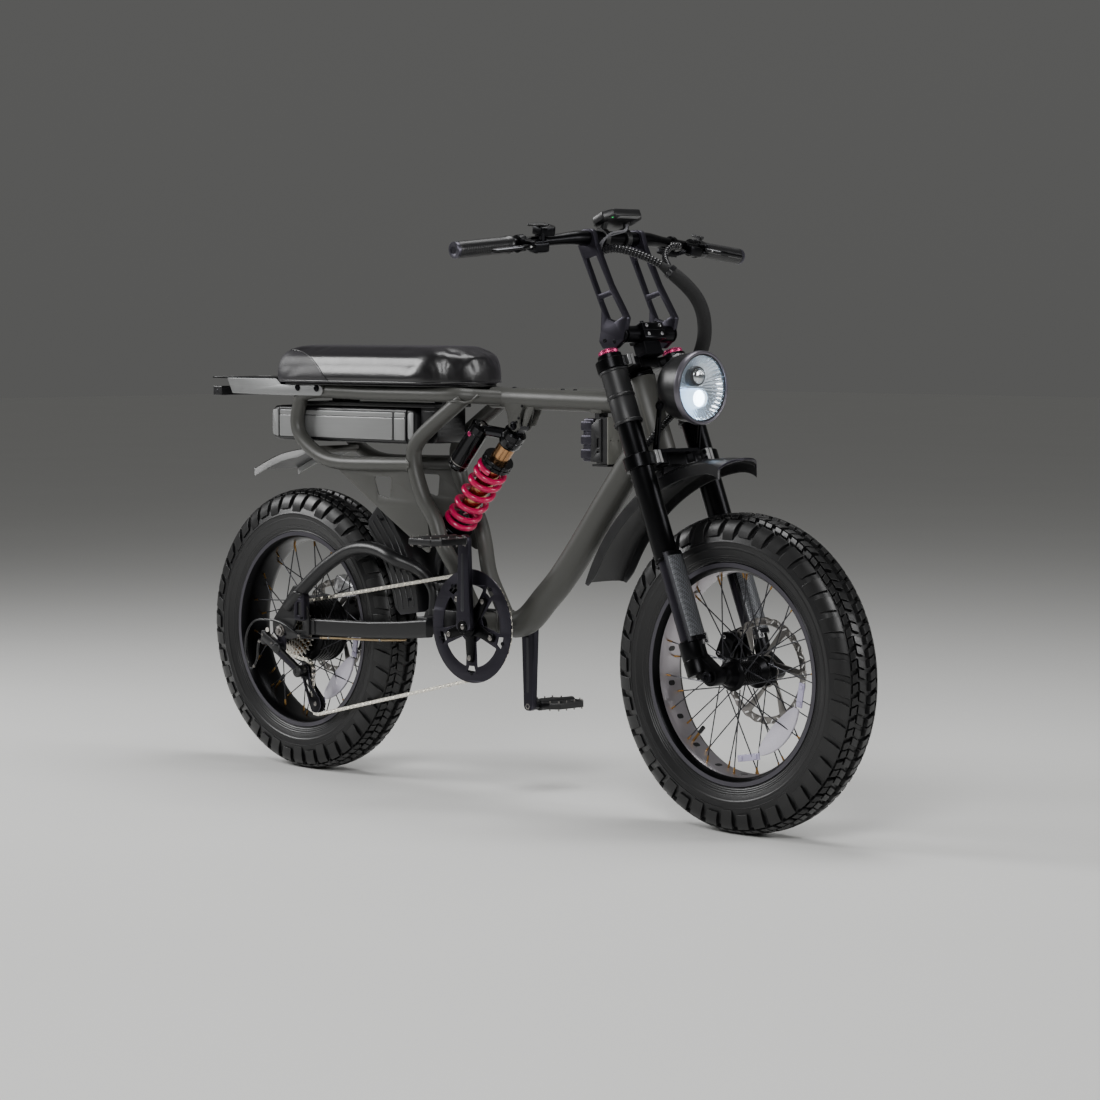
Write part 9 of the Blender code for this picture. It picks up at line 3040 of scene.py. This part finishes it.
def toothed(teeth: int, phase: float = 0.0, tall: float = 3.8 * MM) -> list:
    """The outline of a sprocket, its roots on the chain's pins from a first angle on."""
    radius = pitch_radius(teeth)
    root = 3.6 * MM
    shape = [(-0.24, -root * 0.4), (-0.14, -root), (0.14, -root), (0.24, -root * 0.4)]
    shape += [(0.38, tall * 0.55), (0.44, tall * 0.95), (0.56, tall * 0.95), (0.62, tall * 0.55)]
    outline = []
    for i in range(teeth):
        for share, rise in shape:
            a = phase + TURN * (i + share) / teeth
            outline.append(((radius + rise) * math.cos(a), (radius + rise) * math.sin(a)))
    return outline


@dataclass
class Chain:
    """The roller chain round ring, sprocket and both pulleys."""

    def route(self) -> list[Vector]:
        """The chain's closed path, as close points in the side view, with y drawn over."""
        circles = [
            (CRANK_AXLE, pitch_radius(RING_TEETH)), (REAR_AXLE, pitch_radius(SPROCKETS[0])),
            (GUIDE, -pitch_radius(PULLEY_TEETH)), (TENSION, pitch_radius(PULLEY_TEETH)),
        ]
        flat = [(Vector((centre.x, centre.z)), radius) for centre, radius in circles]
        touches = []
        for (first, r1), (second, r2) in zip(flat, flat[1:] + flat[:1]):
            across = second - first
            length = math.sqrt(across.length_squared - (r2 - r1) ** 2)
            angle = math.atan2(across[1], across[0]) - math.atan2(r2 - r1, length)
            left = Vector((-math.sin(angle), math.cos(angle)))
            touches.append((first - left * r1, second - left * r2))
        points = []
        for i, (centre, radius) in enumerate(flat):
            arrive, leave = touches[i - 1][1] - centre, touches[i][0] - centre
            start = math.atan2(arrive[1], arrive[0])
            sweep = (math.atan2(leave[1], leave[0]) - start) % TURN
            sweep -= TURN if radius < 0 else 0.0
            count = max(8, round(abs(sweep * radius) / (2 * MM)))
            for k in range(count + 1):
                a = start + sweep * k / count
                points.append(centre + abs(radius) * Vector((math.cos(a), math.sin(a))))
        return points

    def pins(self) -> list[Vector]:
        """The places of the chain's pins, one pitch apart along the path."""
        line = self.route()
        lengths = [(b - a).length for a, b in zip(line, line[1:] + line[:1])]
        count = 2 * round(sum(lengths) / CHAIN_PITCH / 2)
        step = sum(lengths) / count
        ahead = CRANK_AXLE.x - pitch_radius(RING_TEETH) * 0.9
        behind = TENSION.x + pitch_radius(PULLEY_TEETH) * 1.2
        made, i, walked = [], 0, 0.0
        for k in range(count):
            while walked + lengths[i] < k * step:
                walked += lengths[i]
                i += 1
            spot = line[i].lerp(line[(i + 1) % len(line)], (k * step - walked) / lengths[i])
            share = min(1.0, max(0.0, (spot[0] - behind) / (ahead - behind)))
            y = -SPROCKET_Y + (SPROCKET_Y - CHAIN_LINE) * share
            made.append(Vector((spot[0], y, spot[1])))
        return made

    def build(self) -> None:
        """Makes inner and outer plates, rollers and pins."""
        pins = self.pins()
        made = Shape()
        for i, here in enumerate(pins):
            there = pins[(i + 1) % len(pins)]
            way = there - here
            reach = way.length / 2
            along = Vector((way.x, 0, way.z)).normalized()
            rise = along.cross(ACROSS)
            wide = 3.4 * MM if i % 2 else 2.2 * MM
            tall = 4.1 * MM
            plate_shape = arc(tall, math.pi * 0.32, -math.pi * 0.32, 6, reach, 0)
            plate_shape += arc(tall, math.pi * 1.32, math.pi * 0.68, 6, -reach, 0)
            centre = (here + there) / 2
            for side in SIDES:
                spot = centre + ACROSS * (side * wide - 0.5 * MM)
                made.use(0).prism([spot + along * u + rise * v for u, v in plate_shape], ACROSS * 1 * MM)
            # Rollers and pins take the pin finish with its painted glints.
            made.use(1).rod(here - ACROSS * 1.7 * MM, here + ACROSS * 1.7 * MM, 3.9 * MM, 12)
            made.rod(here - ACROSS * 4.3 * MM, here + ACROSS * 4.3 * MM, 1.9 * MM, 10)
        made.build("roller_chain", "", (CHAIN_STEEL, PIN_STEEL_PAINTED_GLINT), ("chain",), slot="steel")
        piece = bpy.data.objects["roller_chain"]
        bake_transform(piece)


@dataclass
class Drive:
    """Cassette, derailleur with its pulleys, crankset, guard and pedals."""

    crank_y: float = 90.5 * MM
    crank_length: float = 175 * MM

    def phase(self, centre: Vector, radius: float, pins: Sequence[Vector]) -> float:
        """The angle of a chain pin that lies on a sprocket's pitch circle."""
        near = min(pins, key=lambda p: abs(math.hypot(p.x - centre.x, p.z - centre.z) - radius))
        return math.atan2(near.z - centre.z, near.x - centre.x)

    def cassette(self, pins: Sequence[Vector]) -> None:
        """Seven sprockets with teeth and windows, their carriers and the lock ring."""
        made = Shape()
        for i, teeth in enumerate(SPROCKETS):
            y = -(SPROCKET_Y + 4.8 * MM * i)
            radius = pitch_radius(teeth)
            phase = self.phase(REAR_AXLE, radius, pins) if i == 0 else 0.21 * i
            place = side_on(REAR_AXLE, y)
            outlines = [
                toothed(teeth, phase, 3.6 * MM if i == 0 else 3.0 * MM), circle(radius - 6.5 * MM, steps=48)
            ]
            made.use(1).sheet(outlines, 1.9 * MM, place, 0.3 * MM)
            inner = circle(20 * MM, steps=32)
            windows = []
            if i < 3:
                for k in range(8):
                    a = TURN * k / 8 + 0.2 * i
                    windows.append(
                        arc(radius - 12 * MM, a - 0.24, a + 0.24, 5) + arc(26 * MM, a + 0.2, a - 0.2, 5)
                    )
            made.use(0).sheet(
                [circle(radius - 6.5 * MM, steps=48), inner] + windows, 1.5 * MM, place, 0.2 * MM
            )
        outer = SPROCKET_Y + 4.8 * MM * 6 + 2 * MM
        core = [(12 * MM, 49.4 * MM), (22 * MM, 49.4 * MM), (22 * MM, outer), (12 * MM, outer)]
        made.use(2).lathe(core, REAR_AXLE, -ACROSS, 40, closed=True)
        lock = [(20 * MM, outer), (20 * MM, outer - 0.8 * MM), (13 * MM, outer - 0.2 * MM)]
        made.lathe(lock, REAR_AXLE, -ACROSS, 40)
        made.build(
            "sprocket_cluster",
            "cassette",
            (BROWN_STEEL, CHAIN_STEEL, STEEL_BLACK),
            ("cassette",),
            slot="bronze",
        )

    def derailleur(self, pins: Sequence[Vector]) -> None:
        """The body with its knuckles and barrel adjuster, the cage and the two pulleys."""
        hang = REAR_AXLE + mm(2, 0, -36)
        outer = 93.9 * MM
        low = Vector((GUIDE.x, 0, GUIDE.z))
        cage_y = 59.5 * MM
        made = Shape()
        top_profile = [(11.8 * MM, outer), (12 * MM, outer + 1 * MM), (12 * MM, outer + 14 * MM)]
        top_profile += [
            (10 * MM, outer + 16 * MM), (6 * MM, outer + 16 * MM), (5 * MM, outer + 14.4 * MM),
            (0, outer + 14.4 * MM),
        ]
        made.lathe(top_profile, hang, -ACROSS, 32)
        low_profile = [(12.6 * MM, cage_y), (13 * MM, cage_y + 1 * MM), (13 * MM, cage_y + 20 * MM)]
        low_profile += [
            (11 * MM, cage_y + 22 * MM), (5 * MM, cage_y + 22 * MM), (4 * MM, cage_y + 20.4 * MM),
            (0, cage_y + 20.4 * MM),
        ]
        made.lathe(low_profile, low, -ACROSS, 32)
        start, end = hang - ACROSS * (outer + 13.5 * MM), low - ACROSS * (cage_y + 12 * MM)
        run = end - start
        face = capsule((0, -run.length / 2), (0, run.length / 2), 10 * MM, 9 * MM, 12)
        axis = run.normalized()
        flat = Matrix((ACROSS.cross(axis).normalized(), axis, ACROSS.cross(axis).cross(axis).normalized()))
        place = Matrix.Translation((start + end) / 2) @ flat.transposed().to_4x4()
        made.sheet([face], 8.6 * MM, place, 2 * MM)
        made.use(1).sheet([[(u * 0.5, v * 0.62) for u, v in face]], 9.6 * MM, place, 0.5 * MM)
        shell = capsule((-40 * MM, 22 * MM), (0, 0), 9.4 * MM, 11 * MM, 12)
        made.use(0).sheet([shell], 14 * MM, side_on(hang, -(outer + 8 * MM)), 2.4 * MM)
        horn = fillet([(-52, 5), (-34, 5), (-34, 35), (-52, 35)], 4, 4)
        made.sheet([in_mm(horn)], 12 * MM, side_on(hang, -(outer + 8 * MM)), 2 * MM)
        clip = from_crank(-598 * MM, -46 * MM, -(outer + 14.6 * MM))
        made.use(2).lathe(in_mm([(5, 0), (5, 1.2), (0, 1.4)]), clip, -ACROSS, 20)
        for u, v in ((-44, 26), (-14, 10)):
            seat = hang + Vector((u * MM, -(outer + 15 * MM), v * MM))
            made.use(3).bolt(seat, -ACROSS, 2.6 * MM, 1.2 * MM)
        made.build(
            "derailleur_knuckles",
            "swingarm",
            (ABS_BLACK, GREY_ANODISED, PALE_PLASTIC, STEEL),
            ("derailleur_body",),
            bevel=0.3 * MM,
            slot="black_metal",
        )
        outline = [(-14, 8, 8), (0, 15, 12), (13, 9, 8), (22, -30, 20), (50, -56, 12), (55, -72, 12)]
        outline += [(44, -86, 12), (26, -86, 12), (18, -70, 10), (0, -30, 24)]
        window = [(1, -16), (12, -18), (14, -34), (30, -52), (22, -58), (10, -36)]
        hole = fillet(in_mm(window), 3 * MM, 4)
        edge = fillet(in_mm(outline), 6 * MM, 5)
        cage = Shape()
        for side in SIDES:
            cage.use(0).sheet(
                [edge, hole], 2 * MM, side_on((GUIDE.x, 0, GUIDE.z), GUIDE.y + side * 6.2 * MM), 0.4 * MM
            )
        rim = [Vector((GUIDE.x + u, GUIDE.y - 7.2 * MM, GUIDE.z + v)) for u, v in edge]
        cage.use(1).tube(rim, 0.7 * MM, 6, loop=True)
        for point in (GUIDE, TENSION):
            cage.use(2).rod(point - ACROSS * 6.8 * MM, point + ACROSS * 6.8 * MM, 3 * MM, 16)
            cage.bolt(point - ACROSS * 7.1 * MM, -ACROSS, 4.6 * MM, 1.6 * MM)
        cage.build(
            "derailleur_cage_plates",
            "derailleur_cage",
            (STEEL_BLACK, GREY_ANODISED, STEEL),
            ("derailleur_cage",),
            slot="grey_metal",
        )
        radius = pitch_radius(PULLEY_TEETH)
        for name, point in (("guide", GUIDE), ("tension", TENSION)):
            wheel = Shape()
            holes = []
            for k in range(5):
                a = TURN * k / 5
                holes.append(circle(3.2 * MM, 11 * MM * math.cos(a), 11 * MM * math.sin(a), 12))
            teeth = toothed(PULLEY_TEETH, self.phase(point, radius, pins), 3.2 * MM)
            wheel.sheet(
                [teeth, circle(4 * MM, steps=16)] + holes,
                2.2 * MM,
                side_on((point.x, 0, point.z), point.y),
                0.3 * MM,
            )
            ring = in_mm([(3.6, -4.9), (7.6, -4.9), (8, -4.5), (8, 4.5)])
            wheel.use(1).lathe(
                ring + [(7.6 * MM, 4.9 * MM), (3.6 * MM, 4.9 * MM)], point, ACROSS, 28, closed=True
            )
            wheel.build(
                f"{name}_jockey_wheel",
                f"{name}_pulley",
                (ABS_BLACK, STEEL_BLACK),
                (f"{name}_pulley",),
                point,
                slot="black_plastic",
            )

    def arm(self, made: Shape, side: int) -> None:
        """Adds one tapered crank arm with its groove, eye, spindle end and bolts."""
        tip = -side * self.crank_length
        rings = []
        for share in (-0.055, -0.03, 0.0, 0.05, 0.3, 0.6, 0.9, 0.97, 1.0, 1.03, 1.05):
            wide = 24 * MM * (0.85 - 0.29 * min(1.0, max(0.0, share)))
            close = 0.0
            if share < 0:
                close = abs(share) / 0.058
            if share > 1:
                close = (share - 1) / 0.054
            wide *= math.sqrt(max(0.05, 1 - close * close))
            thick = 7 * MM * (1 - 0.12 * close)
            face = fillet(
                [(-wide, -thick), (wide, -thick), (wide, thick), (-wide, thick)], min(wide, thick) * 0.5, 4
            )
            rings.append([CRANK_AXLE + Vector((u, side * self.crank_y + v, tip * share)) for u, v in face])
        made.use(0).grid(rings, True, False, True)
        for out in SIDES:
            groove = capsule((0, tip * 0.2), (0, tip * 0.82), 5 * MM, 3.4 * MM, 10)
            place = side_on(CRANK_AXLE, side * self.crank_y + out * 7 * MM)
            made.use(2).sheet([groove], 0.5 * MM, place, 0.15 * MM)
        hub = CRANK_AXLE + ACROSS * side * self.crank_y
        cap = in_mm([(13, 6), (13, 8.2), (12, 9), (8, 9), (7, 7.6), (0, 7.6)])
        made.use(1).lathe(cap, hub, ACROSS * side, 36)
        made.use(3).lathe(in_mm([(6, 7.8), (4.4, 8.6), (0, 8.6)]), hub, ACROSS * side, 6)
        eye = hub + SKY * tip
        made.use(1).rod(eye + ACROSS * side * 6 * MM, eye + ACROSS * side * 22 * MM, 8.4 * MM, 6, 8.4 * MM)
        made.use(3).rod(eye + ACROSS * side * 20 * MM, eye + ACROSS * side * 117 * MM, 6 * MM, 20)
        made.lathe(
            in_mm([(6.6, 0), (6.6, 1), (4, 1.2), (4, -2), (0, -2)]),
            eye - ACROSS * side * 6.9 * MM,
            -ACROSS * side,
            6,
        )

    def crankset(self, pins: Sequence[Vector]) -> None:
        """The spindle, both arms and the spider, then the ring with its guard."""
        made = Shape()
        made.use(3).rod(
            CRANK_AXLE - ACROSS * self.crank_y, CRANK_AXLE + ACROSS * self.crank_y, 8.5 * MM, 32
        )
        for side in SIDES:
            self.arm(made, side)
        made.use(1).rod(
            CRANK_AXLE + ACROSS * 57 * MM, CRANK_AXLE + ACROSS * 84.5 * MM, 14 * MM, 36, 18 * MM
        )
        spider_y = -(72 * MM + 1.5 * MM + GAP + 2.5 * MM)
        hub = in_mm([(9, 73.8), (20, 73.8), (21, 75), (21, 84), (9, 84)])
        made.lathe(hub, CRANK_AXLE, -ACROSS, 40, closed=True)
        for i in range(5):
            a = math.radians(54 + 72 * i)
            far = (64 * MM * math.cos(a), 64 * MM * math.sin(a))
            leg = capsule((0, 0), far, 15 * MM, 9 * MM, 12)
            made.use(1).sheet([leg], 5 * MM, side_on(CRANK_AXLE, spider_y), 1.2 * MM)
            bolt = from_crank(far[0], far[1], spider_y - 2.4 * MM)
            made.use(3).bolt(bolt, -ACROSS, 5.4 * MM, 1.8 * MM)
        made.build(
            "crank_arms_and_spider",
            "crank",
            (GREY_ANODISED, BLACK_ANODISED, STEEL_BLACK, STEEL),
            ("crank_arms",),
            bevel=0.4 * MM,
            slot="black_metal",
        )
        guard = [circle(114 * MM, steps=120), circle(19 * MM, steps=40)]
        for i in range(5):
            mid = math.radians(18 + 72 * i)
            kidney = arc(83 * MM, mid - 0.436, mid + 0.436, 12) + arc(34 * MM, mid + 0.24, mid - 0.24, 8)
            guard.append(fillet([(u, v) for u, v in kidney], 3 * MM, 2))
            bolt = mid + math.radians(36)
            guard.append(
                arc(94 * MM, bolt - 0.14, bolt + 0.14, 6) + arc(80 * MM, bolt + 0.10, bolt - 0.10, 5)
            )
        ring = Shape().sheet(guard, 3 * MM, side_on(CRANK_AXLE, -72 * MM), 0.5 * MM)
        lip = in_mm([(111, 72.8), (114, 72.8), (114.4, 71.4), (113, 70.4), (111, 70.6)])
        ring.lathe(lip, CRANK_AXLE, -ACROSS, 120, closed=True)
        radius = pitch_radius(RING_TEETH)
        teeth = toothed(RING_TEETH, self.phase(CRANK_AXLE, radius, pins))
        ring.use(1).sheet(
            [teeth, circle(radius - 14 * MM, steps=80)], 2 * MM, side_on(CRANK_AXLE, -CHAIN_LINE), 0.3 * MM
        )
        for i in range(5):
            a = math.radians(54 + 72 * i)
            post = from_crank((radius - 10 * MM) * math.cos(a), (radius - 10 * MM) * math.sin(a), -65 * MM)
            ring.use(2).rod(post, post - ACROSS * 8.6 * MM, 4.2 * MM, 20)
            ring.bolt(post - ACROSS * 8.4 * MM, -ACROSS, 4.2 * MM, 1.2 * MM)
        ring.build(
            "chainring_and_guard",
            "crank",
            (GREY_ANODISED, STEEL_BLACK, STEEL_BLACK),
            ("chainring",),
            bevel=0.3 * MM,
            slot="grey_metal",
        )

    def pedal(self, side: int) -> None:
        """One platform pedal: a windowed body with pins, its tube, cap and end plates."""
        axle = CRANK_AXLE - SKY * side * self.crank_length
        inner, outer, half = 114 * MM, 212 * MM, 48 * MM
        corner = 16 * MM
        frame_shape = [
            (-half + corner, inner), (half - corner, inner), (half, inner + corner),
            (half, outer - corner), (half - corner, outer), (-half + corner, outer),
            (-half, outer - corner), (-half, inner + corner),
        ]
        middle_y = (inner + outer) / 2
        holes = []
        for front in SIDES:
            for low, high in ((inner + 12 * MM, middle_y - 4 * MM), (middle_y + 4 * MM, outer - 12 * MM)):
                hole = [
                    (front * 15 * MM, low), (front * 39 * MM, low + 4 * MM),
                    (front * 39 * MM, high - 4 * MM), (front * 15 * MM, high),
                ]
                holes.append(fillet([(x, side * y) for x, y in hole], 3 * MM, 4))
        body = fillet([(x, side * y) for x, y in frame_shape], 5 * MM, 4)
        made = Shape().sheet([body] + holes, 12.8 * MM, Matrix.Translation(axle), 1.4 * MM)
        start, end = axle + ACROSS * side * (inner + 1.5 * MM), axle + ACROSS * side * (outer - 1.5 * MM)
        made.rod(start, end, 11.3 * MM, 28)
        made.use(1).lathe(in_mm([(8, -1), (8, 1), (5, 1.4), (0, 1.4)]), end, ACROSS * side, 6)
        for front in SIDES:
            stretch = (outer - inner - 2 * corner) / 3
            spots = [(front * (half - 5 * MM), inner + corner + k * stretch) for k in range(4)]
            spots += [(front * 27 * MM, inner + 6 * MM), (front * 27 * MM, outer - 6 * MM)]
            for x, y in spots:
                foot = axle + Vector((x, side * y, 0))
                for way in SIDES:
                    made.use(1).rod(foot, foot + SKY * way * 10.2 * MM, 1.6 * MM, 6)
        made.build(
            f"platform_pedal_{LABELS[side]}",
            f"pedal_{LABELS[side]}",
            (ABS_BLACK, STEEL),
            (f"pedal_{LABELS[side]}",),
            bevel=0.3 * MM,
            slot="black_metal",
        )

    def build(self) -> None:
        """Makes the whole drive."""
        pins = Chain().pins()
        self.cassette(pins)
        self.derailleur(pins)
        self.crankset(pins)
        for side in SIDES:
            self.pedal(side)


@dataclass
class Shock:
    """The coil-over damper: body with cap and reservoir, spring, and shaft with its seat."""

    spring_radius: float = 28.5 * MM
    wire: float = 6.1 * MM
    turns: float = 6.6
    spring_start: float = 34 * MM
    spring_length: float = 168 * MM
    damper: float = 18.5 * MM
    shaft_top: float = 130 * MM

    def ends(self) -> tuple[Vector, Vector, Vector, float]:
        """The upper and lower bolts, the direction between them and its length."""
        top, bottom = from_crank(65 * MM, 400.5 * MM), from_crank(-142 * MM, 168.5 * MM)
        return top, bottom, (top - bottom).normalized(), (top - bottom).length

    def body(self) -> None:
        """The upper half: eye, cap, knurled rings, gold sleeve and reservoir."""
        top, bottom, axis, length = self.ends()
        upper = self.spring_start + self.spring_length
        made = Shape()
        cap = [
            (0, length - 8 * MM), (12.5 * MM, length - 8 * MM), (12.5 * MM, length - 15.5 * MM),
            (20.5 * MM, length - 15.5 * MM),
        ]
        cap += [
            (23.5 * MM, length - 18.5 * MM), (23.5 * MM, length - 30 * MM), (22.6 * MM, length - 30.8 * MM)
        ]
        cap += [
            (22.6 * MM, length - 32.4 * MM), (23.5 * MM, length - 33.2 * MM),
            (23.5 * MM, length - 46 * MM), (19 * MM, length - 54 * MM),
        ]
        made.use(0).lathe(cap, bottom, axis, 48)
        made.use(1).lathe(
            [(self.damper, length - 53.6 * MM), (self.damper, upper + 19 * MM)], bottom, axis, 48
        )
        made.lathe(
            [
                (self.damper, upper + 1 * MM), (self.damper, self.shaft_top - 39 * MM),
                (17 * MM, self.shaft_top - 40 * MM), (7 * MM, self.shaft_top - 40 * MM),
            ],
            bottom,
            axis,
            48,
        )
        for k in range(2):
            low = upper + (0.4 + 10.2 * k) * MM
            profile = [
                (self.damper - 0.5 * MM, low), (30.6 * MM, low), (31.6 * MM, low + 1 * MM),
                (31.6 * MM, low + 8 * MM),
            ]
            made.use(0).lathe(
                profile + [(30.6 * MM, low + 9 * MM), (self.damper - 0.5 * MM, low + 9 * MM)],
                bottom,
                axis,
                48,
            )
            for i in range(30):
                a = TURN * i / 30
                place = facing(bottom, axis)
                spot = place @ Vector((31.5 * MM * math.cos(a), 31.5 * MM * math.sin(a), low + 1.6 * MM))
                made.rod(spot, spot + axis * 5.8 * MM, 0.9 * MM, 6)
        made.use(0).rod(top - ACROSS * 13 * MM, top + ACROSS * 13 * MM, 12.5 * MM, 40)
        neck = facing(top - axis * 10 * MM, axis)
        made.block(mm(18, 23.4, 20), neck)
        away = axis.cross(ACROSS).normalized()
        away *= -1 if away.x > 0 else 1
        low = bottom + axis * 142 * MM + away * 60 * MM - ACROSS * 28 * MM
        tank = in_mm([(0, 118), (8, 118), (9, 116.6), (15.5, 116.6), (20.5, 113)])
        tank += in_mm([(20.5, 100), (19.7, 99.2), (19.7, 97.6), (20.5, 96.8)])
        tank += [(20.5 * MM, 14 * MM), (19.7 * MM, 13 * MM)]
        tank += in_mm([(19.7, 11), (20.5, 10), (20.5, 6), (16.5, 0), (6, 0), (5, 1.4), (0, 1.4)])
        made.use(0).lathe(tank, low, axis, 48)
        made.use(2).lathe([(20.8 * MM, 16 * MM), (20.8 * MM, 18 * MM)], low, axis, 48)
        made.lathe(in_mm([(7, 118), (6, 119), (0, 119)]), low, axis, 20)
        hose = [bottom + axis * (length - 26 * MM), low + axis * 104 * MM]
        made.use(0).rod(hose[0], hose[1], 11 * MM, 28)
        dial = low + axis * 92 * MM - ACROSS * 20 * MM
        made.use(3).lathe(in_mm([(5, 0), (5, 1.6), (3, 2), (0, 2)]), dial, -ACROSS, 24)
        made.build(
            "damper_and_reservoir",
            "shock_upper",
            (GLOSS_ANODISED, GOLD_ANODISED, STEEL, PINK_ANODISED),
            ("shock_body",),
            bevel=0.3 * MM,
            slot="black_metal",
        )

    def spring(self) -> None:
        """The wound spring with closed, flattened ends."""
        _, bottom, axis, _ = self.ends()
        steps = 40
        count = round(self.turns * steps)
        first = self.spring_start + self.wire + GAP
        rise = self.spring_length - 2 * self.wire - 2 * GAP
        turn = facing(bottom, axis)
        route = []
        for i in range(count + 1):
            a = TURN * i / steps
            share = i / count
            eased = share - math.sin(TURN * share) / TURN * 0.35
            route.append(
                turn @ Vector(
                    (
                        self.spring_radius * math.cos(a),
                        self.spring_radius * math.sin(a),
                        first + rise * eased,
                    )
                )
            )
        made = Shape().tube(route, self.wire, 20)
        piece = made.build("coil_spring", "", SPRING_ENAMEL, ("shock_spring",), slot="magenta_paint")
        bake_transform(piece)

    def shaft(self) -> None:
        """The lower half: polished shaft, bumper, spring seat and eye."""
        _, bottom, axis, _ = self.ends()
        made = Shape().use(0).rod(bottom + axis * 30 * MM, bottom + axis * self.shaft_top, 6.5 * MM, 28)
        seat = in_mm([(0, 40), (20, 38), (21, 34), (33, 34), (34, 33), (34, 30)])
        seat += in_mm([(18, 25), (10, 22), (10, 6), (0, 6)])
        made.use(1).lathe(seat, bottom, axis, 48)
        bumper = in_mm([(6.6, 41), (13, 42), (14, 50), (11, 54), (13.4, 58), (10, 66), (6.6, 67)])
        made.use(2).lathe(bumper, bottom, axis, 36)
        ring = in_mm([(7.6, -13), (11.5, -13), (12.5, -12), (12.5, 12), (11.5, 13), (7.6, 13)])
        made.use(1).lathe(ring, bottom, ACROSS, 40, closed=True)
        made.build(
            "damper_shaft_and_seat",
            "shock_lower",
            (CHROME, STEEL_BLACK, BUMP_STOP),
            ("shock_shaft",),
            bevel=0.2 * MM,
            slot="steel",
        )

    def build(self) -> None:
        """Makes the shock's three pieces."""
        self.body()
        self.spring()
        self.shaft()


@dataclass
class Studio:
    """A plain pale floor, soft light and the camera at the photograph's angle."""

    azimuth: float = math.radians(45.61)
    elevation: float = math.radians(4.07)
    distance: float = 6.228
    target: tuple[float, float, float] = (0.1015, 0.0, 0.504)
    focal_px: float = 3150.0
    image_px: float = 1100.0
    sensor_mm: float = 36.0
    far: str = "b4b4b2"
    overhead: str = "d4d4d2"

    def lamp(self, name: str, place: Point, size: float, power: float, aim: Point = (0, 0, 0.5)) -> None:
        """Adds one soft area light that faces a point.

        Args:
            name: The light's name.
            place: Where it hangs.
            size: The side of its square.
            power: Its strength in watts.
            aim: The point that it faces.
        """
        data = bpy.data.lights.new(name, "AREA")
        data.size = size
        data.energy = power
        made = bpy.data.objects.new(name, data)
        made.location = place
        made.rotation_euler = (Vector(aim) - Vector(place)).to_track_quat("-Z", "Y").to_euler()
        bpy.context.scene.collection.objects.link(made)

    def horizon(self, tree: Tree, sky: bpy.types.Node) -> None:
        """Fades the world from the floor's tone at the horizon to full light overhead."""
        place = node(tree, "TexCoord").outputs["Generated"]
        rise = node(tree, "SeparateXYZ", {}, {"Vector": place}).outputs["Z"]
        span = {"From Min": 0.0, "From Max": 1.0}
        share = node(tree, "MapRange", span, {"Value": rise}).outputs["Result"]
        blend = {"data_type": "RGBA", 6: linear(self.far), 7: linear(self.overhead)}
        tree.links.new(node(tree, "Mix", blend, {0: share}).outputs[2], sky.inputs["Color"])

    def build(self) -> None:
        """Sets the floor, the lights, the world and the camera."""
        floor = bpy.data.meshes.new("floor")
        reach = 30.0
        corners = [(x * reach, y * reach, 0.0) for x, y in ((-1, -1), (1, -1), (1, 1), (-1, 1))]
        floor.from_pydata(corners, [], [(0, 1, 2, 3)])
        floor.materials.append(FLOOR.material())
        ground = bpy.data.objects.new("floor", floor)
        bpy.context.scene.collection.objects.link(ground)
        world = bpy.data.worlds.new("studio")
        world.use_nodes = True
        sky = world.node_tree.nodes["Background"]
        sky.inputs["Strength"].default_value = 0.22
        self.horizon(world.node_tree, sky)
        bpy.context.scene.world = world
        self.lamp("key_light", (3.0, -3.8, 3.2), 1.7, 140)
        self.lamp("side_light", (4.6, 2.2, 1.9), 1.3, 78)
        self.lamp("rim_light", (-3.2, -2.0, 2.4), 1.4, 105)
        self.lamp("top_light", (0.0, 0.6, 3.6), 1.6, 62)
        out = Vector(
            (
                math.sin(self.azimuth) * math.cos(self.elevation),
                -math.cos(self.azimuth) * math.cos(self.elevation),
                math.sin(self.elevation),
            )
        )
        data = bpy.data.cameras.new("camera")
        data.sensor_width = self.sensor_mm
        data.lens = self.focal_px * self.sensor_mm / self.image_px
        camera = bpy.data.objects.new("camera", data)
        camera.location = Vector(self.target) + out * self.distance
        camera.rotation_euler = (-out).to_track_quat("-Z", "Y").to_euler()
        bpy.context.scene.collection.objects.link(camera)
        bpy.context.scene.camera = camera


def main() -> None:
    assemblies = [
        Tyre("front", FRONT_AXLE),
        Tyre("rear", REAR_AXLE),
        Wheel("front", FRONT_AXLE, 31 * MM, 68 * MM),
        Wheel("rear", REAR_AXLE, 72 * MM, 66 * MM),
        FrontHub(FRONT_AXLE),
        HubMotor(REAR_AXLE),
        Caliper(
            "front_brake_caliper",
            "front_caliper",
            "fork_lower",
            FRONT_AXLE,
            math.radians(156),
            BLACK_ANODISED,
        ),
        Caliper(
            "rear_brake_caliper", "rear_caliper", "swingarm", REAR_AXLE, math.radians(65), SILVER_MACHINED
        ),
        Fork(),
        Headlight(),
        Cockpit(),
        Loom(),
        FrontFender(),
        FrameSet(),
        Seat(),
        Tail(),
        Battery(),
        SwingArm(),
        InnerFender(),
        Chain(),
        Drive(),
        Shock(),
    ]
    for assembly in assemblies:
        assembly.build()
        LOG.info("built %s", type(assembly).__name__)
    Studio().build()


if __name__ == "__main__":
    logging.basicConfig(level=logging.INFO, format="%(message)s")
    main()
